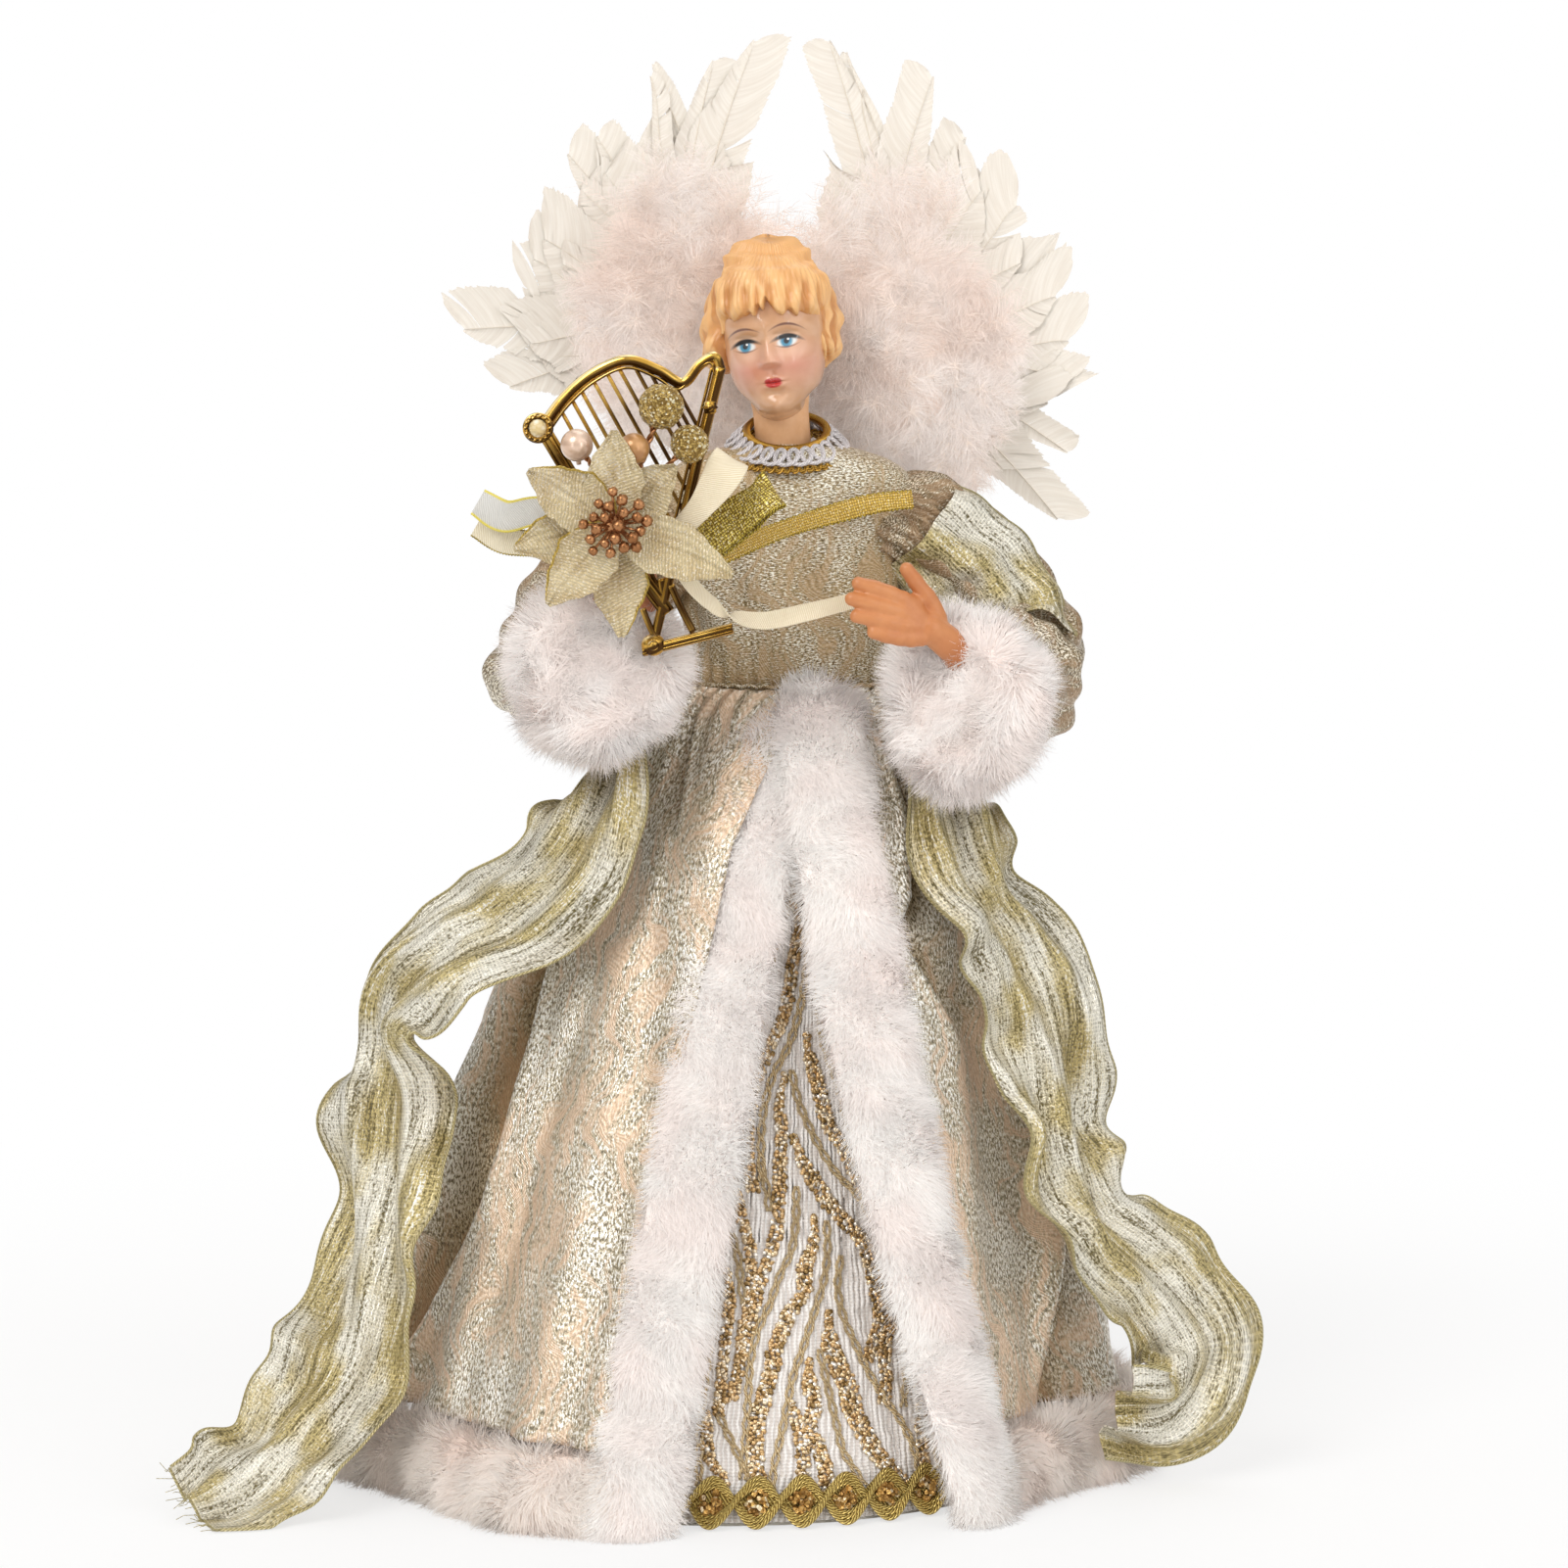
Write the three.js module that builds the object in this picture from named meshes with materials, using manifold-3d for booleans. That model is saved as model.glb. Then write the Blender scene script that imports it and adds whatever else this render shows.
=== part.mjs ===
// Angel tree topper: a doll on an open cone, dressed in a brocade coat with fur trims and a sheer scarf,
// with feather wings, a harp and a poinsettia bunch.
// Millimetres, +Z up. The origin is the middle of the cone's mouth, on the surface it stands on.
// The figure looks along -Y, and left and right are the figure's own: its left side is +X.

import * as THREE from 'three';
import { mergeVertices } from 'three/addons/utils/BufferGeometryUtils.js';
import Module from 'manifold-3d';

const wasm = await Module();
wasm.setup();

// Driving dimensions
const CLEARANCE = 0.35;
const CONE_HEIGHT = 160;
const CONE_FOOT_RADIUS = 72.5;
const CONE_TOP_RADIUS = 15.5;
const CONE_WALL = 1.6;
const CONE_RIM_WIDTH = 3;
const WAIST_X = 13.5;
const WAIST_Z = 165;
const WAIST_HALF_WIDTH = 22;
const WAIST_HALF_DEPTH = 14;
const HEM_FLARE_WIDTH = 62;
const HEM_FLARE_DEPTH = 66;
const COAT_FOLDS = 7;
const COAT_FOLD_DEPTH = 4;
const COAT_THICKNESS = 1.3;
const COAT_TOP_Z = 165.7;
const COAT_HEM_Z = 16.9;
const TRIM_THICKNESS = 8.4;
const TRIM_HALF_WIDTH = 9.6;
const BODICE_WALL = 1.7;
const NECK_BASE = new THREE.Vector3(11.8, 0, 215);
const HEAD_TILT = THREE.MathUtils.degToRad(-4.5);
const HEAD_YAW = THREE.MathUtils.degToRad(-5);
const NECK_PIN_RADIUS = 2.4;
const SHOULDER_HINGE = new THREE.Vector3(37, 1, 0);
const ARM_SWING_DEGREES = 25;
const WING_HINGE_Y = 32;
const WING_HINGE_OFFSET = 2.6;
const SPINE_X = 12;
const SCARF_THICKNESS = 0.9;
const SCARF_HALF_WIDTH = 14.5;
const SLEEVE_WALL = 1.3;
const ARM_WIRE_RADIUS = 1.2;
const FLOWER_CENTRE = new THREE.Vector3(-22.4, -60, 203.3);

// Small helpers
const point = (x, y, z) => new THREE.Vector3(x, y, z);
const radians = THREE.MathUtils.degToRad;
const mix = THREE.MathUtils.lerp;
const Z_AXIS = point(0, 0, 1);

function signedVolume(points, index) {
  let volume = 0;
  for (let i = 0; i < index.length; i += 3) {
    const a = points[index[i]];
    const b = points[index[i + 1]];
    const c = points[index[i + 2]];
    volume += a.dot(b.clone().cross(c)) / 6;
  }
  return volume;
}

// A closed body from its corner points and triangles, turned so that its faces point out
function body(points, index) {
  const outward = signedVolume(points, index) < 0 ? index.slice().reverse() : index;
  const geometry = new THREE.BufferGeometry().setFromPoints(points);
  geometry.setIndex(outward);
  return geometry;
}

function solid(geometry) {
  const bare = geometry.clone();
  bare.deleteAttribute('normal');
  bare.deleteAttribute('uv');
  const merged = mergeVertices(bare, 1e-4);
  const vertProperties = Float32Array.from(merged.attributes.position.array);
  const triVerts = Uint32Array.from(merged.index.array);
  return new wasm.Manifold(new wasm.Mesh({ numProp: 3, vertProperties, triVerts }));
}

function geometryOf(piece) {
  const mesh = piece.getMesh();
  const geometry = new THREE.BufferGeometry();
  geometry.setAttribute('position', new THREE.BufferAttribute(Float32Array.from(mesh.vertProperties), 3));
  geometry.setIndex(new THREE.BufferAttribute(Uint32Array.from(mesh.triVerts), 1));
  geometry.computeVertexNormals();
  return geometry;
}

const join = (pieces) => pieces.reduce((whole, piece) => whole.add(piece));

// Cuts pieces away and keeps the largest body that is left
function cut(piece, cutters) {
  const rest = cutters.reduce((whole, cutter) => whole.subtract(cutter), piece);
  const bodies = rest.decompose();
  return bodies.reduce((best, next) => (next.volume() > best.volume() ? next : best));
}

// The space that a solid passes through while it turns about an upright axis
function sweptAbout(piece, axis, degrees, steps) {
  const turned = [];
  for (let i = 0; i <= steps; i += 1) {
    const turn = [0, 0, (degrees * i) / steps];
    turned.push(piece.translate([-axis.x, -axis.y, 0]).rotate(turn).translate([axis.x, axis.y, 0]));
  }
  return join(turned);
}

// A skin through rings of points, capped at both ends, or joined end to end
function loft(rings, joined = false) {
  const sides = rings[0].length;
  const points = rings.flat();
  const index = [];
  const spans = joined ? rings.length : rings.length - 1;
  for (let i = 0; i < spans; i += 1) {
    const here = i * sides;
    const next = ((i + 1) % rings.length) * sides;
    for (let j = 0; j < sides; j += 1) {
      const k = (j + 1) % sides;
      index.push(here + j, here + k, next + j);
      index.push(here + k, next + k, next + j);
    }
  }
  if (!joined) {
    const last = (rings.length - 1) * sides;
    points.push(middle(rings[0]), middle(rings[rings.length - 1]));
    const startCap = points.length - 2;
    const endCap = points.length - 1;
    for (let j = 0; j < sides; j += 1) {
      const k = (j + 1) % sides;
      index.push(startCap, k, j);
      index.push(endCap, last + j, last + k);
    }
  }
  return solid(body(points, index));
}

function middle(ring) {
  const sum = ring.reduce((total, corner) => total.add(corner), point(0, 0, 0));
  return sum.divideScalar(ring.length);
}

// A flat oval ring at one height, for lofts that rise along Z
function levelRing(x, y, z, halfWidth, halfDepth, sides) {
  const ring = [];
  for (let j = 0; j < sides; j += 1) {
    const angle = (j / sides) * Math.PI * 2;
    ring.push(point(x + halfWidth * Math.sin(angle), y - halfDepth * Math.cos(angle), z));
  }
  return ring;
}

// A round or oval bar along a smooth path; sectionAt gives its two half sizes along the way
function bar(path, sectionAt, steps, sides) {
  const curve = new THREE.CatmullRomCurve3(path);
  const frames = curve.computeFrenetFrames(steps);
  const rings = [];
  for (let i = 0; i <= steps; i += 1) {
    const centre = curve.getPointAt(i / steps);
    const [a, b] = sectionAt(i / steps);
    const ring = [];
    for (let j = 0; j < sides; j += 1) {
      const angle = (j / sides) * Math.PI * 2;
      const across = frames.normals[i].clone().multiplyScalar(a * Math.cos(angle));
      const along = frames.binormals[i].clone().multiplyScalar(b * Math.sin(angle));
      ring.push(centre.clone().add(across).add(along));
    }
    rings.push(ring);
  }
  return loft(rings);
}

const wire = (path, radius, steps, sides = 6) => bar(path, () => [radius, radius], steps, sides);

// Cloth with a thickness over a surface given for s across and t along, both from 0 to 1
function cloth(surfaceAt, columns, rows, thickness) {
  const step = 0.002;
  const front = [];
  const back = [];
  for (let j = 0; j <= rows; j += 1) {
    for (let i = 0; i <= columns; i += 1) {
      const s = i / columns;
      const t = j / rows;
      const here = surfaceAt(s, t);
      const across = surfaceAt(Math.min(1, s + step), t).sub(surfaceAt(Math.max(0, s - step), t));
      const along = surfaceAt(s, Math.min(1, t + step)).sub(surfaceAt(s, Math.max(0, t - step)));
      const normal = across.cross(along).normalize().multiplyScalar(thickness / 2);
      front.push(here.clone().add(normal));
      back.push(here.clone().sub(normal));
    }
  }
  const wide = columns + 1;
  const under = front.length;
  const index = [];
  for (let j = 0; j < rows; j += 1) {
    for (let i = 0; i < columns; i += 1) {
      const a = j * wide + i;
      const b = a + 1;
      const c = a + wide;
      const d = c + 1;
      index.push(a, b, d, a, d, c);
      index.push(under + a, under + d, under + b, under + a, under + c, under + d);
    }
  }
  const edge = [];
  for (let i = 0; i < columns; i += 1) edge.push(i);
  for (let j = 0; j < rows; j += 1) edge.push(j * wide + columns);
  for (let i = columns; i > 0; i -= 1) edge.push(rows * wide + i);
  for (let j = rows; j > 0; j -= 1) edge.push(j * wide);
  for (let k = 0; k < edge.length; k += 1) {
    const here = edge[k];
    const next = edge[(k + 1) % edge.length];
    index.push(here, under + next, next);
    index.push(here, under + here, under + next);
  }
  return solid(body(front.concat(back), index));
}

function ellipsoid(centre, radii, wide = 12, high = 8) {
  const geometry = new THREE.SphereGeometry(1, wide, high);
  geometry.rotateX(Math.PI / 2);
  geometry.scale(radii.x, radii.y, radii.z);
  geometry.translate(centre.x, centre.y, centre.z);
  return solid(geometry);
}

function lathe(profile, segments) {
  const geometry = new THREE.LatheGeometry(profile.map(([r, z]) => new THREE.Vector2(r, z)), segments);
  geometry.rotateX(Math.PI / 2);
  return geometry;
}

function box(width, depth, height, x, y, z) {
  const geometry = new THREE.BoxGeometry(width, depth, height);
  geometry.translate(x, y, z);
  return solid(geometry);
}

// The dress form: an oval bell that leans a little to the figure's left, with even main folds
const lean = (z) => (WAIST_X * z) / WAIST_Z;
const dropAt = (z) => Math.max(0, 1 - z / WAIST_Z);

function dressRadii(z) {
  const drop = dropAt(z);
  const halfWidth = WAIST_HALF_WIDTH + HEM_FLARE_WIDTH * drop ** 0.62;
  const halfDepth = WAIST_HALF_DEPTH + HEM_FLARE_DEPTH * drop ** 0.75;
  return [halfWidth, halfDepth];
}

// A point on the dress form, moved out by a distance; degrees count from the front towards the left
function onDress(degrees, z, out = 0) {
  const angle = radians(degrees);
  const [halfWidth, halfDepth] = dressRadii(z);
  const fold = -COAT_FOLD_DEPTH * dropAt(z) ** 0.7 * Math.cos(COAT_FOLDS * angle);
  const x = lean(z) + (halfWidth + fold + out) * Math.sin(angle);
  const y = -(halfDepth + fold + out) * Math.cos(angle);
  return point(x, y, z);
}

function dressAngle(x, z, out = 0) {
  const [halfWidth] = dressRadii(z);
  return THREE.MathUtils.radToDeg(Math.asin((x - lean(z)) / (halfWidth + out)));
}

function dressEnvelope(out) {
  const rings = [];
  const levels = [-1, 15, 35, 60, 85, 105, 122, 136, 147, 155, 161, 166];
  for (const z of levels) {
    const ring = [];
    for (let j = 0; j < 49; j += 1) ring.push(onDress((j / 49) * 360, z, out));
    rings.push(ring);
  }
  return loft(rings);
}

// Support: the cone, the cap in its top and the torso block on it
function coneSupport() {
  const outerAt = (z) => mix(CONE_FOOT_RADIUS, CONE_TOP_RADIUS, z / CONE_HEIGHT);
  const rim = CONE_FOOT_RADIUS - CONE_RIM_WIDTH;
  const profile = [
    [rim, 0],
    [CONE_FOOT_RADIUS, 0],
    [CONE_TOP_RADIUS, CONE_HEIGHT],
    [CONE_TOP_RADIUS - CONE_WALL, CONE_HEIGHT],
    [outerAt(CONE_WALL) - CONE_WALL, CONE_WALL],
    [rim, CONE_WALL],
    [rim, 0],
  ];
  return solid(leaning(lathe(profile, 40)));
}

function leaning(geometry) {
  const shear = new THREE.Matrix4().makeShear(0, 0, 0, 0, WAIST_X / WAIST_Z, 0);
  return geometry.applyMatrix4(shear);
}

function coneCap() {
  const seat = CONE_HEIGHT + 0.3;
  const top = seat + 2.4;
  const flange = CONE_TOP_RADIUS - 0.9;
  const plug = CONE_TOP_RADIUS - CONE_WALL - 0.5;
  const profile = [
    [0, CONE_HEIGHT - 5],
    [plug, CONE_HEIGHT - 5],
    [plug, seat],
    [flange, seat],
    [flange, top],
    [0, top],
  ];
  return solid(leaning(lathe(profile, 20)));
}

// Bodice sections from the waist to the neck: height, middle, half width and half depth
const BODICE_SECTIONS = [
  [166.3, 13.8, 22.2, 13],
  [175, 13.6, 22.3, 13.4],
  [187, 13.3, 23.8, 14.4],
  [198, 12.9, 25.2, 14],
  [206, 12.6, 24.2, 12.4],
  [212, 12.4, 18.5, 10.6],
  [217, 12.2, 9.8, 9.4],
];

function bodiceForm(inset, bottom, top) {
  const rings = BODICE_SECTIONS.map(([z, x, halfWidth, halfDepth]) => (
    levelRing(x, 0, THREE.MathUtils.clamp(z, bottom, top), halfWidth - inset, halfDepth - inset, 20)
  ));
  rings[0].forEach((corner) => corner.setZ(bottom));
  return loft(rings);
}

function neckSpace(radius, low, high) {
  const geometry = new THREE.CylinderGeometry(radius, radius, high - low, 14);
  geometry.rotateX(Math.PI / 2);
  geometry.translate(0, 0, (high + low) / 2);
  geometry.rotateY(HEAD_TILT);
  geometry.translate(NECK_BASE.x, NECK_BASE.y, NECK_BASE.z);
  return solid(geometry);
}

function bodice() {
  const shell = bodiceForm(0, 166.3, 217);
  return cut(shell, [bodiceForm(BODICE_WALL, 164, 209), neckSpace(7.4, -10, 8)]);
}

function torsoForm() {
  const block = bodiceForm(BODICE_WALL + 0.4, 163.3, 208);
  return cut(block, [neckSpace(NECK_PIN_RADIUS + CLEARANCE, -20, 4)]);
}

function neckPin() {
  return neckSpace(NECK_PIN_RADIUS, -19, 20);
}

// The looped gimp round the neck, low in front
function collarBraid() {
  const rings = [];
  const loops = 12;
  for (let i = 0; i < loops * 2; i += 1) {
    const angle = (i / (loops * 2)) * Math.PI * 2;
    const ripple = 0.5 * Math.cos(angle * loops);
    const ring = [];
    for (let j = 0; j < 5; j += 1) {
      const around = (j / 5) * Math.PI * 2;
      const reach = 10.5 + 2.5 * Math.cos(around) + ripple;
      const height = 215.6 + 2.6 * Math.sin(around) - 2.4 * Math.cos(around) - 2.2 * Math.cos(angle);
      ring.push(point(12.3 + reach * Math.sin(angle), -0.5 - reach * Math.cos(angle), height));
    }
    rings.push(ring);
  }
  return cut(loft(rings, true), [bodiceForm(-CLEARANCE, 166, 217.4)]);
}

// Underskirt panel and the gimp along its hem, on the front of the cone
function onCone(degrees, z, out) {
  const radius = mix(CONE_FOOT_RADIUS, CONE_TOP_RADIUS, z / CONE_HEIGHT) + out;
  const angle = radians(degrees);
  return point(lean(z) + radius * Math.sin(angle), -radius * Math.cos(angle), z);
}

function underskirtFront() {
  return cloth((s, t) => onCone(mix(-46, 46, s), mix(0.9, 152, t), 1.4), 12, 5, 1.6);
}

function hemBraid() {
  const scallop = (s) => 0.9 * Math.cos(s * Math.PI * 2 * 13);
  const surface = (s, t) => onCone(mix(-13, 36, s), mix(0.5, 9 + scallop(s), t), 3.9);
  return cloth(surface, 26, 1, 2.2);
}

// Sharp folds of the coat: the line as [height, degrees], then depth, width in degrees and the side that sinks
const COAT_CREASES = [
  { line: [[136, -31], [144, -32], [156, -38], [165, -48]], depth: 3, width: 12, side: -1 },
  { line: [[-14, -74], [26, -67], [45, -61.5], [59, -57.5], [93, -59], [112, -61], [128, -58]],
    depth: 5.5, width: 16, side: -1 },
  { line: [[-14, -85], [96, -80]], depth: 3, width: 13, side: -1 },
  { line: [[92, 47], [103, 40], [117, 30], [124, 36], [142, 39.5], [160, 36]],
    depth: 4.8, width: 17, side: 1 },
  { line: [[-14, 48], [33, 62], [56, 68], [74, 72]], depth: 4, width: 16, side: 1 },
  { line: [[-14, 132], [146, 127]], depth: 4, width: 15, side: 1 },
  { line: [[-14, 165], [152, 163]], depth: 3.6, width: 14, side: -1 },
  { line: [[-14, 202], [146, 207]], depth: 4, width: 15, side: 1 },
  { line: [[-14, 236], [152, 234]], depth: 3.8, width: 15, side: -1 },
];

// The line's angle at a height, and how far the height is inside its ends
function creaseAt(line, z) {
  const last = line.length - 1;
  const ease = 0.14 * (line[last][0] - line[0][0]) + 3;
  const inside = Math.min(z - line[0][0], line[last][0] - z) / ease;
  const k = Math.max(0, Math.min(last - 1, line.findIndex(([height]) => height > z) - 1));
  const [[low, from], [high, to]] = [line[k], line[k + 1]];
  const share = THREE.MathUtils.clamp((z - low) / (high - low), 0, 1);
  return [mix(from, to, share), THREE.MathUtils.clamp(inside, 0, 1)];
}

function creaseDepth(degrees, z) {
  return COAT_CREASES.reduce((total, { line, depth, width, side }) => {
    const [middle, inside] = creaseAt(line, z);
    const gap = side * (degrees - middle);
    const share = gap > 0 ? 1 - gap / width : 1 + gap / 1.6;
    return total + depth * inside * Math.max(0, share) ** (gap > 0 ? 1.3 : 1);
  }, 0);
}

// Coat panels hang from the waist in main folds, which the creases break
function coatPanel(angleAt, columns) {
  const surface = (s, t) => {
    const z = mix(COAT_HEM_Z, COAT_TOP_Z, 1 - (1 - t) ** 1.4);
    const degrees = angleAt(s, z);
    return onDress(degrees, z, -creaseDepth(degrees, z));
  };
  return cloth(surface, columns, 7, COAT_THICKNESS);
}

const leftTrimX = (z) => 19 + 33 * Math.max(0, 1 - z / 169) ** 1.6;
const rightTrimX = (z) => 13 - 31 * (1 - z / 169);
const leftTrimAngle = (z) => dressAngle(leftTrimX(z), z, 5);
const rightTrimAngle = (z) => dressAngle(rightTrimX(z), z, 5);
const SIDE_SEAM = 100;
const seamGap = (z) => THREE.MathUtils.radToDeg(0.5 / dressRadii(z)[0]);

const coatLeftPanel = () => coatPanel((s, z) => mix(leftTrimAngle(z), SIDE_SEAM - seamGap(z), s), 18);
const coatRightPanel = () => coatPanel((s, z) => mix(rightTrimAngle(z), -SIDE_SEAM + seamGap(z), s), 21);
const coatBackPanel = () => coatPanel((s, z) => mix(SIDE_SEAM, 360 - SIDE_SEAM, s), 30);

// A fur strip that lies on the coat's front edge, from near the floor to the waist
function frontTrim(angleAt, bottom, top, grow) {
  const rings = [];
  const steps = 15;
  for (let i = 0; i <= steps; i += 1) {
    const z = mix(bottom - grow, top + grow, i / steps);
    const end = Math.min(1, 0.72 + 0.28 * Math.min(i, steps - i));
    const [halfWidth, halfDepth] = dressRadii(z);
    const half = (TRIM_HALF_WIDTH * end + grow) / ((halfWidth + halfDepth) / 2 + TRIM_THICKNESS / 2);
    const thick = (TRIM_THICKNESS / 2) * Math.sqrt(end) + grow;
    const ring = [];
    for (let j = 0; j < 8; j += 1) {
      const around = (j / 8) * Math.PI * 2;
      const degrees = angleAt(z) + THREE.MathUtils.radToDeg(half) * Math.sin(around);
      ring.push(onDress(degrees, z, 5.6 - thick * Math.cos(around)));
    }
    rings.push(ring);
  }
  return loft(rings);
}

const leftFrontTrim = (grow = 0) => frontTrim(leftTrimAngle, 0.8, 168.4, grow);
const rightFrontTrim = () => cut(frontTrim(rightTrimAngle, 0.8, 161, 0), [leftFrontTrim(CLEARANCE)]);

// The fur band under the coat's hem
function hemFur(from, to) {
  const steps = Math.round(Math.abs(to - from) / 7);
  const rings = [];
  for (let i = 0; i <= steps; i += 1) {
    const degrees = mix(from, to, i / steps);
    const ring = [];
    for (let j = 0; j < 8; j += 1) {
      const around = (j / 8) * Math.PI * 2;
      ring.push(onDress(degrees, 8.4 + 8 * Math.sin(around), 2.6 + 4.2 * Math.cos(around)));
    }
    rings.push(ring);
  }
  return loft(rings);
}

const hemFurLeft = () => cut(hemFur(38, SIDE_SEAM), [leftFrontTrim(CLEARANCE)]);
const hemFurRight = () => cut(hemFur(-16, -SIDE_SEAM), [frontTrim(rightTrimAngle, 0.8, 161, CLEARANCE)]);
const hemFurBack = () => hemFur(SIDE_SEAM + 0.4, 360 - SIDE_SEAM - 0.4);

// Arms: a wire core in a sleeve, a fur cuff and a moulded hand
const RIGHT_ARM_PATH = [
  point(-12, 1, 200), point(-26, 3, 186), point(-36.5, -1, 172), point(-35, -18, 167), point(-28, -37, 172),
];
const LEFT_ARM_PATH = [
  point(37, 1, 202), point(52, 4, 188), point(62, -1, 172), point(59, -18, 165), point(48.5, -37, 168),
];
const SLEEVE_END = 0.86;

function sleeveRadius(u) {
  return 10.5 + 3.4 * Math.sin(Math.PI * Math.min(1, 0.12 + u)) ** 0.8;
}

// A point on a sleeve: u runs from shoulder to wrist, degrees go round it from the front
function sleeveSurface(path, out) {
  const curve = new THREE.CatmullRomCurve3(path);
  const steps = 60;
  const frames = curve.computeFrenetFrames(steps);
  const front = point(0, -1, 0);
  const start = Math.atan2(front.dot(frames.binormals[0]), front.dot(frames.normals[0]));
  return (u, degrees) => {
    const nearest = THREE.MathUtils.clamp(Math.round(u * steps), 0, steps);
    const angle = start + radians(degrees);
    const crease = 0.55 * Math.sin(radians(degrees) * 4 + u * 9);
    const radius = sleeveRadius(u) + crease + out;
    const across = frames.normals[nearest].clone().multiplyScalar(radius * Math.cos(angle));
    const along = frames.binormals[nearest].clone().multiplyScalar(radius * Math.sin(angle));
    return curve.getPointAt(THREE.MathUtils.clamp(u, 0, 1)).add(across).add(along);
  };
}

function sleeveForm(path, out, end) {
  const surface = sleeveSurface(path, out);
  const steps = 9;
  const sides = 11;
  const rings = [];
  for (let i = 0; i <= steps; i += 1) {
    const ring = [];
    for (let j = 0; j < sides; j += 1) ring.push(surface((end * i) / steps, (j / sides) * 360));
    rings.push(ring);
  }
  return loft(rings);
}

function sleeve(path) {
  const outside = sleeveForm(path, 0, SLEEVE_END);
  const inside = sleeveForm(path, -SLEEVE_WALL, 0.97);
  const shoulder = ellipsoid(path[0], point(SLEEVE_WALL + 2, 12, 12));
  return cut(outside, [inside.subtract(shoulder)]);
}

// A puffed fur ring round the wrist
function cuff(centre, direction, halfWidth, halfHeight, halfLength, grow = 0) {
  const tube = 7;
  const ring = 11;
  const geometry = new THREE.TorusGeometry(ring, tube + grow, 8, 16);
  const size = ring + tube;
  geometry.scale(halfWidth / size, halfHeight / size, halfLength / tube);
  const facing = direction.clone().normalize();
  const side = Z_AXIS.clone().cross(facing).normalize();
  const up = facing.clone().cross(side);
  geometry.applyMatrix4(new THREE.Matrix4().makeBasis(side, up, facing));
  geometry.translate(centre.x, centre.y, centre.z);
  return solid(geometry);
}

const LEFT_CUFF = [point(49.2, -39.5, 165.5), point(-0.42, -0.88, 0.14), 17.2, 19.6, 10.5];
const RIGHT_CUFF = [point(-27, -40, 172), point(0.25, -0.94, 0.18), 18.5, 18.5, 10];
const LEFT_WRIST = [
  point(50.8, -36, 169), point(48.6, -41, 172.5), point(45.5, -46, 178), point(40.5, -49.5, 182),
];
const RIGHT_WRIST = [
  point(-28.6, -33, 172), point(-27.4, -38, 176), point(-26, -42, 182), point(-23.5, -43, 188),
];

function finger(path, radius, grow = 0) {
  const sizeAt = (u) => radius * (1 - 0.25 * u * u) + grow;
  return bar(path, (u) => [sizeAt(u), sizeAt(u)], 3, 6);
}

// A wrist that widens into a palm towards the end of its path
function palm(path, halfThickness, halfWidth, grow = 0) {
  const section = (u) => [
    mix(3.1, halfThickness, u) + grow,
    mix(3.2, halfWidth, Math.max(0, (u - 0.55) / 0.45)) + grow,
  ];
  return bar(path, section, 6, 8);
}

const leftPalm = (grow = 0) => palm([...LEFT_WRIST, point(33.5, -51.5, 185.8)], 3, 6.2, grow);
const rightPalm = (grow = 0) => palm([...RIGHT_WRIST, point(-21.5, -43, 192.5)], 2.6, 5, grow);

function leftHand() {
  const fingers = [
    [point(36, -51, 188.6), point(31, -52.4, 190.6), point(25.2, -52.6, 192.3)],
    [point(36, -51.4, 186), point(31, -53, 187), point(25.4, -53.6, 187.4)],
    [point(36.5, -51.6, 183.6), point(32, -53, 183.4), point(27.4, -53.6, 182.4)],
    [point(38, -51, 181.2), point(35.5, -52.6, 179.8), point(32.4, -53.4, 178.2)],
  ];
  const thumb = finger([point(41.5, -48.5, 184), point(39.4, -49, 189), point(36.8, -48.6, 194.8)], 1.9);
  return join([leftPalm(), thumb, ...fingers.map((path) => finger(path, 1.75))]);
}

function rightHandForm(grow) {
  const fingers = [0, 1, 2, 3].map((k) => finger(
    [
      point(-22, -43, 193 - 2.6 * k),
      point(-18.6, -44, 195.5 - 2.9 * k),
      point(-15.6, -43.6, 194.5 - 3 * k),
    ],
    1.6,
    grow,
  ));
  return join([rightPalm(grow), ...fingers]);
}

const rightHand = () => cut(rightHandForm(0), [harp(CLEARANCE)]);

function armWire(path, wristPath) {
  const curve = new THREE.CatmullRomCurve3(path);
  const points = [0.07, 0.25, 0.45, 0.65, 0.8].map((u) => curve.getPointAt(u));
  const wrist = wristPath[0].clone();
  const back = curve.getPointAt(0.93);
  points.push(wrist.lerp(back, 0.35));
  return wire(points, ARM_WIRE_RADIUS, 16);
}

function leftSleeve() {
  const shoulder = sweptAbout(bodiceForm(-CLEARANCE, 166, 217.4), SHOULDER_HINGE, -ARM_SWING_DEGREES, 5);
  const dress = sweptAbout(dressEnvelope(COAT_THICKNESS), SHOULDER_HINGE, -ARM_SWING_DEGREES, 3);
  return cut(sleeve(LEFT_ARM_PATH), [shoulder, dress, cuff(...LEFT_CUFF, CLEARANCE)]);
}

function rightSleeve() {
  const neighbours = [bodiceForm(-CLEARANCE, 166, 217.4), dressEnvelope(COAT_THICKNESS)];
  return cut(sleeve(RIGHT_ARM_PATH), [...neighbours, cuff(...RIGHT_CUFF, CLEARANCE)]);
}

const leftCuff = () => cut(cuff(...LEFT_CUFF), [leftPalm(CLEARANCE), dressEnvelope(COAT_THICKNESS)]);

function rightCuff() {
  const neighbours = [rightHandForm(CLEARANCE), harp(CLEARANCE), dressEnvelope(COAT_THICKNESS)];
  return cut(cuff(...RIGHT_CUFF), neighbours);
}

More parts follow.
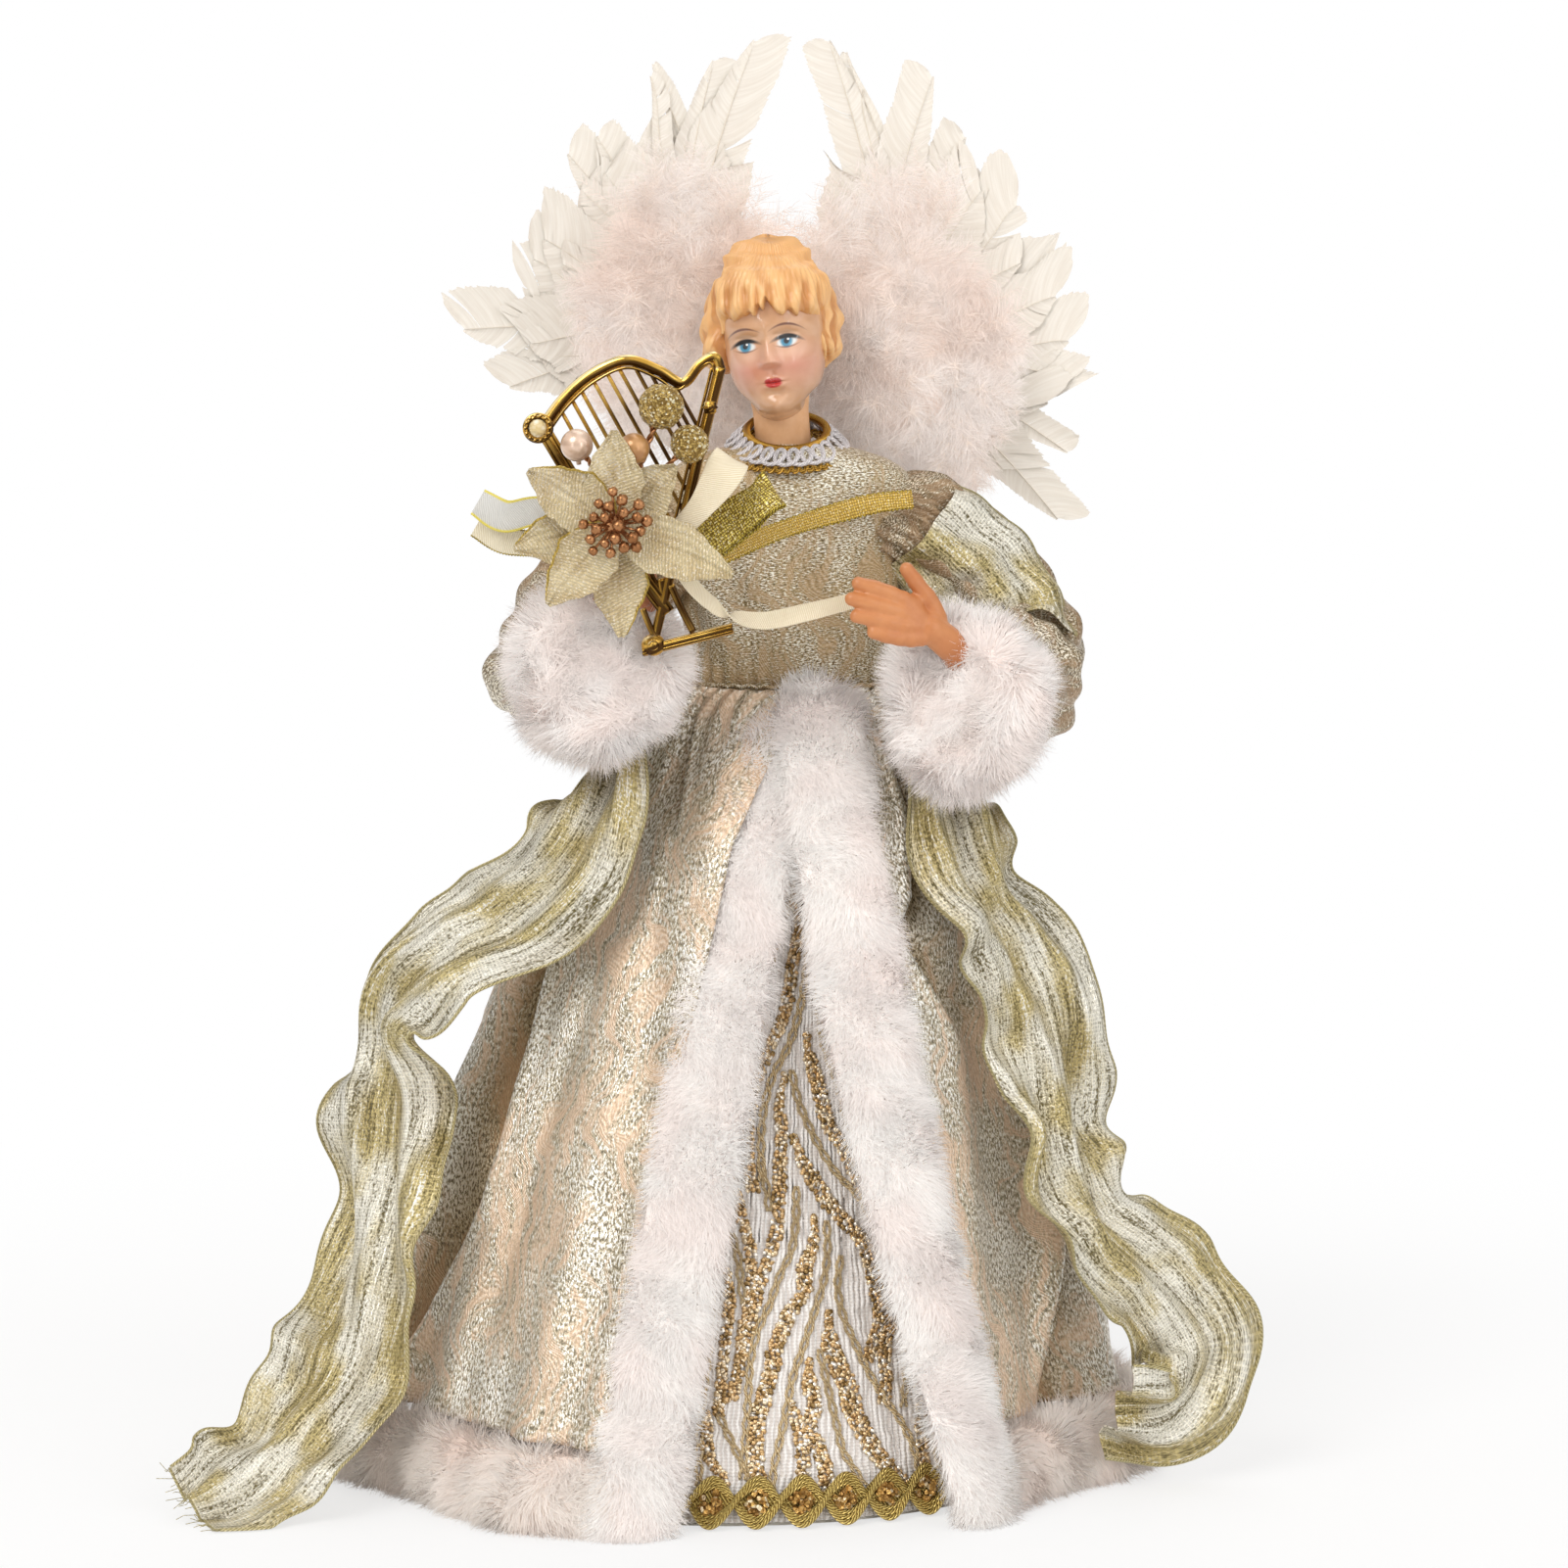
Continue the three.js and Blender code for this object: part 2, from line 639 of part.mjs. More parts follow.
// Scarf: a wide sheer ribbon; its path gives the middle line, and it faces away from the dress
function scarf(path, faces, halfWidthAt, ripple, rows) {
  const line = new THREE.CatmullRomCurve3(path);
  const facing = new THREE.CatmullRomCurve3(faces);
  const surface = (s, t) => {
    const centre = line.getPoint(t);
    const tangent = line.getTangent(t);
    const out = facing.getPoint(t).normalize();
    const side = out.clone().cross(tangent).normalize();
    const reach = (s - 0.5) * 2 * halfWidthAt(t);
    const pleat = ripple * Math.sin(s * Math.PI * 3.2 + t * 11) * Math.min(1, t * 8);
    return centre.add(side.multiplyScalar(reach)).add(out.multiplyScalar(pleat));
  };
  return cloth(surface, 4, rows, SCARF_THICKNESS);
}

const RIGHT_DRAPE = [
  point(-22, 1, 157), point(-22.5, -14, 155), point(-27, -31, 145), point(-33, -36, 133),
  point(-47, -33, 119), point(-60, -33, 112), point(-71.5, -30, 100), point(-71, -31, 84),
  point(-73, -36, 62), point(-76, -42, 42), point(-81, -51, 26), point(-91, -60, 14),
  point(-100, -66, 6.5), point(-108.5, -69.5, 2.6),
];
const RIGHT_DRAPE_FACES = [
  point(-1, 0.1, 0.3), point(-0.85, -0.5, 0.3), point(-0.6, -0.75, 0.3), point(-0.5, -0.8, 0.4),
  point(-0.4, -0.85, 0.4), point(-0.5, -0.8, 0.4), point(-0.75, -0.6, 0.3), point(-0.7, -0.7, 0.1),
  point(-0.6, -0.8, 0.1), point(-0.55, -0.8, 0.2), point(-0.4, -0.85, 0.3), point(-0.2, -0.85, 0.45),
  point(-0.1, -0.75, 0.65), point(0, -0.6, 0.8),
];
const LEFT_DRAPE = [
  point(45, -2, 152), point(46, -21, 147), point(50.5, -30, 132), point(59, -30, 116), point(66, -31, 100),
  point(68.5, -33, 84), point(71.5, -36, 68), point(79, -37, 54), point(91, -36, 42), point(99.5, -37, 28),
  point(93, -42, 16.5), point(80.5, -49, 18),
];
const LEFT_DRAPE_FACES = [
  point(1, -0.1, 0.3), point(0.75, -0.6, 0.3), point(0.55, -0.8, 0.25), point(0.5, -0.8, 0.3),
  point(0.6, -0.75, 0.2), point(0.65, -0.75, 0.1), point(0.6, -0.75, 0.15), point(0.45, -0.8, 0.35),
  point(0.4, -0.85, 0.3), point(0.5, -0.85, 0), point(0.3, -0.9, -0.3), point(0, -0.9, -0.4),
];

// Half the scarf's width along a drape: gathered where it starts, narrower towards its cut end
function drapeHalfWidth(t, taperFrom, endShare) {
  const gathered = mix(0.6, 1, Math.min(1, t * 3));
  const taper = mix(1, endShare, Math.max(0, (t - taperFrom) / (1 - taperFrom)));
  return SCARF_HALF_WIDTH * gathered * taper;
}

function scarfRightDrape() {
  const drape = scarf(RIGHT_DRAPE, RIGHT_DRAPE_FACES, (t) => drapeHalfWidth(t, 0.9, 0.6), 1.6, 34);
  const floor = box(400, 400, 40, 0, 0, -19.7);
  return cut(drape, [dressEnvelope(1.2), rightArmSpace(), hemSpace(), floor]);
}

function scarfLeftDrape() {
  const drape = scarf(LEFT_DRAPE, LEFT_DRAPE_FACES, (t) => drapeHalfWidth(t, 0.85, 0.75), 1.6, 30);
  const arm = sweptAbout(leftArmSpace(), SHOULDER_HINGE, ARM_SWING_DEGREES, 5);
  return cut(drape, [dressEnvelope(1.2), arm, hemSpace()]);
}

function scarfBack() {
  return cloth((s, t) => onDress(mix(98, 256, t), mix(140, 158, s), 2.4), 1, 20, SCARF_THICKNESS);
}

const leftArmSpace = () => join([sleeveForm(LEFT_ARM_PATH, 2.6, SLEEVE_END), cuff(...LEFT_CUFF, 1)]);
const rightArmSpace = () => join([sleeveForm(RIGHT_ARM_PATH, 1, SLEEVE_END), cuff(...RIGHT_CUFF, 1)]);
const hemSpace = () => hemFur(-110, 110).translate([0, 0, CLEARANCE]);

function scarfArmWrap() {
  const surface = sleeveSurface(LEFT_ARM_PATH, 1.3);
  const wrap = cloth((s, t) => surface(mix(0.1, 0.52, t), mix(-65, 105, s)), 7, 8, SCARF_THICKNESS);
  const shoulder = sweptAbout(bodiceForm(-CLEARANCE, 166, 217.4), SHOULDER_HINGE, -ARM_SWING_DEGREES, 5);
  return cut(wrap, [shoulder, sleeveForm(LEFT_ARM_PATH, 0.3, SLEEVE_END)]);
}

// Harp: one moulding with a double-curved neck, a pillar, a soundboard, a foot and strings
const HARP_Y = -48;
const HARP_NECK = [
  [-37.6, 222], [-33.2, 227.9], [-27.2, 233.1], [-20.2, 235.9], [-13.9, 233.9], [-8.9, 231.3], [-5.3, 235.1],
  [-2.4, 236.6], [-1.2, 233.9],
];
const HARP_STRINGS = 10;
const HARP_STRING_SLANT = 0.55;
const HARP_CORNER = [-1.3, 234.5];
const HARP_HEEL = [-15.3, 176.9];

function harp(grow = 0) {
  const at = ([x, z]) => point(x, HARP_Y, z);
  const neck = wire(HARP_NECK.map(at), 1.3 + grow, 18, 6);
  const soundboard = wire([HARP_CORNER, HARP_HEEL].map(at), 1.4 + grow, 1, 6);
  const pillar = wire([[-37.4, 222], [-26, 203.5], [-12, 184.5]].map(at), 1.2 + grow, 3, 6);
  const foot = new THREE.BoxGeometry(18.5 + 2 * grow, 6 + 2 * grow, 2 + 2 * grow);
  foot.rotateY(radians(-12));
  foot.translate(-8, HARP_Y, 179);
  const strings = [];
  const curve = new THREE.CatmullRomCurve3(HARP_NECK.map(at));
  const backSlope = (HARP_CORNER[0] - HARP_HEEL[0]) / (HARP_CORNER[1] - HARP_HEEL[1]);
  for (let i = 0; i < HARP_STRINGS; i += 1) {
    const top = curve.getPointAt(0.06 + (0.7 * (i + 1)) / (HARP_STRINGS + 1));
    const aside = HARP_CORNER[0] - (HARP_CORNER[1] - top.z) * backSlope - top.x;
    const fall = aside / (HARP_STRING_SLANT + backSlope);
    const low = point(top.x + HARP_STRING_SLANT * fall, HARP_Y, top.z - fall);
    strings.push(wire([top, low], 0.4 + grow, 1, 4));
  }
  return join([neck, soundboard, pillar, solid(foot), ...strings]);
}

const harpJewel = () => ellipsoid(point(-38.2, -52.2, 222.3), point(2.6, 2.4, 2.6), 10, 6);

// Poinsettia: leaf-shaped petals in two layers, given by direction and length
function petal(degrees, length, width, layerY, lift) {
  const angle = radians(degrees);
  const along = point(Math.cos(angle), 0, Math.sin(angle));
  const side = point(-Math.sin(angle), 0, Math.cos(angle));
  const surface = (s, t) => {
    const reach = mix(0.5, length, t);
    const half = (width / 2) * Math.sin(Math.PI * mix(0.08, 0.985, t ** 0.85)) + 0.25;
    const across = (s - 0.5) * 2;
    const rise = lift * t * t - 0.8 * (1 - across * across) * Math.sin(Math.PI * t);
    const spot = FLOWER_CENTRE.clone().setY(layerY - rise);
    return spot.add(along.clone().multiplyScalar(reach)).add(side.clone().multiplyScalar(across * half));
  };
  return cloth(surface, 2, 5, 0.7);
}

function hub(layerY, radius) {
  return ellipsoid(point(FLOWER_CENTRE.x, layerY, FLOWER_CENTRE.z), point(radius, 0.8, radius), 8, 4);
}

function petalLayer(petals, layerY, lift) {
  const leaves = petals.map(([turn, length, width]) => petal(turn, length, width, layerY, lift));
  return join([hub(layerY, 3), ...leaves]);
}

const frontPetals = () => (
  petalLayer([[90, 19, 9.5], [-23, 26, 10], [-130, 21, 10], [148, 20.5, 10]], -61.2, 1.6)
);
const backPetals = () => petalLayer([[44, 17, 9], [-87, 23, 10], [-166, 21, 10]], -58.2, 0.4);

function stamens() {
  const pieces = [ellipsoid(point(FLOWER_CENTRE.x, -63.3, FLOWER_CENTRE.z), point(2.6, 0.8, 2.6), 8, 6)];
  const count = 8;
  for (let i = 0; i < count; i += 1) {
    const turn = radians(i * 137.5);
    const reach = 1.2 + 4.6 * Math.sqrt(i / count);
    const tip = point(
      FLOWER_CENTRE.x + reach * Math.cos(turn), -66.5 + 0.3 * reach, FLOWER_CENTRE.z + reach * Math.sin(turn),
    );
    const root = point(FLOWER_CENTRE.x, -63.2, FLOWER_CENTRE.z);
    pieces.push(wire([root, tip], 0.45, 1, 3), ellipsoid(tip, point(1.25, 1.25, 1.25), 5, 3));
  }
  return join(pieces);
}

// Berries and pearls: middle and radius
const BERRIES = {
  upper: [point(-13.1, -55, 226.8), 4.6],
  lower: [point(-7.4, -55.5, 219.3), 3.9],
  goldPearl: [point(-18.6, -58, 218.4), 3.2],
  pinkPearl: [point(-30.2, -55.5, 219), 3.3],
};

const berry = ([centre, radius], grow = 0) => {
  const size = radius + grow;
  return ellipsoid(centre, point(size, size, size), 10, 7);
};

function berryStems() {
  const knot = point(-20.5, -54.4, 206);
  const stems = Object.values(BERRIES).map(([centre]) => {
    const bend = knot.clone().lerp(centre, 0.5).setY(-53.2);
    return wire([knot, bend, centre], 0.6, 2, 4);
  });
  const bunch = join([ellipsoid(knot, point(2.4, 1.6, 2.4), 8, 6), ...stems]);
  return cut(bunch, [...Object.values(BERRIES).map((item) => berry(item, CLEARANCE)), harp(CLEARANCE)]);
}

// Narrow ribbons: loops beside the flower, their tails across the chest, and cut ends at the right
function ribbon(path, faces, halfWidth, rows, thickness = 0.7) {
  const line = new THREE.CatmullRomCurve3(path);
  const facing = new THREE.CatmullRomCurve3(faces);
  const surface = (s, t) => {
    const side = facing.getPoint(t).normalize().cross(line.getTangent(t)).normalize();
    return line.getPoint(t).add(side.multiplyScalar((s - 0.5) * 2 * halfWidth));
  };
  return cloth(surface, 1, rows, thickness);
}

const satinLoop = () => ribbon(
  [point(-10.5, -54.2, 200.5), point(-4.5, -57.4, 207.5), point(-0.5, -57.8, 213.6), point(0.8, -54.4, 216.4),
    point(-2.4, -52.4, 211), point(-7.5, -52.2, 203.5)],
  [point(-0.4, -1, 0.2), point(-0.3, -1, 0.3), point(-0.2, -1, 0.9), point(0.7, 0.1, 1), point(0.6, 1, -0.3),
    point(0.4, 1, -0.2)],
  3.6,
  13,
);

const goldLoop = () => ribbon(
  [point(-7.8, -51.3, 197.5), point(0, -51.6, 203), point(7, -53, 208), point(9.6, -51, 209.8),
    point(5, -48.6, 205.5), point(-3, -49.4, 199)],
  [point(-0.1, -1, 0.1), point(-0.2, -1, 0.3), point(0, -1, 0.9), point(1, 0, 0.6), point(0.4, 1, -0.5),
    point(0.1, 1, -0.1)],
  4,
  13,
);

const satinTail = () => ribbon(
  [point(-9.5, -56.2, 194.5), point(-5.5, -55.6, 189), point(0, -52.6, 184.8), point(7, -48.6, 182.9),
    point(15.6, -45.6, 183.5), point(22.5, -44.2, 186.4)],
  [point(0.6, -1, 0.2), point(0.3, -1, 0.7), point(-0.3, -0.9, 0.8), point(-0.2, -1, 0.1), point(0, -1, 0),
    point(0.1, -1, 0)],
  2.9,
  12,
);

const goldTail = () => ribbon(
  [point(-4.5, -43, 194.5), point(3.5, -36, 197.6), point(12, -27.5, 200.4), point(21.8, -20.6, 203),
    point(31, -17.6, 205.2), point(38.6, -17, 206)],
  [point(-0.4, -1, 0.1), point(-0.4, -1, 0.1), point(-0.4, -1, 0.1), point(-0.2, -1, 0.1), point(0, -1, 0.2),
    point(0.1, -1, 0.2)],
  1.9,
  9,
);

const ribbonEndSatin = () => ribbon(
  [point(-31, -55.6, 203), point(-38, -54.6, 205.6), point(-45, -54.2, 204.6), point(-50.4, -53.4, 207.4)],
  [point(-0.2, -1, 0.4), point(0, -1, 0.3), point(0, -1, -0.2), point(0.1, -1, 0.3)],
  3.2,
  8,
);

const ribbonEndGold = () => ribbon(
  [point(-31, -53, 199), point(-38, -52, 198.8), point(-45, -51.4, 199.6), point(-50.8, -50.4, 202.6)],
  [point(-0.1, -1, 0.2), point(0, -1, 0.3), point(0, -1, -0.1), point(0.1, -1, 0.2)],
  2.6,
  8,
);

// Wings: each has a card, a layer of feathers, a fluff pad in front and a wire behind
const RIGHT_FEATHERS = [
  [5.4, 302.7, 13.3], [-3.5, 298.5, 10.8], [-13.6, 298, 5], [-20.5, 294.5, 5], [-28.7, 282.1, 10],
  [-35.1, 278.5, 13], [-36.3, 254.6, 9], [-57.9, 240.6, 16], [-48.1, 228.1, 13],
];
const LEFT_FEATHERS = [
  [21.4, 302.7, 10.5], [28.6, 300.5, 5], [34.2, 292.2, 5.5], [43.8, 295.1, 11.8], [50.9, 282.1, 10.8],
  [55.8, 271.1, 11.2], [63.1, 255, 10], [74.3, 229.6, 10.5], [73.6, 213.8, 7.5], [71.5, 199.3, 11],
];
const RIGHT_WING_ROOT = [-9, 236];
const LEFT_WING_ROOT = [33, 234];

function feather([tipX, tipZ, width], [rootX, rootZ], order) {
  const along = point(tipX - rootX, 0, tipZ - rootZ);
  const side = point(-along.z, 0, along.x).normalize();
  const bend = 0.05 * along.length() * Math.sign(along.x);
  const surface = (s, t) => {
    const reach = mix(0.16, 1, t);
    const half = (width / 2) * Math.min(1, 3.2 * (1 - t) ** 0.6, 0.35 + t) + 0.2;
    const sway = bend * Math.sin(Math.PI * reach) + (s - 0.5) * 2 * half;
    const y = 27.6 + 0.35 * (order % 3) - 1.1 * t * t;
    const spot = point(rootX, y, rootZ).add(along.clone().multiplyScalar(reach));
    return spot.add(side.clone().multiplyScalar(sway));
  };
  return cloth(surface, 1, 5, 0.9);
}

function wingFeathers(feathers, root, padWidth, padHeight) {
  const pad = ellipsoid(point(root[0], 28, root[1]), point(padWidth, 1.6, padHeight), 12, 6);
  return join([pad, ...feathers.map((item, order) => feather(item, root, order))]);
}

// The fluff pad swells and dips round its edge; it stays clear of the space that the turning head needs
function wingFluff(centre, halfWidth, halfHeight, lobes) {
  const geometry = new THREE.SphereGeometry(1, 22, 9);
  const spots = geometry.attributes.position;
  for (let i = 0; i < spots.count; i += 1) {
    const spot = new THREE.Vector3().fromBufferAttribute(spots, i);
    const around = Math.atan2(spot.y, spot.x);
    const swell = 1 + 0.09 * Math.sin(lobes * around) + 0.05 * Math.cos((lobes + 4) * around);
    const y = Math.min(25.4, centre.y + 6.5 * spot.z);
    spots.setXYZ(i, centre.x + halfWidth * spot.x * swell, y, centre.z + halfHeight * spot.y * swell);
  }
  return cut(solid(body(pointsOf(geometry), Array.from(geometry.index.array))), [neckSpace(17.6, 2, 52)]);
}

function pointsOf(geometry) {
  const spots = geometry.attributes.position;
  return Array.from({ length: spots.count }, (_, i) => new THREE.Vector3().fromBufferAttribute(spots, i));
}

function wingCard(x, z, halfWidth, halfHeight) {
  const outline = new THREE.Shape();
  outline.absellipse(0, 0, halfWidth, halfHeight, 0, Math.PI * 2);
  const geometry = new THREE.ExtrudeGeometry(outline, { depth: 1, bevelEnabled: false, curveSegments: 10 });
  geometry.rotateX(Math.PI / 2);
  geometry.translate(x, 31.2, z);
  return solid(geometry);
}

function wingWire(side) {
  const x = (distance) => SPINE_X + side * distance;
  const path = [
    point(x(WING_HINGE_OFFSET), 32.6, 226), point(x(8), 32.5, 231), point(x(18), 32.5, 240),
    point(x(30), 32.5, 244),
  ];
  return wire(path, 0.9, 9);
}

// The holder behind the torso: a foot on the bodice and a narrow spine between the wings
function wingHolder() {
  const foot = box(7, 2, 14, SPINE_X, 16.4, 180);
  const arm = box(3.4, 18, 5, SPINE_X, 25, 181);
  const spine = box(3, 3, 56, SPINE_X, WING_HINGE_Y + 0.5, 206);
  return cut(join([foot, arm, spine]), [bodiceForm(-CLEARANCE, 166, 217.4)]);
}

// Head: moulded face, hair and neck in one, bored for the neck pin; made upright about its own axis
function head() {
  const skull = new THREE.SphereGeometry(1, 14, 10);
  skull.rotateX(Math.PI / 2);
  const spots = skull.attributes.position;
  for (let i = 0; i < spots.count; i += 1) {
    const z = spots.getZ(i);
    const below = Math.min(0, z) ** 2;
    const x = spots.getX(i) * 11.2 * (1 - 0.3 * below);
    const y = spots.getY(i) * 12.6 * (1 - 0.12 * below) - 1;
    spots.setXYZ(i, x, y, z * 15.5 + 24);
  }
  const pieces = [
    solid(skull),
    ellipsoid(point(0, -13, 23.5), point(1.5, 2.3, 2.8), 8, 6),
    ellipsoid(point(0, 3.4, 29), point(15.4, 13, 12.6), 14, 9),
    ellipsoid(point(0, -2, 35), point(12.6, 11.6, 7.6), 12, 6),
    ellipsoid(point(-12, 2.6, 21.5), point(4.4, 8, 8), 8, 6),
    ellipsoid(point(12, 2.6, 21.5), point(4.4, 8, 8), 8, 6),
    ellipsoid(point(-0.5, 2.6, 40.2), point(9.6, 9, 6), 12, 6),
  ];
  const neck = new THREE.CylinderGeometry(6.1, 6.3, 20, 12);
  neck.rotateX(Math.PI / 2);
  neck.translate(0, 0, 6.5);
  const bore = new THREE.CylinderGeometry(NECK_PIN_RADIUS + CLEARANCE, NECK_PIN_RADIUS + CLEARANCE, 30, 12);
  bore.rotateX(Math.PI / 2);
  bore.translate(0, 0, 5.6);
  const turned = join([...pieces, solid(neck)]).rotate([0, 0, THREE.MathUtils.radToDeg(HEAD_YAW)]);
  return cut(turned, [solid(bore)]);
}

// Materials, one per mesh: colour, roughness and metalness
const finish = (color, roughness, metalness) => (
  () => new THREE.MeshStandardMaterial({ color, roughness, metalness })
);
const card = finish(0xe9e6df, 0.8, 0);
const foam = finish(0xf1efe8, 0.9, 0);
const steel = finish(0x9d9d9a, 0.4, 0.9);
const brocade = finish(0xc3b08d, 0.45, 0.5);
const sheerGold = finish(0xbfb57f, 0.4, 0.6);
const fur = finish(0xf3ede8, 1, 0);
const sequin = finish(0xd6c6a0, 0.4, 0.5);
const gimp = finish(0xb99a3f, 0.4, 0.8);
const whiteGimp = finish(0xefeadd, 0.7, 0.1);
const plating = finish(0xb08a2e, 0.2, 1);
const flesh = finish(0xe8a77a, 0.4, 0);
const faceAndHair = finish(0xe9bd84, 0.3, 0);
const creamGold = finish(0xd9cfa2, 0.6, 0.3);
const glitter = finish(0xb9963f, 0.5, 0.8);
const pearl = finish(0xd9b27a, 0.25, 0.3);
const rose = finish(0xe6c3a4, 0.25, 0.2);
const satin = finish(0xe6dcbb, 0.35, 0.1);
const lame = finish(0xc7a43c, 0.3, 0.9);
const plume = finish(0xe8e3dd, 0.9, 0);
const bronze = finish(0x9a6a2e, 0.35, 0.7);
const jewel = finish(0xf2e6c4, 0.05, 0);

// The tree: the head and the left arm and the wings are groups of their own, because they move
function mesh(name, piece, material) {
  const item = new THREE.Mesh(geometryOf(piece), material());
  item.name = name;
  return item;
}

function groupOf(items) {
  const group = new THREE.Group();
  for (const [name, piece, material] of items) group.add(mesh(name, piece, material));
  return group;
}

const figure = groupOf([
  ['cone_support', coneSupport(), card],
  ['cone_cap', coneCap(), card],
  ['torso_form', torsoForm(), foam],
  ['neck_pin', neckPin(), steel],
  ['bodice', bodice(), brocade],
  ['collar_braid', collarBraid(), whiteGimp],
  ['underskirt_front', underskirtFront(), sequin],
  ['hem_braid', hemBraid(), gimp],
  ['coat_right_panel', coatRightPanel(), brocade],
  ['coat_left_panel', coatLeftPanel(), brocade],
  ['coat_back_panel', coatBackPanel(), brocade],
  ['left_front_trim', leftFrontTrim(), fur],
  ['right_front_trim', rightFrontTrim(), fur],
  ['hem_fur_left', hemFurLeft(), fur],
  ['hem_fur_right', hemFurRight(), fur],
  ['hem_fur_back', hemFurBack(), fur],
  ['right_sleeve', rightSleeve(), brocade],
  ['right_cuff', rightCuff(), fur],
  ['right_hand', rightHand(), flesh],
  ['right_arm_wire', armWire(RIGHT_ARM_PATH, RIGHT_WRIST), steel],
  ['scarf_right_drape', scarfRightDrape(), sheerGold],
  ['scarf_left_drape', scarfLeftDrape(), sheerGold],
  ['scarf_back', scarfBack(), sheerGold],
  ['harp', harp(), plating],
  ['harp_jewel', harpJewel(), jewel],
  ['poinsettia_front_petals', frontPetals(), creamGold],
  ['poinsettia_back_petals', backPetals(), creamGold],
  ['stamens', stamens(), bronze],
  ['glitter_berry_upper', berry(BERRIES.upper), glitter],
  ['glitter_berry_lower', berry(BERRIES.lower), glitter],
  ['gold_pearl', berry(BERRIES.goldPearl), pearl],
  ['pink_pearl', berry(BERRIES.pinkPearl), rose],
  ['berry_stems', berryStems(), bronze],
  ['satin_loop', satinLoop(), satin],
  ['gold_loop', goldLoop(), lame],
  ['satin_tail', satinTail(), satin],
  ['gold_tail', goldTail(), lame],
  ['ribbon_end_satin', ribbonEndSatin(), satin],
  ['ribbon_end_gold', ribbonEndGold(), lame],
  ['wing_holder', wingHolder(), card],
]);

const headGroup = groupOf([['head', head(), faceAndHair]]);
headGroup.position.copy(NECK_BASE);
headGroup.rotation.y = HEAD_TILT;

const leftArm = groupOf([
  ['left_sleeve', leftSleeve(), brocade],
  ['left_cuff', leftCuff(), fur],
  ['left_hand', leftHand(), flesh],
  ['left_arm_wire', armWire(LEFT_ARM_PATH, LEFT_WRIST), steel],
  ['scarf_arm_wrap', scarfArmWrap(), sheerGold],
]);

const rightWing = groupOf([
  ['right_wing_feathers', wingFeathers(RIGHT_FEATHERS, RIGHT_WING_ROOT, 15, 24), plume],
  ['right_wing_fluff', wingFluff(point(-14, 20, 238), 21, 28, 5), plume],
  ['right_wing_card', wingCard(-8, 236, 15, 23), card],
  ['right_wing_wire', wingWire(-1), steel],
]);

const leftWing = groupOf([
  ['left_wing_feathers', wingFeathers(LEFT_FEATHERS, LEFT_WING_ROOT, 15, 26), plume],
  ['left_wing_fluff', wingFluff(point(41, 20, 234), 23, 31, 6), plume],
  ['left_wing_card', wingCard(32, 234, 15, 24), card],
  ['left_wing_wire', wingWire(1), steel],
]);

figure.add(headGroup, leftArm, rightWing, leftWing);

export default figure;
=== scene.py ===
"""Angel tree topper: a dressed doll on an open cone, with feather wings, a harp and a flower bunch.

The file is laid out as a Blender add-on. Run as a script, it builds every piece and then the stage.
Lengths in the making code are millimetres in the row frame: +Z up, and the figure looks along -Y.
Left and right are the figure's own, so its left is +X.
"""

import math

import bpy
import numpy as np
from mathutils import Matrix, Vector


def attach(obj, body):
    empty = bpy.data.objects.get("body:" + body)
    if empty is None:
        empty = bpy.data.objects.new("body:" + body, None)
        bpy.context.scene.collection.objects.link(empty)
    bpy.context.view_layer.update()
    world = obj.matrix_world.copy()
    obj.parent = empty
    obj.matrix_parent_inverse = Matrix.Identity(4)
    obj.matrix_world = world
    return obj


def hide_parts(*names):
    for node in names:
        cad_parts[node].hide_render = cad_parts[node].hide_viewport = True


bl_info = {
    "name": "Angel tree topper",
    "version": (1, 0, 0),
    "blender": (4, 5, 0),
    "location": "View3D > Sidebar > Topper",
    "description": "Builds a dressed angel tree topper over its frame of solids",
    "category": "Add Mesh",
}

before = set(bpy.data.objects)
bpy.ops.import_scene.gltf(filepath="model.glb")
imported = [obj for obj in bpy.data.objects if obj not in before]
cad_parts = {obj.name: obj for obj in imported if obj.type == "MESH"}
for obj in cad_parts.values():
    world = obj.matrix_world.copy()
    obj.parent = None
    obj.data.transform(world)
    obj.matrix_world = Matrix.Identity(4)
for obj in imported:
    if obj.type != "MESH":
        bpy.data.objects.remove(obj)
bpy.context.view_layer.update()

MM = 0.001
TURN = 2 * math.pi


# Numbers and points


def lerp(a, b, t):
    return a + (b - a) * t


def unit(v):
    return v / np.maximum(np.linalg.norm(v, axis=-1, keepdims=True), 1e-9)


def smooth(low, high, x):
    t = np.clip((np.asarray(x, float) - low) / (high - low), 0, 1)
    return t * t * (3 - 2 * t)


def hump(x, centre, width):
    return np.exp(-(((x - centre) / width) ** 2))


def stack(x, y, z):
    x, y, z = np.broadcast_arrays(x, y, z)
    return np.stack([x, y, z], -1).astype(float)


def pair(across, along):
    """Two values for each point, as texture places."""
    return np.stack(np.broadcast_arrays(across, along), -1)


def column(low, high, count):
    return np.linspace(low, high, count)[:, None]


def row(low, high, count):
    return np.linspace(low, high, count)[None, :]


def ring_turns(count):
    return np.linspace(0, TURN, count, endpoint=False)


def run_along(line):
    """How far along a line each of its points lies."""
    return np.concatenate([[0], np.cumsum(np.linalg.norm(np.diff(line, axis=0), axis=1))])


def spun(a, b, angle):
    """Two directions, or two measures, turned together."""
    return a * np.cos(angle) - b * np.sin(angle), a * np.sin(angle) + b * np.cos(angle)


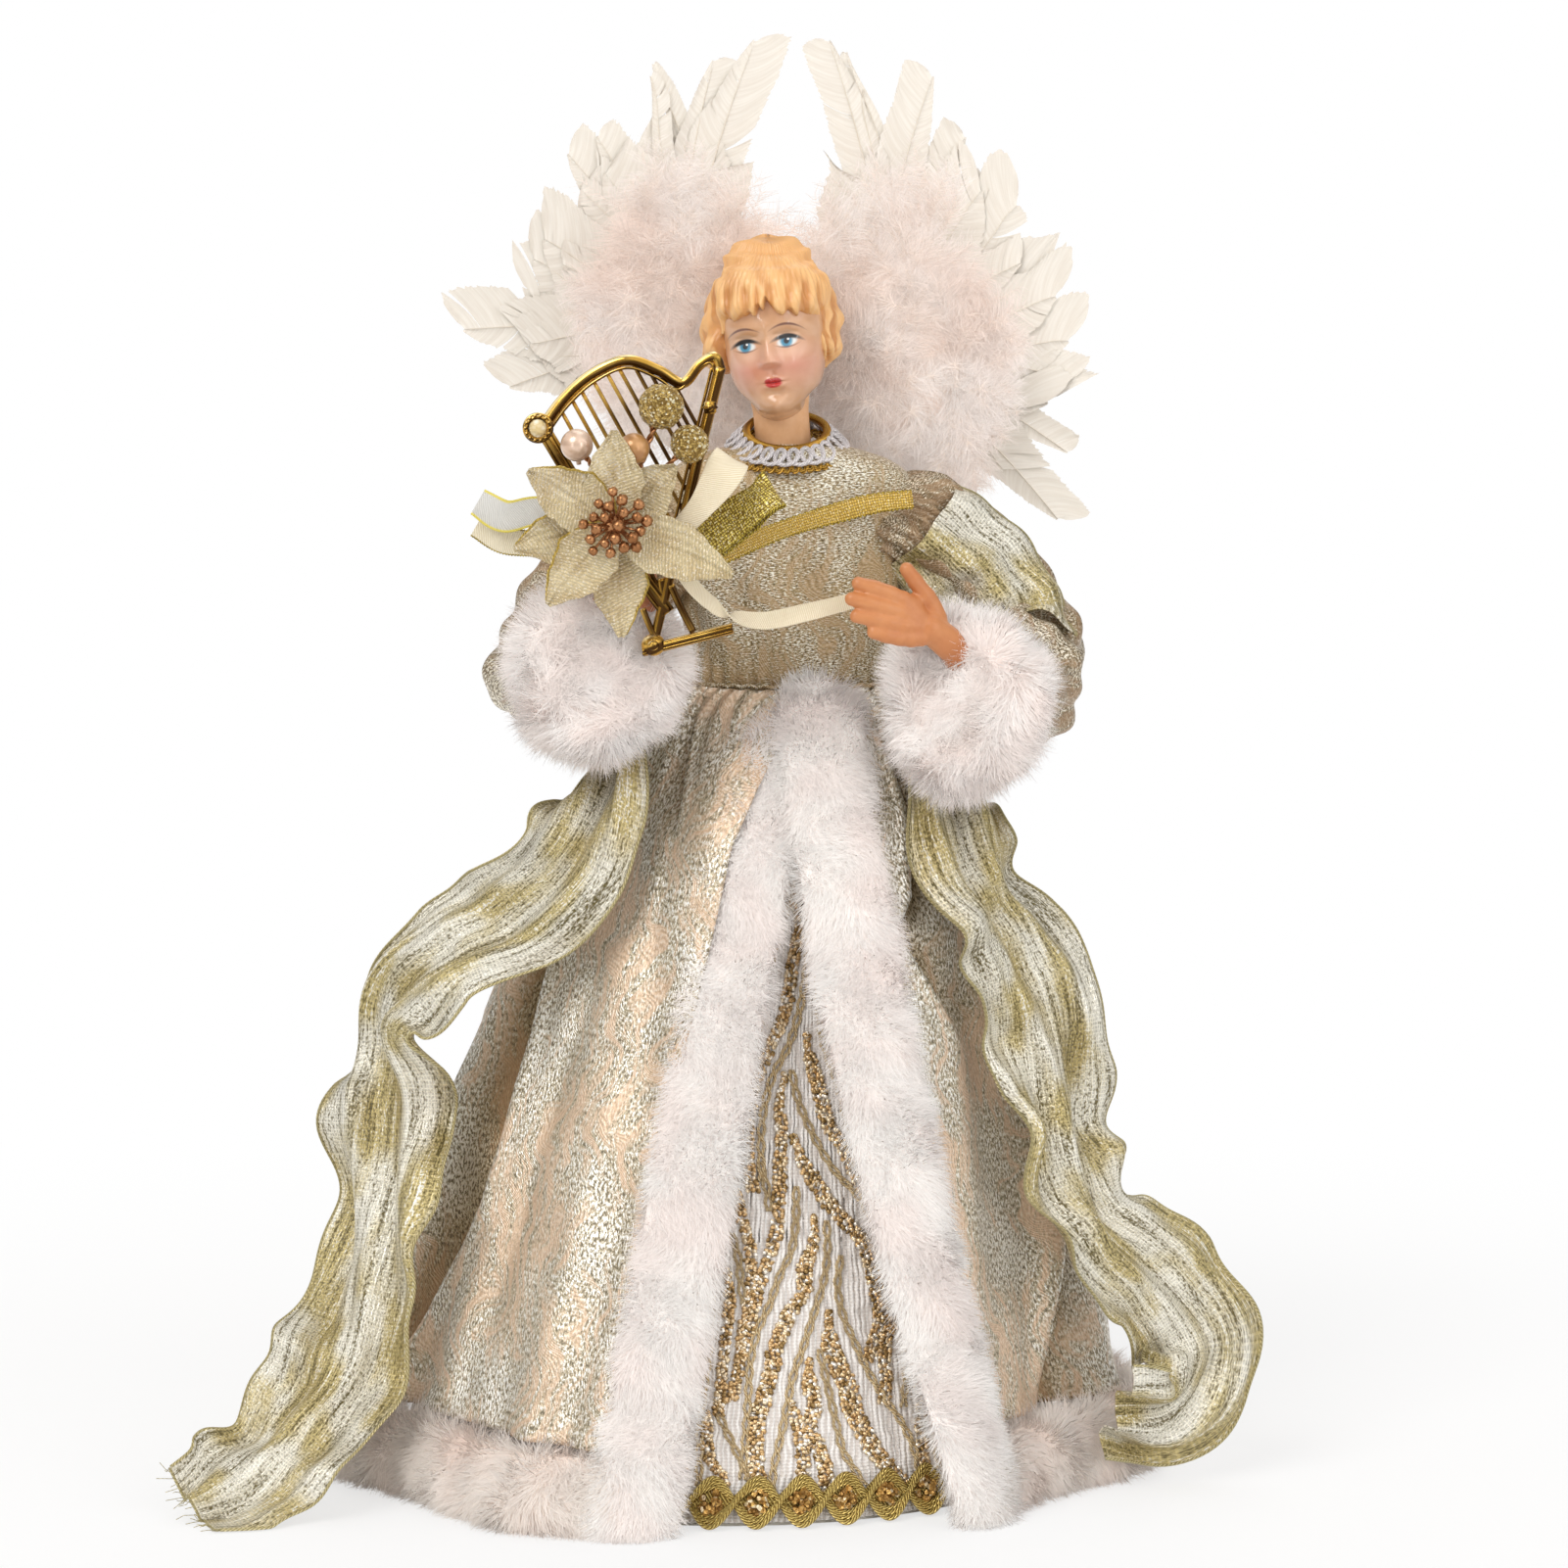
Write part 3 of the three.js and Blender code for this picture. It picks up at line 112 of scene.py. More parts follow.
def curve_at(knots, t):
    """Points on a centripetal Catmull-Rom curve through the knots, for t from 0 to 1."""
    p = np.asarray(knots, float)
    p = np.vstack([2 * p[0] - p[1], p, 2 * p[-1] - p[-2]])
    spot = np.clip(np.asarray(t, float), 0, 1) * (len(p) - 3)
    k = np.minimum(np.floor(spot).astype(int), len(p) - 4)
    w = (spot - k)[..., None]
    a, b, c, d = p[k], p[k + 1], p[k + 2], p[k + 3]
    d0, d1, d2 = [np.maximum(np.linalg.norm(n - m, axis=-1, keepdims=True) ** 0.5, 1e-4)
                  for m, n in ((a, b), (b, c), (c, d))]
    leave = ((b - a) / d0 - (c - a) / (d0 + d1) + (c - b) / d1) * d1
    arrive = ((c - b) / d1 - (d - b) / (d1 + d2) + (d - c) / d2) * d1
    bend = -3 * b + 3 * c - 2 * leave - arrive
    return b + leave * w + bend * w**2 + (2 * b - 2 * c + leave + arrive) * w**3


def even_line(knots, count):
    """The same curve as evenly spaced points."""
    line = curve_at(knots, np.linspace(0, 1, 400))
    run = run_along(line)
    at = np.linspace(0, run[-1], count)
    return np.stack([np.interp(at, run, line[:, i]) for i in range(3)], -1)


def travelling_frames(line, first):
    """Tangents and two cross directions that don't spin along a line; the first starts near a given one."""
    tangents = unit(np.gradient(line, axis=0))
    normals = np.zeros_like(line)
    n = np.asarray(first, float)
    for i, t in enumerate(tangents):
        n = n - t * np.dot(n, t)
        n = n / max(np.linalg.norm(n), 1e-9)
        normals[i] = n
    return tangents, normals, np.cross(tangents, normals)


# Meshes


def quads_between(rows, columns, wrap=False, closed=False):
    """Corners of a grid's quads; wrap joins the ends of each row, and closed the last row to the first."""
    r = np.arange(rows if closed else rows - 1)[:, None]
    c = np.arange(columns if wrap else columns - 1)[None, :]
    after, beside = (r + 1) % rows * columns, (c + 1) % columns
    return np.stack([r * columns + c, r * columns + beside, after + beside, after + c], -1).reshape(-1, 4)


class Shell:
    """Gathers grids, tubes and strands of points into one mesh."""

    def __init__(self):
        self.points, self.faces, self.uvs, self.tones, self.normals = [], [], [], [], []
        self.count = 0

    def add(self, points, faces, uv=None, tone=0.5, normals=None):
        points = np.asarray(points, float).reshape(-1, 3)
        size = len(points)
        self.points.append(points)
        for block in faces:
            self.faces.append(np.asarray(block) + self.count)
        self.uvs.append(np.zeros((size, 2)) if uv is None else np.asarray(uv, float).reshape(-1, 2))
        self.tones.append(np.broadcast_to(np.asarray(tone, float).ravel(), size).copy())
        self.normals.append(np.zeros((size, 3)) if normals is None else normals.reshape(-1, 3))
        self.count += size

    def grid(self, points, uv=None, tone=0.5, wrap=False, flip=False):
        quads = quads_between(*points.shape[:2], wrap)
        self.add(points, [quads[:, ::-1] if flip else quads], uv, tone)

    def cloth(self, points, thickness, uv, tone=0.5):
        """A sheet with a real thickness: two faces and the edge between them."""
        rows, columns = points.shape[:2]
        across = np.gradient(points, axis=1)
        along = np.gradient(points, axis=0)
        normal = unit(np.cross(across, along)) * thickness / 2
        both = np.concatenate([(points + normal).reshape(-1, 3), (points - normal).reshape(-1, 3)])
        size = rows * columns
        front = quads_between(rows, columns)
        edge = np.concatenate([
            np.arange(columns), np.arange(1, rows) * columns + columns - 1,
            (rows - 1) * columns + np.arange(columns - 2, -1, -1), np.arange(rows - 2, 0, -1) * columns,
        ])
        after = np.roll(edge, -1)
        rim = np.stack([edge, edge + size, after + size, after], -1)
        uvs = np.concatenate([np.asarray(uv).reshape(-1, 2)] * 2)
        tones = np.tile(np.broadcast_to(np.asarray(tone, float).ravel(), size), 2)
        self.add(both, [front, front[:, ::-1] + size, rim], uvs, tones)

    def tube(self, line, radius, sides, closed=False, flat=1.0, first=(0.0, -1.0, 0.2)):
        line = np.asarray(line, float)
        count = len(line)
        radius = np.broadcast_to(np.asarray(radius, float), count)
        if closed:
            tangents = unit(np.roll(line, -1, 0) - np.roll(line, 1, 0))
            normals = unit(np.cross(tangents, np.cross(np.asarray(first, float), tangents)))
            sideways = np.cross(tangents, normals)
        else:
            tangents, normals, sideways = travelling_frames(line, first)
        angle = np.arange(sides) / sides * TURN
        out = (normals[:, None] * np.cos(angle)[None, :, None] * flat
               + sideways[:, None] * np.sin(angle)[None, :, None])
        rings = line[:, None] + out * radius[:, None, None]
        uv = pair(angle[None, :] * radius.max(), run_along(line)[:, None])
        faces = [quads_between(count, sides, True, closed)]
        if not closed:
            faces += [np.arange(sides)[None, ::-1], (count - 1) * sides + np.arange(sides)[None, :]]
        self.add(rings, faces, uv)

    def ball(self, centre, radii, wide, high, bump=None):
        """A round body; bump moves its points in or out by their direction."""
        lat = np.linspace(-math.pi / 2, math.pi / 2, high + 1)[1:-1][:, None]
        lon = (np.arange(wide) / wide * TURN)[None, :]
        way = stack(np.cos(lat) * np.cos(lon), np.cos(lat) * np.sin(lon), np.sin(lat))
        poles = np.array([[0.0, 0, -1], [0, 0, 1]])
        if bump is not None:
            way = way * bump(way)[..., None]
            poles = poles * bump(poles)[..., None]
        rings = np.asarray(centre) + way * np.asarray(radii)
        base = rings.shape[0] * wide
        k = np.arange(wide)
        low = np.stack([np.full(wide, base), (k + 1) % wide, k], -1)
        top = (rings.shape[0] - 1) * wide
        high_fan = np.stack([np.full(wide, base + 1), top + k, top + (k + 1) % wide], -1)
        points = np.concatenate([rings.reshape(-1, 3), np.asarray(centre) + poles * np.asarray(radii)])
        self.add(points, [quads_between(len(rings), wide, True), low, high_fan])

    def strands(self, paths, widths, facing, tone):
        """Flat tapered hairs: paths is (hairs, knots, 3), and facing is where each hair's flat side looks."""
        count, knots = paths.shape[:2]
        tangents = unit(np.gradient(paths, axis=1))
        side = unit(np.cross(tangents, facing[:, None, :])) * np.asarray(widths)[..., None] / 2
        points = np.stack([paths - side, paths + side], 2)
        base = np.arange(count)[:, None] * knots * 2
        k = np.arange(knots - 1)[None, :] * 2
        quads = np.stack([base + k, base + k + 1, base + k + 3, base + k + 2], -1).reshape(-1, 4)
        normals = np.broadcast_to(facing[:, None, None, :], points.shape)
        share = np.broadcast_to(np.linspace(0, 1, knots)[None, :, None], (count, knots, 2))
        tones = np.broadcast_to(tone[:, None, None], (count, knots, 2))
        self.add(points, [quads], np.stack([share, tones], -1), tones, normals.astype(float))

    def build(self, name, material, body, slot, replaces=(), soft_normals=False):
        mesh = bpy.data.meshes.new(name)
        points = np.concatenate(self.points) * MM
        loops = np.concatenate([block.ravel() for block in self.faces]).astype(np.int32)
        sizes = np.concatenate([np.full(len(block), block.shape[1]) for block in self.faces])
        starts = np.concatenate([[0], np.cumsum(sizes)[:-1]]).astype(np.int32)
        mesh.vertices.add(len(points))
        mesh.vertices.foreach_set("co", points.astype(np.float32).ravel())
        mesh.loops.add(len(loops))
        mesh.loops.foreach_set("vertex_index", loops)
        mesh.polygons.add(len(starts))
        mesh.polygons.foreach_set("loop_start", starts)
        mesh.update(calc_edges=True)
        mesh.polygons.foreach_set("use_smooth", np.ones(len(starts), bool))
        uv_layer = mesh.uv_layers.new(name="UVMap")
        uv_layer.data.foreach_set("uv", np.concatenate(self.uvs)[loops].astype(np.float32).ravel())
        tone = mesh.attributes.new("tone", "FLOAT", "POINT")
        tone.data.foreach_set("value", np.concatenate(self.tones).astype(np.float32))
        if soft_normals:
            mesh.normals_split_custom_set_from_vertices(np.concatenate(self.normals))
        mesh.materials.append(material)
        piece = bpy.data.objects.new(name, mesh)
        bpy.context.scene.collection.objects.link(piece)
        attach(piece, body)
        if replaces:
            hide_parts(*replaces)
        return piece


def paint_node(name, material):
    """A CAD solid that stays in view gets its finish."""
    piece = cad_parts[name]
    piece.data.materials.clear()
    piece.data.materials.append(material)


def cloth_area(points):
    """In square metres."""
    a = points[1:, :-1] - points[:-1, :-1]
    b = points[:-1, 1:] - points[:-1, :-1]
    return float(np.linalg.norm(np.cross(a, b), axis=-1).sum()) * MM * MM


# Shaders


def srgb(code):
    parts = [int(code[i : i + 2], 16) / 255 for i in (1, 3, 5)]
    return tuple(p / 12.92 if p <= 0.04045 else ((p + 0.055) / 1.055) ** 2.4 for p in parts) + (1.0,)


class Wiring:
    """Short forms for wiring a node tree."""

    def __init__(self, tree):
        self.tree = tree

    def node(self, kind, inputs=None, **settings):
        node = self.tree.nodes.new("ShaderNode" + kind)
        for key, value in settings.items():
            setattr(node, key, value)
        for key, value in (inputs or {}).items():
            self.feed(value, node.inputs[key])
        return node

    def feed(self, value, socket):
        """Links an output to the socket, or sets the socket to a value or to the colour of a code."""
        if isinstance(value, bpy.types.NodeSocket):
            self.tree.links.new(value, socket)
        else:
            socket.default_value = srgb(value) if isinstance(value, str) else value

    def math(self, operation, a, b=0.0, c=0.0, clamp=False):
        node = self.node("Math", {0: a, 1: b, 2: c}, operation=operation, use_clamp=clamp)
        return node.outputs[0]

    def times(self, a, b):
        return self.math("MULTIPLY", a, b)

    def plus(self, a, b, clamp=False):
        return self.math("ADD", a, b, clamp=clamp)

    def stretched(self, value, factor, shift, clamp=False):
        return self.math("MULTIPLY_ADD", value, factor, shift, clamp)

    def less(self, a, b):
        return self.math("SUBTRACT", a, b)

    def most(self, a, b):
        return self.math("MAXIMUM", a, b)

    def sine(self, a):
        return self.math("SINE", a)

    def vector(self, operation, a, b):
        return self.node("VectorMath", {0: a, 1: b}, operation=operation).outputs[0]

    def mix(self, share, a, b):
        node = self.node("Mix", {0: share, 6: a, 7: b}, data_type="RGBA")
        return node.outputs[2]

    def blend(self, share, a, b):
        node = self.node("Mix", {0: share, 2: a, 3: b}, data_type="FLOAT")
        return node.outputs[0]

    def ramp(self, value, low, high, to_low=0.0, to_high=1.0):
        inputs = {"Value": value, "From Min": low, "From Max": high, "To Min": to_low, "To Max": to_high}
        return self.node("MapRange", inputs, interpolation_type="SMOOTHSTEP").outputs[0]

    def noise(self, vector, scale, detail=2.0, roughness=0.5):
        inputs = {"Vector": vector, "Scale": scale, "Detail": detail, "Roughness": roughness}
        return self.node("TexNoise", inputs).outputs["Fac"]

    def split(self, vector):
        return self.node("SeparateXYZ", {0: vector}).outputs

    def joined(self, x, y, z=0.0):
        return self.node("CombineXYZ", {0: x, 1: y, 2: z}).outputs[0]

    def scaled(self, vector, x, y, z=1.0):
        return self.vector("MULTIPLY", vector, (x, y, z))


def shader_group(name, inputs, outputs, wire_up):
    """A shared effect: a node group with named sockets, built once.

    An input starts at a number or at a colour's code; a place starts at None."""
    tree = bpy.data.node_groups.new(name, "ShaderNodeTree")
    for label, start in {"Place": None, **inputs}.items():
        kind = "Vector" if start is None else "Color" if isinstance(start, str) else "Float"
        socket = tree.interface.new_socket(label, in_out="INPUT", socket_type="NodeSocket" + kind)
        if start is not None:
            socket.default_value = srgb(start) if kind == "Color" else start
    for label in outputs:
        kind = "Color" if label == "Color" else "Float"
        tree.interface.new_socket(label, in_out="OUTPUT", socket_type="NodeSocket" + kind)
    w = Wiring(tree)
    into = tree.nodes.new("NodeGroupInput").outputs
    out = tree.nodes.new("NodeGroupOutput").inputs
    for label, value in wire_up(w, into).items():
        w.feed(value, out[label])
    return tree


def brocade_effect(w, into):
    """Fine twill with silver and dark grains in curved streaks, in patches from thick to thin; the grains are
    metal thread, and their spread from dark to white is partly painted glints.
    """
    at = into["Place"]
    warp = w.noise(at, 0.05, 2.0)
    bent = w.vector("ADD", at, w.scaled(w.joined(warp, warp), 26, 12))
    x, y, _ = w.split(bent)
    slant = w.plus(w.times(x, 0.9), w.times(y, 0.55))
    twill = w.sine(w.times(w.times(slant, into["Threads per mm"]), TURN))
    twill = w.stretched(twill, 0.5, 0.5)
    clouds = w.noise(w.scaled(bent, 0.05, 0.025), 1.0, 2.0, 0.55)
    streaks = w.noise(w.scaled(bent, 0.5, 0.07), 1.0, 3.0, 0.65)
    rich = w.ramp(w.plus(w.times(streaks, 0.6), w.times(clouds, 0.5)), 0.475, 0.585)
    grain = w.vector("MULTIPLY", at, w.joined(into["Grains across"], into["Grains up"], 1.0))
    level = w.noise(grain, 1.0, 2.0, 0.7)
    bright = w.ramp(w.stretched(w.less(clouds, 0.5), 0.25, level), 0.51, 0.58)
    dark = w.ramp(level, 0.47, 0.4)
    matt = w.mix(twill, into["Shade"], into["Ground"])
    colour = w.mix(w.times(rich, 0.9), matt, into["Base"])
    much = w.stretched(rich, 0.72, 0.28)
    # Dark and white grains: the metal thread's own colour, with painted glints and painted dark reflections
    colour = w.mix(w.times(dark, w.times(much, 0.8)), colour, into["Dark"])
    colour = w.mix(w.times(bright, much), colour, into["Metal"])
    return {
        "Color": colour,
        "Metal": w.stretched(w.times(bright, rich), 0.35, 0.35, clamp=True),
        "Height": w.plus(w.times(twill, 0.3), w.times(level, 1.4)),
    }


def crinkle_effect(w, into):
    """Fine creases along a sheer metallic cloth, with painted shade in the creases and painted highlights on
    their ridges, and its open weave.
    """
    at = into["Place"]
    drawn = w.noise(w.scaled(at, 1.0, 0.06), into["Creases per mm"], 3.0, 0.65)
    grain = w.noise(w.scaled(at, 1.0, 0.5), 2.4, 1.5, 0.7)
    level = w.plus(w.times(drawn, 0.55), w.times(grain, 0.5))
    # Painted shade where the crease level is low, painted highlights where it is high
    glint = w.ramp(level, 0.4, 0.55)
    spark = w.ramp(level, 0.56, 0.65)
    weave = w.sine(w.times(w.split(at)[0], 9.0))
    weft = w.sine(w.times(w.split(at)[1], 9.0))
    mesh = w.ramp(w.most(weave, weft), 0.1, 0.6)
    cloud = w.ramp(w.noise(w.scaled(at, 1.0, 0.5), 0.09, 2.0), 0.4, 0.58)
    tint = w.mix(cloud, into["Gold"], into["Silver"])
    colour = w.mix(glint, into["Dark"], tint)
    return {
        "Color": w.mix(spark, colour, into["Spark"]),
        "Cover": w.blend(mesh, into["Sheer"], 1.0),
        "Height": w.plus(level, w.times(mesh, 0.12)),
    }


def glitter_effect(w, into):
    """Flakes that catch the light each their own way: a bump tilts each flake, and its colour holds painted
    shade and painted glints.
    """
    cells = w.node("TexVoronoi", {"Vector": into["Place"], "Scale": into["Flakes"], "Randomness": 1.0})
    pick = w.node("SeparateColor", {0: cells.outputs["Color"]}).outputs
    shine = w.ramp(pick[0], 0.15, 0.95)
    colour = w.mix(shine, into["Dark"], into["Base"])
    return {
        "Color": w.mix(w.ramp(pick[1], 0.8, 0.95), colour, into["Light"]),
        "Tilt": w.plus(w.times(pick[2], 0.8), w.times(cells.outputs["Distance"], 1.2)),
    }


def fibre_effect(w, into):
    """Hairs that differ a little from each other and from root to tip."""
    place = w.split(into["Root to tip"])
    along = w.ramp(place[0], 0.0, 0.55)
    colour = w.mix(along, into["Root"], into["Tip"])
    patch = w.ramp(w.noise(into["Place"], into["Patches"], 2.0), 0.35, 0.68)
    colour = w.mix(w.times(patch, 0.8), colour, into["Tint"])
    light = w.stretched(place[1], 0.22, 0.89)
    return {"Color": w.vector("MULTIPLY", colour, w.joined(light, light, light))}


def spot_effect(w, into):
    """A painted oval with a soft edge, bowed up or down like a brow or a lid."""
    x, y, _ = w.split(into["Place"])
    dx = w.less(x, into["X"])
    dy = w.less(y, into["Y"])
    cos, sin = w.math("COSINE", into["Tilt"]), w.sine(into["Tilt"])
    u = w.plus(w.times(dx, cos), w.times(dy, sin))
    v = w.less(w.times(dy, cos), w.times(dx, sin))
    u = w.math("DIVIDE", u, into["Half width"])
    lift = w.times(w.times(u, u), into["Bow"])
    v = w.math("DIVIDE", w.plus(v, lift), into["Half height"])
    reach = w.math("SQRT", w.plus(w.times(u, u), w.times(v, v)))
    soft = into["Softness"]
    edge = w.math("DIVIDE", w.less(1.0, reach), soft)
    return {"Mask": w.times(w.plus(w.times(edge, 0.5), 0.5, clamp=True), into["Strength"])}


def worn_effect(w, into):
    """Faint mottling for plain card, foam and moulded pieces."""
    cloud = w.noise(into["Place"], into["Scale"], 4.0, 0.6)
    speck = w.noise(into["Place"], w.times(into["Scale"], 9.0), 2.0)
    return {
        "Color": w.mix(w.ramp(cloud, 0.3, 0.7), into["Base"], into["Worn"]),
        "Roughness": w.ramp(speck, 0.3, 0.7, 0.45, 0.75),
        "Height": w.plus(w.times(cloud, 0.5), w.times(speck, 0.3)),
    }


GROUPS = {}


def make_groups():
    GROUPS["brocade"] = shader_group(
        "brocade threads",
        {"Threads per mm": 1.0, "Grains across": 2.4, "Grains up": 1.1, "Ground": "#e8c9a8",
         "Shade": "#b99a74", "Base": "#cdbb9b", "Metal": "#efe6d2", "Dark": "#6b604e"},
        ("Color", "Metal", "Height"), brocade_effect)
    GROUPS["crinkle"] = shader_group(
        "crinkled sheer cloth",
        {"Creases per mm": 0.6, "Sheer": 0.6, "Gold": "#cfc184", "Silver": "#dedac6", "Dark": "#6f6640",
         "Spark": "#fffbee"},
        ("Color", "Cover", "Height"), crinkle_effect)
    GROUPS["glitter"] = shader_group(
        "glitter flakes", {"Flakes": 1000.0, "Base": "#b79a50", "Dark": "#5c4516", "Light": "#fff0c4"},
        ("Color", "Tilt"), glitter_effect)
    GROUPS["fibre"] = shader_group(
        "fibre tones",
        {"Root to tip": None, "Patches": 60.0, "Root": "#e9dfd8", "Tip": "#f8f3ef", "Tint": "#f3e6dd"},
        ("Color",), fibre_effect)
    GROUPS["spot"] = shader_group(
        "painted spot",
        {"X": 0.0, "Y": 0.0, "Half width": 1.0, "Half height": 1.0, "Tilt": 0.0, "Bow": 0.0, "Softness": 0.1,
         "Strength": 1.0},
        ("Mask",), spot_effect)
    GROUPS["worn"] = shader_group(
        "plain worn surface", {"Scale": 80.0, "Base": "#e9e6df", "Worn": "#dcd7cc"},
        ("Color", "Roughness", "Height"), worn_effect)


class Finish(Wiring):
    """The wiring of a new material, round its Principled shader."""

    def __init__(self, name, roughness=0.5, metallic=0.0, **plain):
        self.material = bpy.data.materials.new(name)
        self.material.use_nodes = True
        super().__init__(self.material.node_tree)
        self.shader = self.tree.nodes["Principled BSDF"]
        self.shade(Roughness=roughness, Metallic=metallic, **plain)
        where = self.node("TexCoord").outputs
        self.uv, self.object = where["UV"], where["Object"]

    def shade(self, **values):
        """Feeds sockets of the shader by their names."""
        for label, value in values.items():
            self.feed(value, self.shader.inputs[label.replace("_", " ")])

    def effect(self, name, **values):
        node = self.tree.nodes.new("ShaderNodeGroup")
        node.node_tree = GROUPS[name]
        for label, value in values.items():
            self.feed(value, node.inputs[label.replace("_", " ")])
        return node.outputs

    def bump(self, height, strength, distance):
        node = self.node("Bump", {"Height": height, "Strength": strength, "Distance": distance})
        self.shade(Normal=node.outputs[0])


def brocade_material(name, ground, shade, base, metal, dark, threads=1.5, across=2.4, up=1.0, deep=0.0):
    """Brocade; deep is how much painted shade darkens its sunk folds and turns them golden."""
    w = Finish(name, roughness=0.36)
    effect = w.effect("brocade", Place=w.uv, Threads_per_mm=threads, Grains_across=across, Grains_up=up,
                         Ground=ground, Shade=shade, Base=base, Metal=metal, Dark=dark)
    colour = effect["Color"]
    if deep:
        # Painted shade: the sunk folds are darkened and made more golden
        sunk = w.less(1.0, w.node("Attribute", attribute_name="tone").outputs["Fac"])
        fold_shade_colour = w.vector("MULTIPLY", colour, (0.46, 0.36, 0.22))
        colour = w.mix(w.times(sunk, deep), colour, fold_shade_colour)
    w.shade(Base_Color=colour)
    w.shade(Metallic=effect["Metal"])
    w.bump(effect["Height"], 0.5, 0.0004)
    return w.material


def sheer_material(name, sheer, gold, silver, dark):
    w = Finish(name, roughness=0.3, metallic=0.55)
    effect = w.effect("crinkle", Place=w.uv, Creases_per_mm=0.75, Sheer=sheer, Gold=gold,
                         Silver=silver, Dark=dark)
    w.shade(Base_Color=effect["Color"])
    w.shade(Alpha=effect["Cover"])
    w.bump(effect["Height"], 0.8, 0.0012)
    return w.material


def glitter_material(name, flakes, base, dark, light, metallic=0.85, roughness=0.3):
    w = Finish(name, roughness=roughness, metallic=metallic)
    effect = w.effect("glitter", Place=w.object, Flakes=flakes, Base=base, Dark=dark,
                         Light=light)
    w.shade(Base_Color=effect["Color"])
    w.bump(effect["Tilt"], 0.9, 0.0005)
    return w.material


def fibre_material(name, root, tip, tint, patches=60.0, sheen=0.2):
    w = Finish(name, roughness=0.85, Sheen_Weight=sheen, Specular_IOR_Level=0.2,
                                         Emission_Strength=0.12)
    effect = w.effect("fibre", Place=w.object, Root_to_tip=w.uv, Patches=patches, Root=root,
                         Tip=tip, Tint=tint)
    w.shade(Base_Color=effect["Color"])
    # Painted glow: a hair seen from its back face glows faintly in its own colour, standing in for light
    # passed on from its lit side
    back_face_glow = w.node("NewGeometry").outputs["Backfacing"]
    w.shade(Emission_Color=w.mix(back_face_glow, "#000000", effect["Color"]))
    # Pale hairs let light through to the ones behind
    w.shade(Alpha=w.stretched(w.node("LightPath").outputs["Is Shadow Ray"], -0.8, 1.0))
    return w.material


def plain_material(name, base, worn, scale=80.0, metallic=0.0, height=0.0002, gloss=None):
    w = Finish(name, metallic=metallic, roughness=gloss or 0.5)
    effect = w.effect("worn", Place=w.object, Scale=scale, Base=base, Worn=worn)
    w.shade(Base_Color=effect["Color"])
    if gloss is None:
        w.shade(Roughness=effect["Roughness"])
    w.bump(effect["Height"], 0.4, height)
    return w.material


# The dress form: an oval bell that leans a little to the figure's left

WAIST_X, WAIST_Z = 13.5, 165.0
COAT_HEM_Z, COAT_TOP_Z = 16.9, 165.7
SIDE_SEAM = 100.0


def lean(z):
    return WAIST_X * np.asarray(z, float) / WAIST_Z


def drop_at(z):
    return np.clip(1 - np.asarray(z, float) / WAIST_Z, 0, None)


def dress_radii(z):
    drop = drop_at(z)
    return 22 + 62 * drop**0.62, 14 + 66 * drop**0.75


def on_dress(degrees, z, out=0.0):
    angle = np.radians(degrees)
    wide, deep = dress_radii(z)
    fold = out - 4 * drop_at(z) ** 0.7 * np.cos(7 * angle)
    return stack(lean(z) + (wide + fold) * np.sin(angle), -(deep + fold) * np.cos(angle), z)


def trim_angle(side, z):
    z = np.asarray(z, float)
    x = 19 + 33 * np.clip(1 - z / 169, 0, None) ** 1.6 if side > 0 else 13 - 31 * (1 - z / 169)
    return np.degrees(np.arcsin(np.clip((x - lean(z)) / (dress_radii(z)[0] + 5), -1, 1)))


def ripple(points, size, seed, terms=5):
    """A smooth wandering vector for each point, from a few sine waves."""
    rng = np.random.default_rng(seed)
    total = np.zeros(points.shape)
    for _ in range(terms):
        way = rng.normal(size=(3, 3)) / size
        total += np.sin(points @ way + rng.random(3) * TURN)
    return total / math.sqrt(terms)


# Sharp folds of the coat, as in the solids: heights and degrees down each, depth, width, and the sunk side
CREASES = [
    ([(136, -31), (144, -32), (156, -38), (165, -48)], 3.0, 12, -1),
    ([(-14, -74), (26, -67), (45, -61.5), (59, -57.5), (93, -59), (112, -61), (128, -58)], 5.5, 16, -1),
    ([(-14, -85), (96, -80)], 3.0, 13, -1),
    ([(92, 47), (103, 40), (117, 30), (124, 36), (142, 39.5), (160, 36)], 4.8, 17, 1),
    ([(-14, 48), (33, 62), (56, 68), (74, 72)], 4.0, 16, 1),
    ([(-14, 132), (146, 127)], 4.0, 15, 1),
    ([(-14, 165), (152, 163)], 3.6, 14, -1),
    ([(-14, 202), (146, 207)], 4.0, 15, 1),
    ([(-14, 236), (152, 234)], 3.8, 15, -1),
]


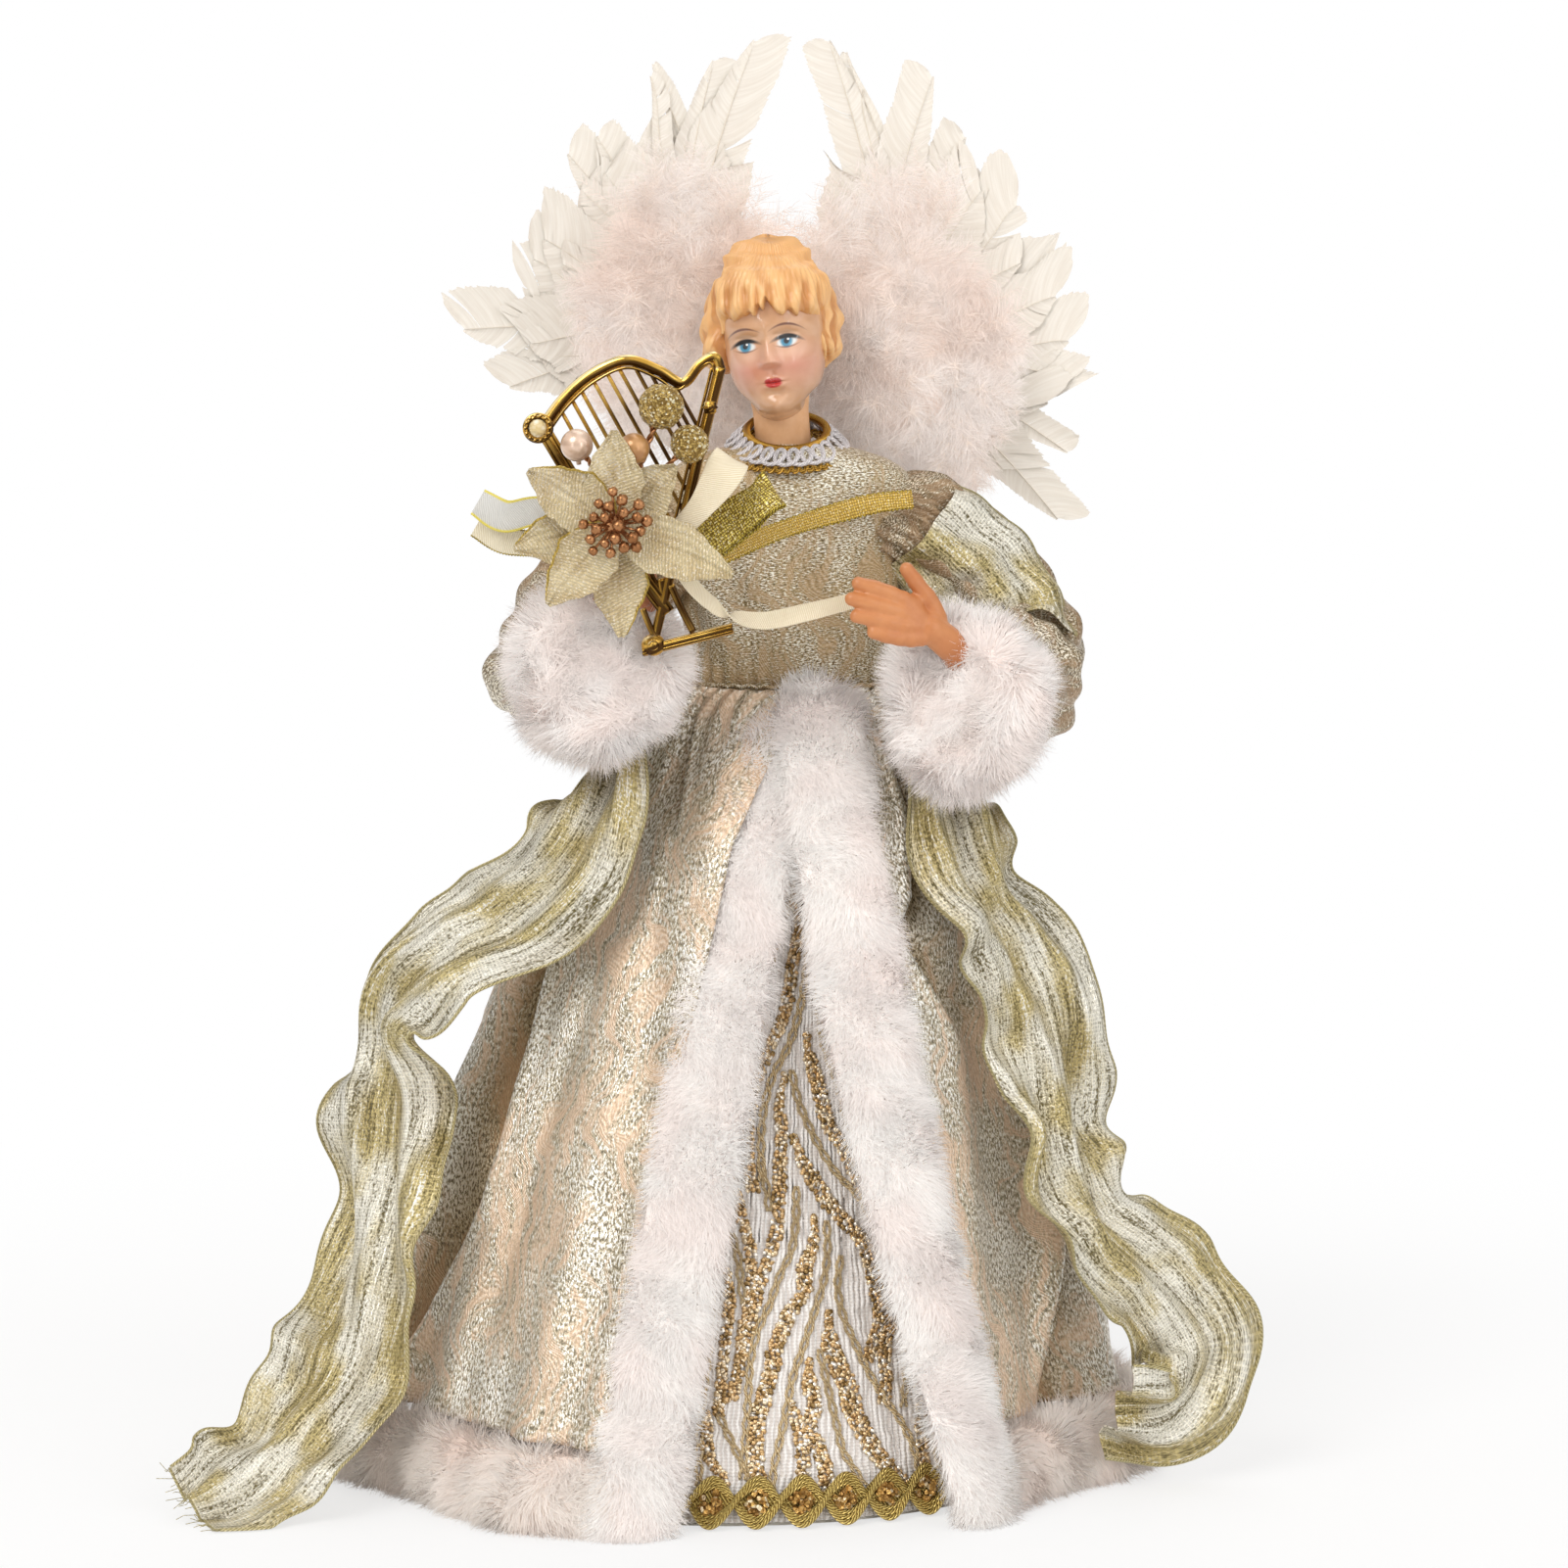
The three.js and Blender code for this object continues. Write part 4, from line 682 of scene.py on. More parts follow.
def coat_relief(degrees, z):
    """How far the cloth stands from the plain form: gathers at the waist, loose folds and sharp creases."""
    degrees, z = np.broadcast_arrays(np.asarray(degrees, float), np.asarray(z, float))
    drop, turn = drop_at(z), np.radians(degrees)
    loose = drop**0.8
    out = 1.3 * loose * np.sin(15 * turn + 1.3 + z * 0.02 + 0.8 * np.sin(z * 0.03))
    out = out + 0.5 * loose * np.sin(31 * turn - z * 0.035)
    out = out + 0.8 * np.exp(-(166 - z) / 9.0) * np.sin(36 * turn + 0.6 * np.sin(z * 0.4))
    out = out + 0.35 * np.sin(z * 0.21 + 5 * turn) * np.sin(z * 0.07 + 9 * turn) * smooth(0, 0.2, drop)
    for line, depth, width, side in CREASES:
        heights, angles = np.array(line, float).T
        ease = 0.14 * (heights[-1] - heights[0]) + 3
        inside = np.clip(np.minimum(z - heights[0], heights[-1] - z) / ease, 0, 1)
        gap = side * (degrees - np.interp(z, heights, angles))
        shape = np.where(gap > 0, np.clip(1 - gap / width, 0, 1) ** 1.3, smooth(-1.5, 0, gap))
        lip = 0.9 * hump(gap, -2.5, 2.0)
        out = out + inside * (lip - depth * 1.15 * shape)
    return out


def coat_panel(name, start, end, columns, material, lift=None):
    rows = 176
    z = column(COAT_HEM_Z, COAT_TOP_Z, rows)
    s = row(0, 1, columns)
    first, last = start(z), end(z)
    degrees = lerp(first, last, s)
    wide, deep = dress_radii(z)
    run = np.radians(degrees - first) * (wide + deep) / 2
    out = coat_relief(degrees, z) + (0 if lift is None else lift(np.abs(run), z))
    edge = np.minimum(z - COAT_HEM_Z, 6) / 6
    out = out + 0.6 * (1 - edge) + 0.35 * np.sin(run * 0.55) * (1 - edge)
    points = on_dress(degrees, z, out)
    shell = Shell()
    # The tone attribute holds how deep each point lies in a fold; the coat's material paints shade there
    shell.cloth(points, 0.7, pair(run, z), tone=smooth(-4.4, -0.2, coat_relief(degrees, z)))
    piece = shell.build(name, material, "figure", "brocade", [name.replace("_cloth", "")])


# How far the right panel's front edge lies from its trim's middle line, by height: it covers part of the fur
FLAP_EDGE = (
    [16, 24, 80, 92, 101, 116, 135, 147, 155, 166], [-7, -7, -9.4, -8, -7.2, -6.2, -5.4, -2.4, 0.3, 3.5],
)


def make_coat(look):
    def right_start(z):
        offset = np.interp(z, *FLAP_EDGE)
        return trim_angle(-1, z) + np.degrees(offset / (dress_radii(z)[0] + 5))

    def flap(run, z):
        cover = 9.6 + np.interp(z, *FLAP_EDGE)
        lift = np.interp(z, [16, 24, 80, 100, 140, 166], [6.4, 6.6, 3.0, 6.6, 7.6, 4.6])
        return lift * smooth(cover + 9.0, cover * 0.4, run)

    seam = lambda degrees: lambda z: 0 * z + degrees
    coat_panel("coat_right_panel_cloth", right_start, seam(0.4 - SIDE_SEAM), 200, look, flap)
    coat_panel("coat_left_panel_cloth", lambda z: trim_angle(1, z), seam(SIDE_SEAM - 0.4), 160, look)
    coat_panel("coat_back_panel_cloth", seam(SIDE_SEAM), seam(360 - SIDE_SEAM), 250, look)


# Bodice

BODICE_SECTIONS = np.array([
    [164.5, 13.8, 22.6, 13.4], [166.3, 13.8, 22.2, 13.0], [175, 13.6, 22.3, 13.4], [187, 13.3, 23.8, 14.4],
    [198, 12.9, 26.0, 14.0], [206, 12.9, 26.6, 12.8], [210.5, 12.8, 25.4, 12.0], [213.2, 12.6, 22.2, 11.2],
    [215.2, 12.4, 17.0, 10.2], [216.4, 12.3, 12.4, 9.4], [217.1, 12.2, 9.2, 8.5],
])


def make_bodice(look):
    t = np.linspace(0, 1, 110)
    section = curve_at(BODICE_SECTIONS[:, [0, 1, 2]], t)
    depth = curve_at(BODICE_SECTIONS[:, [0, 1, 3]], t)[:, 2]
    turn = np.linspace(0, TURN, 181)[None, :-1]
    z, x, wide = [section[:, i : i + 1] for i in range(3)]
    deep = depth[:, None]
    gather = 0.5 * np.exp(-(z - 164.5) / 5) * np.sin(turn * 34) + 0.35 * np.sin(turn * 5 + z * 0.16)
    drag = 0.7 * hump(z, 186, 14) * np.sin(turn * 9 + z * 0.12)
    out = (gather + drag) * smooth(217, 208, z) - 0.3 * hump(z, 165.6, 1.4)
    points = stack(x + (wide + out) * np.sin(turn), -(deep + out) * np.cos(turn), z)
    run = ((turn + math.pi) % TURN - math.pi) * 19
    shell = Shell()
    shell.grid(points, pair(run, z), wrap=True)
    band = np.arange(0, 181) / 180 * TURN
    seam = stack(13.8 + 22.7 * np.sin(band), -13.6 * np.cos(band), 166.0 + 0.25 * np.sin(band * 40))
    shell.tube(seam[:-1], 0.55, 6, closed=True, first=(0, 0, 1))
    shell.build("bodice_cloth", look, "figure", "brocade", ["bodice"])


# Sleeves

RIGHT_ARM = [(-12, 1, 200), (-26, 3, 186), (-36.5, -1, 172), (-35, -18, 167), (-28, -37, 172)]
SLEEVE_RUN = 78
LEFT_ARM = [(37, 1, 202), (52, 4, 188), (62, -1, 172), (59, -18, 165), (48.5, -37, 168)]


def sleeve_surface(path):
    """Points on a sleeve by share of its length and degrees round it from the front."""
    line = even_line(path, 121)
    _, normals, sideways = travelling_frames(line, (0, -1, 0))

    def at(u, degrees, out=0.0):
        u, degrees, out = np.broadcast_arrays(np.asarray(u, float), degrees, out)
        turn = np.radians(degrees)
        radius = 10.5 + 3.4 * np.sin(math.pi * np.minimum(1, 0.12 + u)) ** 0.8
        radius = radius + 0.55 * np.sin(4 * turn + 9 * u) + out
        spot = u * 120
        centre, n, b = [np.stack([np.interp(spot, np.arange(121), part[:, i]) for i in range(3)], -1)
                        for part in (line, normals, sideways)]
        return centre + n * (radius * np.cos(turn))[..., None] + b * (radius * np.sin(turn))[..., None]

    return at


def make_sleeve(name, path, body, node, first, look):
    surface_at = sleeve_surface(path)
    u = column(first, 0.9, 120)
    degrees = np.linspace(0, 360, 109)[None, :-1]
    turn = np.radians(degrees)
    bends = 1.1 * np.sin(u * 46 + 2.2 * np.sin(turn + 0.6)) * hump(u, 0.55, 0.2)
    long_folds = 0.8 * np.sin(turn * 5 + 5 * u) + 0.5 * np.sin(turn * 11 - 3 * u)
    gather = 0.9 * np.sin(turn * 22) * (smooth(0.14, 0.0, u) + smooth(0.8, 0.9, u))
    points = surface_at(u, degrees, bends + long_folds + gather - 0.2 + 0 * u)
    run = ((degrees + 180) % 360 - 180) * 0.22
    shell = Shell()
    # The sleeve's head reaches into the armhole and closes there
    middle, back = points[0].mean(0), np.array([-math.copysign(7.0, path[1][0] - path[0][0]), 0, 2.5])
    close = np.linspace(1.5, 0.05, 20)[:, None, None]
    head = middle + (points[0] - middle)[None] * np.cos(close) ** 0.3 + back * np.sin(close)
    points = np.concatenate([head, points])
    along = np.concatenate([first * SLEEVE_RUN - 11 * np.sin(close[:, :, 0]), u * SLEEVE_RUN])
    shell.grid(points, pair(run, along), wrap=True)
    shell.build(name, look, body, "brocade", [node])


# Fur: a dense coat of flat tapered hairs over a soft body


HAIR_KNOTS = 3


def fur_on(shell, surface_at, count, length, seed, width, stand, comb, curl, jitter, tuft, outward, keep=None,
           floor=0.2):
    """Hairs over a surface: stand is how upright they are, comb how they lie, and outward what they leave."""
    rng = np.random.default_rng(seed)
    s, t = rng.random(count * 3), rng.random(count * 3)
    e = 1e-3
    du = surface_at(s + e, t) - surface_at(s - e, t)
    dv = surface_at(s, t + e) - surface_at(s, t - e)
    normal = np.cross(du, dv)
    area = np.linalg.norm(normal, axis=-1)
    chosen = rng.random(len(s)) < area / np.quantile(area, 0.98) * 0.8
    points, normal = surface_at(s, t), unit(normal)
    normal = normal * np.sign((normal * (points - outward(s, t))).sum(-1, keepdims=True))
    if keep is not None:
        chosen &= keep(points, normal)
    points, normal = points[chosen][:count], normal[chosen][:count]
    size = len(points)
    lie = lambda way: way - normal * (way * normal).sum(-1, keepdims=True)
    drift = ripple(points, tuft, seed) * curl
    flat = lie(np.asarray(comb, float) + drift * 0.8)
    start = unit(normal * stand + flat + rng.normal(size=(size, 3)) * jitter)
    turn_to = unit(lie(drift + np.asarray(comb, float)) + rng.normal(size=(size, 3)) * 0.25) * curl
    long = length * (0.7 + 0.5 * rng.random(size))
    share = np.linspace(0, 1, HAIR_KNOTS)[None, :, None]
    sweep = start[:, None] * share + turn_to[:, None] * share**2 * 0.6
    paths = points[:, None] + sweep * long[:, None, None]
    paths[..., 2] = np.maximum(paths[..., 2], floor)
    taper = row(1, 0, HAIR_KNOTS) ** 0.7 * 0.9 + 0.1
    widths = width * taper * (0.7 + 0.6 * rng.random(size))[:, None]
    shell.strands(paths, widths, normal, rng.random(size))


def same_place(points, across=0.5, along=0.75):
    """One texture place for every point of a grid."""
    return np.zeros(points.shape[:2] + (2,)) + (across, along)


def soft_body(points):
    """The backing under a fur, in a tone near its tips'."""
    shell = Shell()
    shell.grid(points, same_place(points), wrap=True)
    return shell


def middle_of(band):
    """The line inside a band of fur: halfway between two opposite points round it."""
    return lambda s, t: band(0 * s, t) * 0.5 + band(0 * s + 0.5, t) * 0.5


def trim_surface(side, inset):
    bottom, top = (0.9, 168.2) if side > 0 else (0.9, 160.5)

    def at(s, t):
        z = lerp(bottom, top, np.clip(t, 0, 1))
        rest = np.clip(np.minimum(t * 160 + 4.0, (1 - t) * 160), 0, 7.5) / 7.5
        end = np.sqrt(1 - (1 - rest) ** 2) * 0.97 + 0.03
        wide, deep = dress_radii(z)
        half = np.degrees((9.6 - inset) * end / ((wide + deep) / 2 + 4))
        thick = (4.8 - inset) * np.sqrt(end)
        back = 0.0 if side > 0 else 2.6 * smooth(60, 130, z)
        around = s * TURN
        puff = 0.5 * np.sin(z * 0.21 + side) + 0.35 * np.sin(z * 0.47 + 2 * np.sin(around))
        shift = side * np.degrees(1.5 / ((wide + deep) / 2 + 4)) * smooth(150, 120, z)
        return on_dress(trim_angle(side, z) + shift + half * np.sin(around), z,
                        5.4 - back - (thick + puff) * np.cos(around))

    return at


def make_trim(name, side, node, seed, look, fur):
    at = trim_surface(side, 2.0)
    s = np.linspace(0, 1, 29)[None, :-1]
    t = column(0, 1, 150)
    shell = soft_body(at(s, t))
    fur_on(shell, at, int(44000 * fur.density), fur.trim_length / MM, seed, width=0.25, stand=0.85,
           comb=(0.08 * side, 0, -0.5), curl=0.4, jitter=0.3, tuft=4.0, outward=middle_of(at),
           keep=lambda p, n: n[:, 1] < 0.45)
    shell.build(name, look, "figure", "white_fur", [node], soft_normals=True)


def make_hem_fur(name, start, end, node, seed, count, look, fur):
    def at(s, t):
        degrees = lerp(start, end, np.clip(t, 0, 1))
        around = s * TURN
        turn = np.radians(degrees)
        puff = 0.7 * np.sin(turn * 23) + 0.4 * np.sin(turn * 41 + 2 * np.sin(around))
        return on_dress(degrees, 8.2 + 6.9 * np.sin(around), 2.8 + (3.6 + puff) * np.cos(around))

    s = np.linspace(0, 1, 25)[None, :-1]
    t = column(0, 1, 120)
    shell = soft_body(at(s, t))
    fur_on(shell, at, int(count * fur.density), fur.hem_length / MM, seed, width=0.27, stand=0.75,
           comb=(0, 0, -0.5), curl=0.5, jitter=0.32, tuft=3.5, outward=middle_of(at), floor=0.15)
    shell.build(name, look, "figure", "white_fur", [node], soft_normals=True)


# Radii of a cuff's plain ring: of its middle line and of the roll round it
CUFF_RING, CUFF_TUBE = 11, 7


def cuff_frame(facing):
    facing = unit(np.asarray(facing, float))
    side = unit(np.cross((0, 0, 1.0), facing))
    return side, np.cross(facing, side), facing


def make_cuff(name, centre, facing, sizes, body, node, seed, look, fur):
    side, up, ahead = cuff_frame(facing)
    half_width, half_height, half_length = sizes
    wide, high, deep = half_width / 18, half_height / 18, half_length / CUFF_TUBE
    tube_radius = CUFF_TUBE - 2.6

    def placed(x, y, forward):
        x, y, forward = np.broadcast_arrays(x, y, forward)
        return np.asarray(centre) + x[..., None] * side + y[..., None] * up + forward[..., None] * ahead

    def at(s, t):
        ring, tube = t * TURN, s * TURN
        lump = 1 + 0.05 * np.sin(3 * ring + 1) + 0.04 * np.sin(7 * ring + 2 * np.sin(tube))
        reach = (CUFF_RING + tube_radius * np.cos(tube)) * lump
        forward = tube_radius * np.sin(tube) * deep
        return placed(reach * np.cos(ring) * wide, reach * np.sin(ring) * high, forward)

    def ring_line(s, t):
        return placed(CUFF_RING * np.cos(t * TURN) * wide, CUFF_RING * np.sin(t * TURN) * high, 0.0)

    def mouth(s, t):
        """A square patch drawn out to a disc, domed towards the wrist."""
        a, b = 2 * s - 1, 2 * t - 1
        x, y = a * np.sqrt(np.maximum(1 - b * b / 2, 0)), b * np.sqrt(np.maximum(1 - a * a / 2, 0))
        dome = 6.0 - 2.4 * (x * x + y * y) + 0.5 * np.sin(x * 4 + 1) * np.sin(y * 5)
        return placed(x * 11.5 * wide, y * 11.5 * high, dome)

    length = fur.cuff_length / MM
    s, t = np.broadcast_arrays(np.linspace(0, 1, 33)[None, :-1], column(0, 1, 61))
    shell = soft_body(at(s, t))
    fur_on(shell, at, int(30000 * fur.density), length, seed, width=0.26, stand=0.8, comb=(0, 0, -0.25),
           curl=0.55, jitter=0.32, tuft=3.2, outward=ring_line)
    s, t = np.broadcast_arrays(row(0, 1, 25), column(0, 1, 25))
    disc = mouth(s, t)
    shell.grid(disc, same_place(disc))
    fur_on(shell, mouth, int(11000 * fur.density), length, seed + 5, width=0.26, stand=0.75,
           comb=(0.1, 0, -0.4), curl=0.6, jitter=0.32, tuft=3.0, outward=lambda s, t: mouth(s, t) - ahead)
    shell.build(name, look, body, "white_fur", [node], soft_normals=True)


# Scarf

SCARF_HALF_WIDTH, SCARF_FLAT_HALF = 14.5, 18.5
RIGHT_DRAPE = [
    (-22, 1, 157), (-22.5, -14, 155), (-27, -31, 145), (-33, -36, 133), (-47, -33, 119), (-60, -33, 112),
    (-71.5, -30, 100), (-71, -31, 84), (-73, -36, 62), (-76, -42, 42), (-81, -51, 26), (-91, -60, 14),
    (-100, -66, 6.5), (-108.5, -69.5, 2.6),
]
RIGHT_DRAPE_FACES = [
    (-1, 0.1, 0.3), (-0.85, -0.5, 0.3), (-0.6, -0.75, 0.3), (-0.5, -0.8, 0.4), (-0.4, -0.85, 0.4),
    (-0.5, -0.8, 0.4), (-0.75, -0.6, 0.3), (-0.7, -0.7, 0.1), (-0.6, -0.8, 0.1), (-0.55, -0.8, 0.2),
    (-0.4, -0.85, 0.3), (-0.2, -0.85, 0.45), (-0.1, -0.75, 0.65), (0, -0.6, 0.8),
]
LEFT_DRAPE = [
    (45, -2, 152), (46, -21, 147), (50.5, -30, 132), (59, -30, 116), (66, -31, 100), (68.5, -33, 84),
    (71.5, -36, 68), (79, -37, 54), (91, -36, 42), (99.5, -37, 28), (93, -42, 16.5), (80.5, -49, 18),
]
LEFT_DRAPE_FACES = [
    (1, -0.1, 0.3), (0.75, -0.6, 0.3), (0.55, -0.8, 0.25), (0.5, -0.8, 0.3), (0.6, -0.75, 0.2),
    (0.65, -0.75, 0.1), (0.6, -0.75, 0.15), (0.45, -0.8, 0.35), (0.4, -0.85, 0.3), (0.5, -0.85, 0),
    (0.3, -0.9, -0.3), (0, -0.9, -0.4),
]
RIGHT_TWISTS = [
    (0.22, 0.05, -0.3), (0.36, 0.05, 0.25), (0.49, 0.03, 0.3), (0.56, 0.03, -0.5), (0.64, 0.03, 0.25),
    (0.75, 0.03, -0.45), (0.86, 0.04, 0.3),
]
LEFT_TWISTS = [
    (0.13, 0.04, 0.4), (0.24, 0.03, -0.3), (0.38, 0.05, 0.4), (0.5, 0.04, -0.2), (0.62, 0.035, -0.35),
    (0.8, 0.05, 0.3),
]


def clear_of_dress(points, gap):
    """Moves points that are inside the coat out to its surface."""
    x, y, z = points[..., 0] - lean(points[..., 2]), points[..., 1], points[..., 2]
    wide, deep = dress_radii(z)
    degrees = np.degrees(np.arctan2(x / wide, -y / deep))
    turn = np.radians(degrees)
    relief = coat_relief(degrees, z) * 0.6 + gap - 4 * drop_at(z) ** 0.7 * np.cos(7 * turn)
    needed = np.hypot((wide + relief) * np.sin(turn), (deep + relief) * np.cos(turn))
    reach = np.maximum(np.hypot(x, y), 1e-6)
    soft = 0.5 * (reach + needed + np.sqrt((reach - needed) ** 2 + 0.5))
    grow = np.where(z < 166, soft / reach, 1)
    return stack(lean(z) + x * grow, y * grow, z)


def drape_points(path, faces, half_at, rows, columns, pleats, seed, twists):
    """A pleated cloth along a path; at each twist, given by place, span and angle, it leans over."""
    t = np.linspace(0, 1, rows)
    line, out = curve_at(path, t), unit(curve_at(faces, t))
    ahead = unit(np.gradient(line, axis=0))
    side = unit(np.cross(out, ahead))
    roll = np.zeros(rows)
    for place, span, lean_over in twists:
        roll += lean_over * hump(t, place, span)
    out = unit(np.cross(ahead, side))
    out, side = spun(out, side, roll[:, None])
    s = row(-1, 1, columns)
    share = t[:, None]
    half = half_at(share)
    rng = np.random.default_rng(seed)
    turn = rng.random(6) * TURN
    settle_in = np.minimum(1, share * 10 + 0.3)
    drift = 0.9 * np.sin(share * 7 + turn[0]) + 0.5 * np.sin(share * 17 + turn[1])
    fold = np.sin(s * math.pi * pleats + drift * 2 + turn[2])
    fine = np.sin(s * math.pi * pleats * 2.3 - share * 21 + turn[3])
    pinch = 0.5 + 0.5 * np.sin(share * 13 + turn[4])
    shiver = 0.35 * np.sin(share * 95 + s * 3) * (1 - pinch)
    height = settle_in * (2.0 * fold * (0.7 + 0.5 * pinch) + 0.5 * fine + shiver)
    wave = share * 62 + 2.5 * np.sin(share * 9) + turn[5] + 2 * np.sign(s)
    edge_lift = 1.9 * np.abs(s) ** 3 * np.sin(wave) * (0.55 + 0.45 * np.sin(share * 19 + turn[2]))
    sway = 0.07 * np.sin(share * 31 + turn[1] + 2 * s)
    reach = s * half * (1 + sway - 0.05 * np.abs(s) ** 3 * np.cos(wave))
    points = line[:, None] + side[:, None] * reach[..., None] + out[:, None] * (height + edge_lift)[..., None]
    points = clear_of_dress(points, 1.3)
    points[..., 2] = np.maximum(points[..., 2], 0.5)
    return points, pair(s * SCARF_FLAT_HALF, run_along(line)[:, None])


def scarf_sheet(name, points, uv, look, body, flat_width):
    shell = Shell()
    shell.cloth(points, 0.32, uv)
    piece = shell.build(name, look, body, "sheer_gold", [name.replace("_cloth", "")])
    cloth_area(points) / flat_width


def make_scarf(sheer, edge):
    taper = lambda t, start, end: lerp(1, end, np.clip((t - start) / (1 - start), 0, 1))
    gathered = lambda t: lerp(0.6, 1, np.clip(t * 3, 0, 1))
    right_half = lambda t: SCARF_HALF_WIDTH * gathered(t) * taper(t, 0.93, 0.75)
    left_half = lambda t: SCARF_HALF_WIDTH * gathered(t) * taper(t, 0.85, 0.72)
    right, uv = drape_points(RIGHT_DRAPE, RIGHT_DRAPE_FACES, right_half, 460, 84, 2.1, 5, RIGHT_TWISTS)
    scarf_sheet("scarf_right_drape_cloth", right, uv, sheer, "figure", 0.036)
    left, uv = drape_points(LEFT_DRAPE, LEFT_DRAPE_FACES, left_half, 420, 84, 2.3, 11, LEFT_TWISTS)
    scarf_sheet("scarf_left_drape_cloth", left, uv, sheer, "figure", 0.036)
    degrees, z = column(98, 256, 160), row(139, 158, 50)
    pleat = 0.8 * np.sin((z - 139) * 1.1 + 0.03 * degrees) + 0.4 * np.sin(degrees * 0.35)
    back = on_dress(degrees, z, 2.6 + pleat + 0 * degrees)
    back_uv = pair((z - 148) * 1.9, degrees * 0.62)
    scarf_sheet("scarf_back_cloth", back, back_uv, sheer, "figure", 0.03)
    at = sleeve_surface(LEFT_ARM)
    u, turn = column(0.04, 0.56, 150), row(-70, 112, 86)
    angle = np.radians(turn)
    lift = 1.0 + 0.9 * np.sin(angle * 7 + 3 * np.sin(u * 6)) + 0.5 * np.sin(u * 40 + angle * 2)
    wrap = at(u, turn, lift)
    wrap_uv = pair(angle * 13, u * SLEEVE_RUN)
    scarf_sheet("scarf_arm_wrap_cloth", wrap, wrap_uv, sheer, "left_arm", 0.036)
    edges = Shell()
    for cloth in (right, left, back):
        for end in (0, -1):
            edges.tube(cloth[::2, end], 0.34, 6)
    edges.tube(right[-1], 0.3, 5)
    edges.build("scarf_wired_edges", edge, "figure", "sheer_gold")
    arm_edges = Shell()
    arm_edges.tube(wrap[:, 0], 0.42, 6)
    arm_edges.tube(wrap[:, -1], 0.42, 6)
    arm_edges.build("scarf_arm_edges", edge, "left_arm", "sheer_gold")
    threads = Shell()
    rng = np.random.default_rng(3)
    for spot in right[-1][::3]:
        way = np.array([-1.6, -0.4, -0.1]) + rng.normal(size=3) * 0.6
        end = spot + way * (1 + rng.random())
        end[2] = max(end[2], 0.2)
        threads.tube(np.array([spot, (spot + end) / 2 + rng.normal(size=3) * 0.3, end]), 0.07, 4)
    threads.build("scarf_frayed_threads", edge, "figure", "sheer_gold")


# Underskirt and hem braid on the front of the cone

CONE_FOOT, CONE_TOP, CONE_HEIGHT = 72.5, 15.5, 160.0


def on_cone(degrees, z, out=0.0):
    radius = lerp(CONE_FOOT, CONE_TOP, z / CONE_HEIGHT) + out
    turn = np.radians(degrees)
    return stack(lean(z) + radius * np.sin(turn), -radius * np.cos(turn), z)


# Bands of sequins and lines of gold cord: [degrees, height] down each, and the band's width in mm
SEQUIN_BANDS = [
    ([(1, 150), (1, 138), (2, 127), (10, 119), (8, 113), (5, 100), (-2, 86), (-2, 72), (0, 65)], 2.6),
    ([(-9, 72), (-4, 65), (-2, 60), (0, 55), (1, 50), (1, 44), (0, 37), (0, 31), (-1, 24)], 2.2),
    ([(6, 88), (5, 82), (6, 76), (6, 72), (6, 65), (6, 60), (5, 54), (3, 48), (2, 43), (1, 37),
      (0, 32)], 2.6),
    ([(9, 76), (12, 70), (15, 66), (18, 62), (22, 58), (26, 53), (27, 48), (28, 43), (28, 39), (26, 34),
      (25, 31)], 3.8),
    ([(14, 60), (14, 55), (12, 50), (12, 46), (9, 41), (7, 36), (6, 31), (5, 26), (4, 21), (4, 13),
      (5, 8)], 3.2),
    ([(12, 96), (13, 92), (16, 84), (18, 78), (22, 73), (25, 67), (28, 62)], 3.0),
    ([(34, 48), (32, 42), (31, 38), (29, 35), (28, 31), (28, 27), (27, 22)], 2.8),
    ([(17, 41), (17, 36), (18, 32), (20, 27), (21, 22), (23, 17), (25, 13), (27, 10), (30, 6)], 4.2),
    ([(13, 32), (13, 28), (14, 23), (13, 19), (15, 14), (16, 9), (16, 6)], 3.2),
    ([(10, 24), (11, 19), (12, 14), (12, 10), (12, 6)], 2.8),
    ([(36, 34), (35, 27), (35, 22), (34, 17), (34, 13), (34, 8)], 2.6),
    ([(-4, 50), (-3, 44), (-3, 40), (-3, 35), (-3, 30), (-3, 22)], 2.2),
    ([(-5, 22), (-4, 14), (-2, 11), (-1, 8)], 2.6),
    ([(-12, 60), (-11, 48), (-9, 34), (-9, 22), (-8, 8)], 2.6),
    ([(-19, 50), (-17, 36), (-15, 20), (-16, 8)], 2.6),
    ([(40, 36), (41, 22), (40, 8)], 2.6),
]
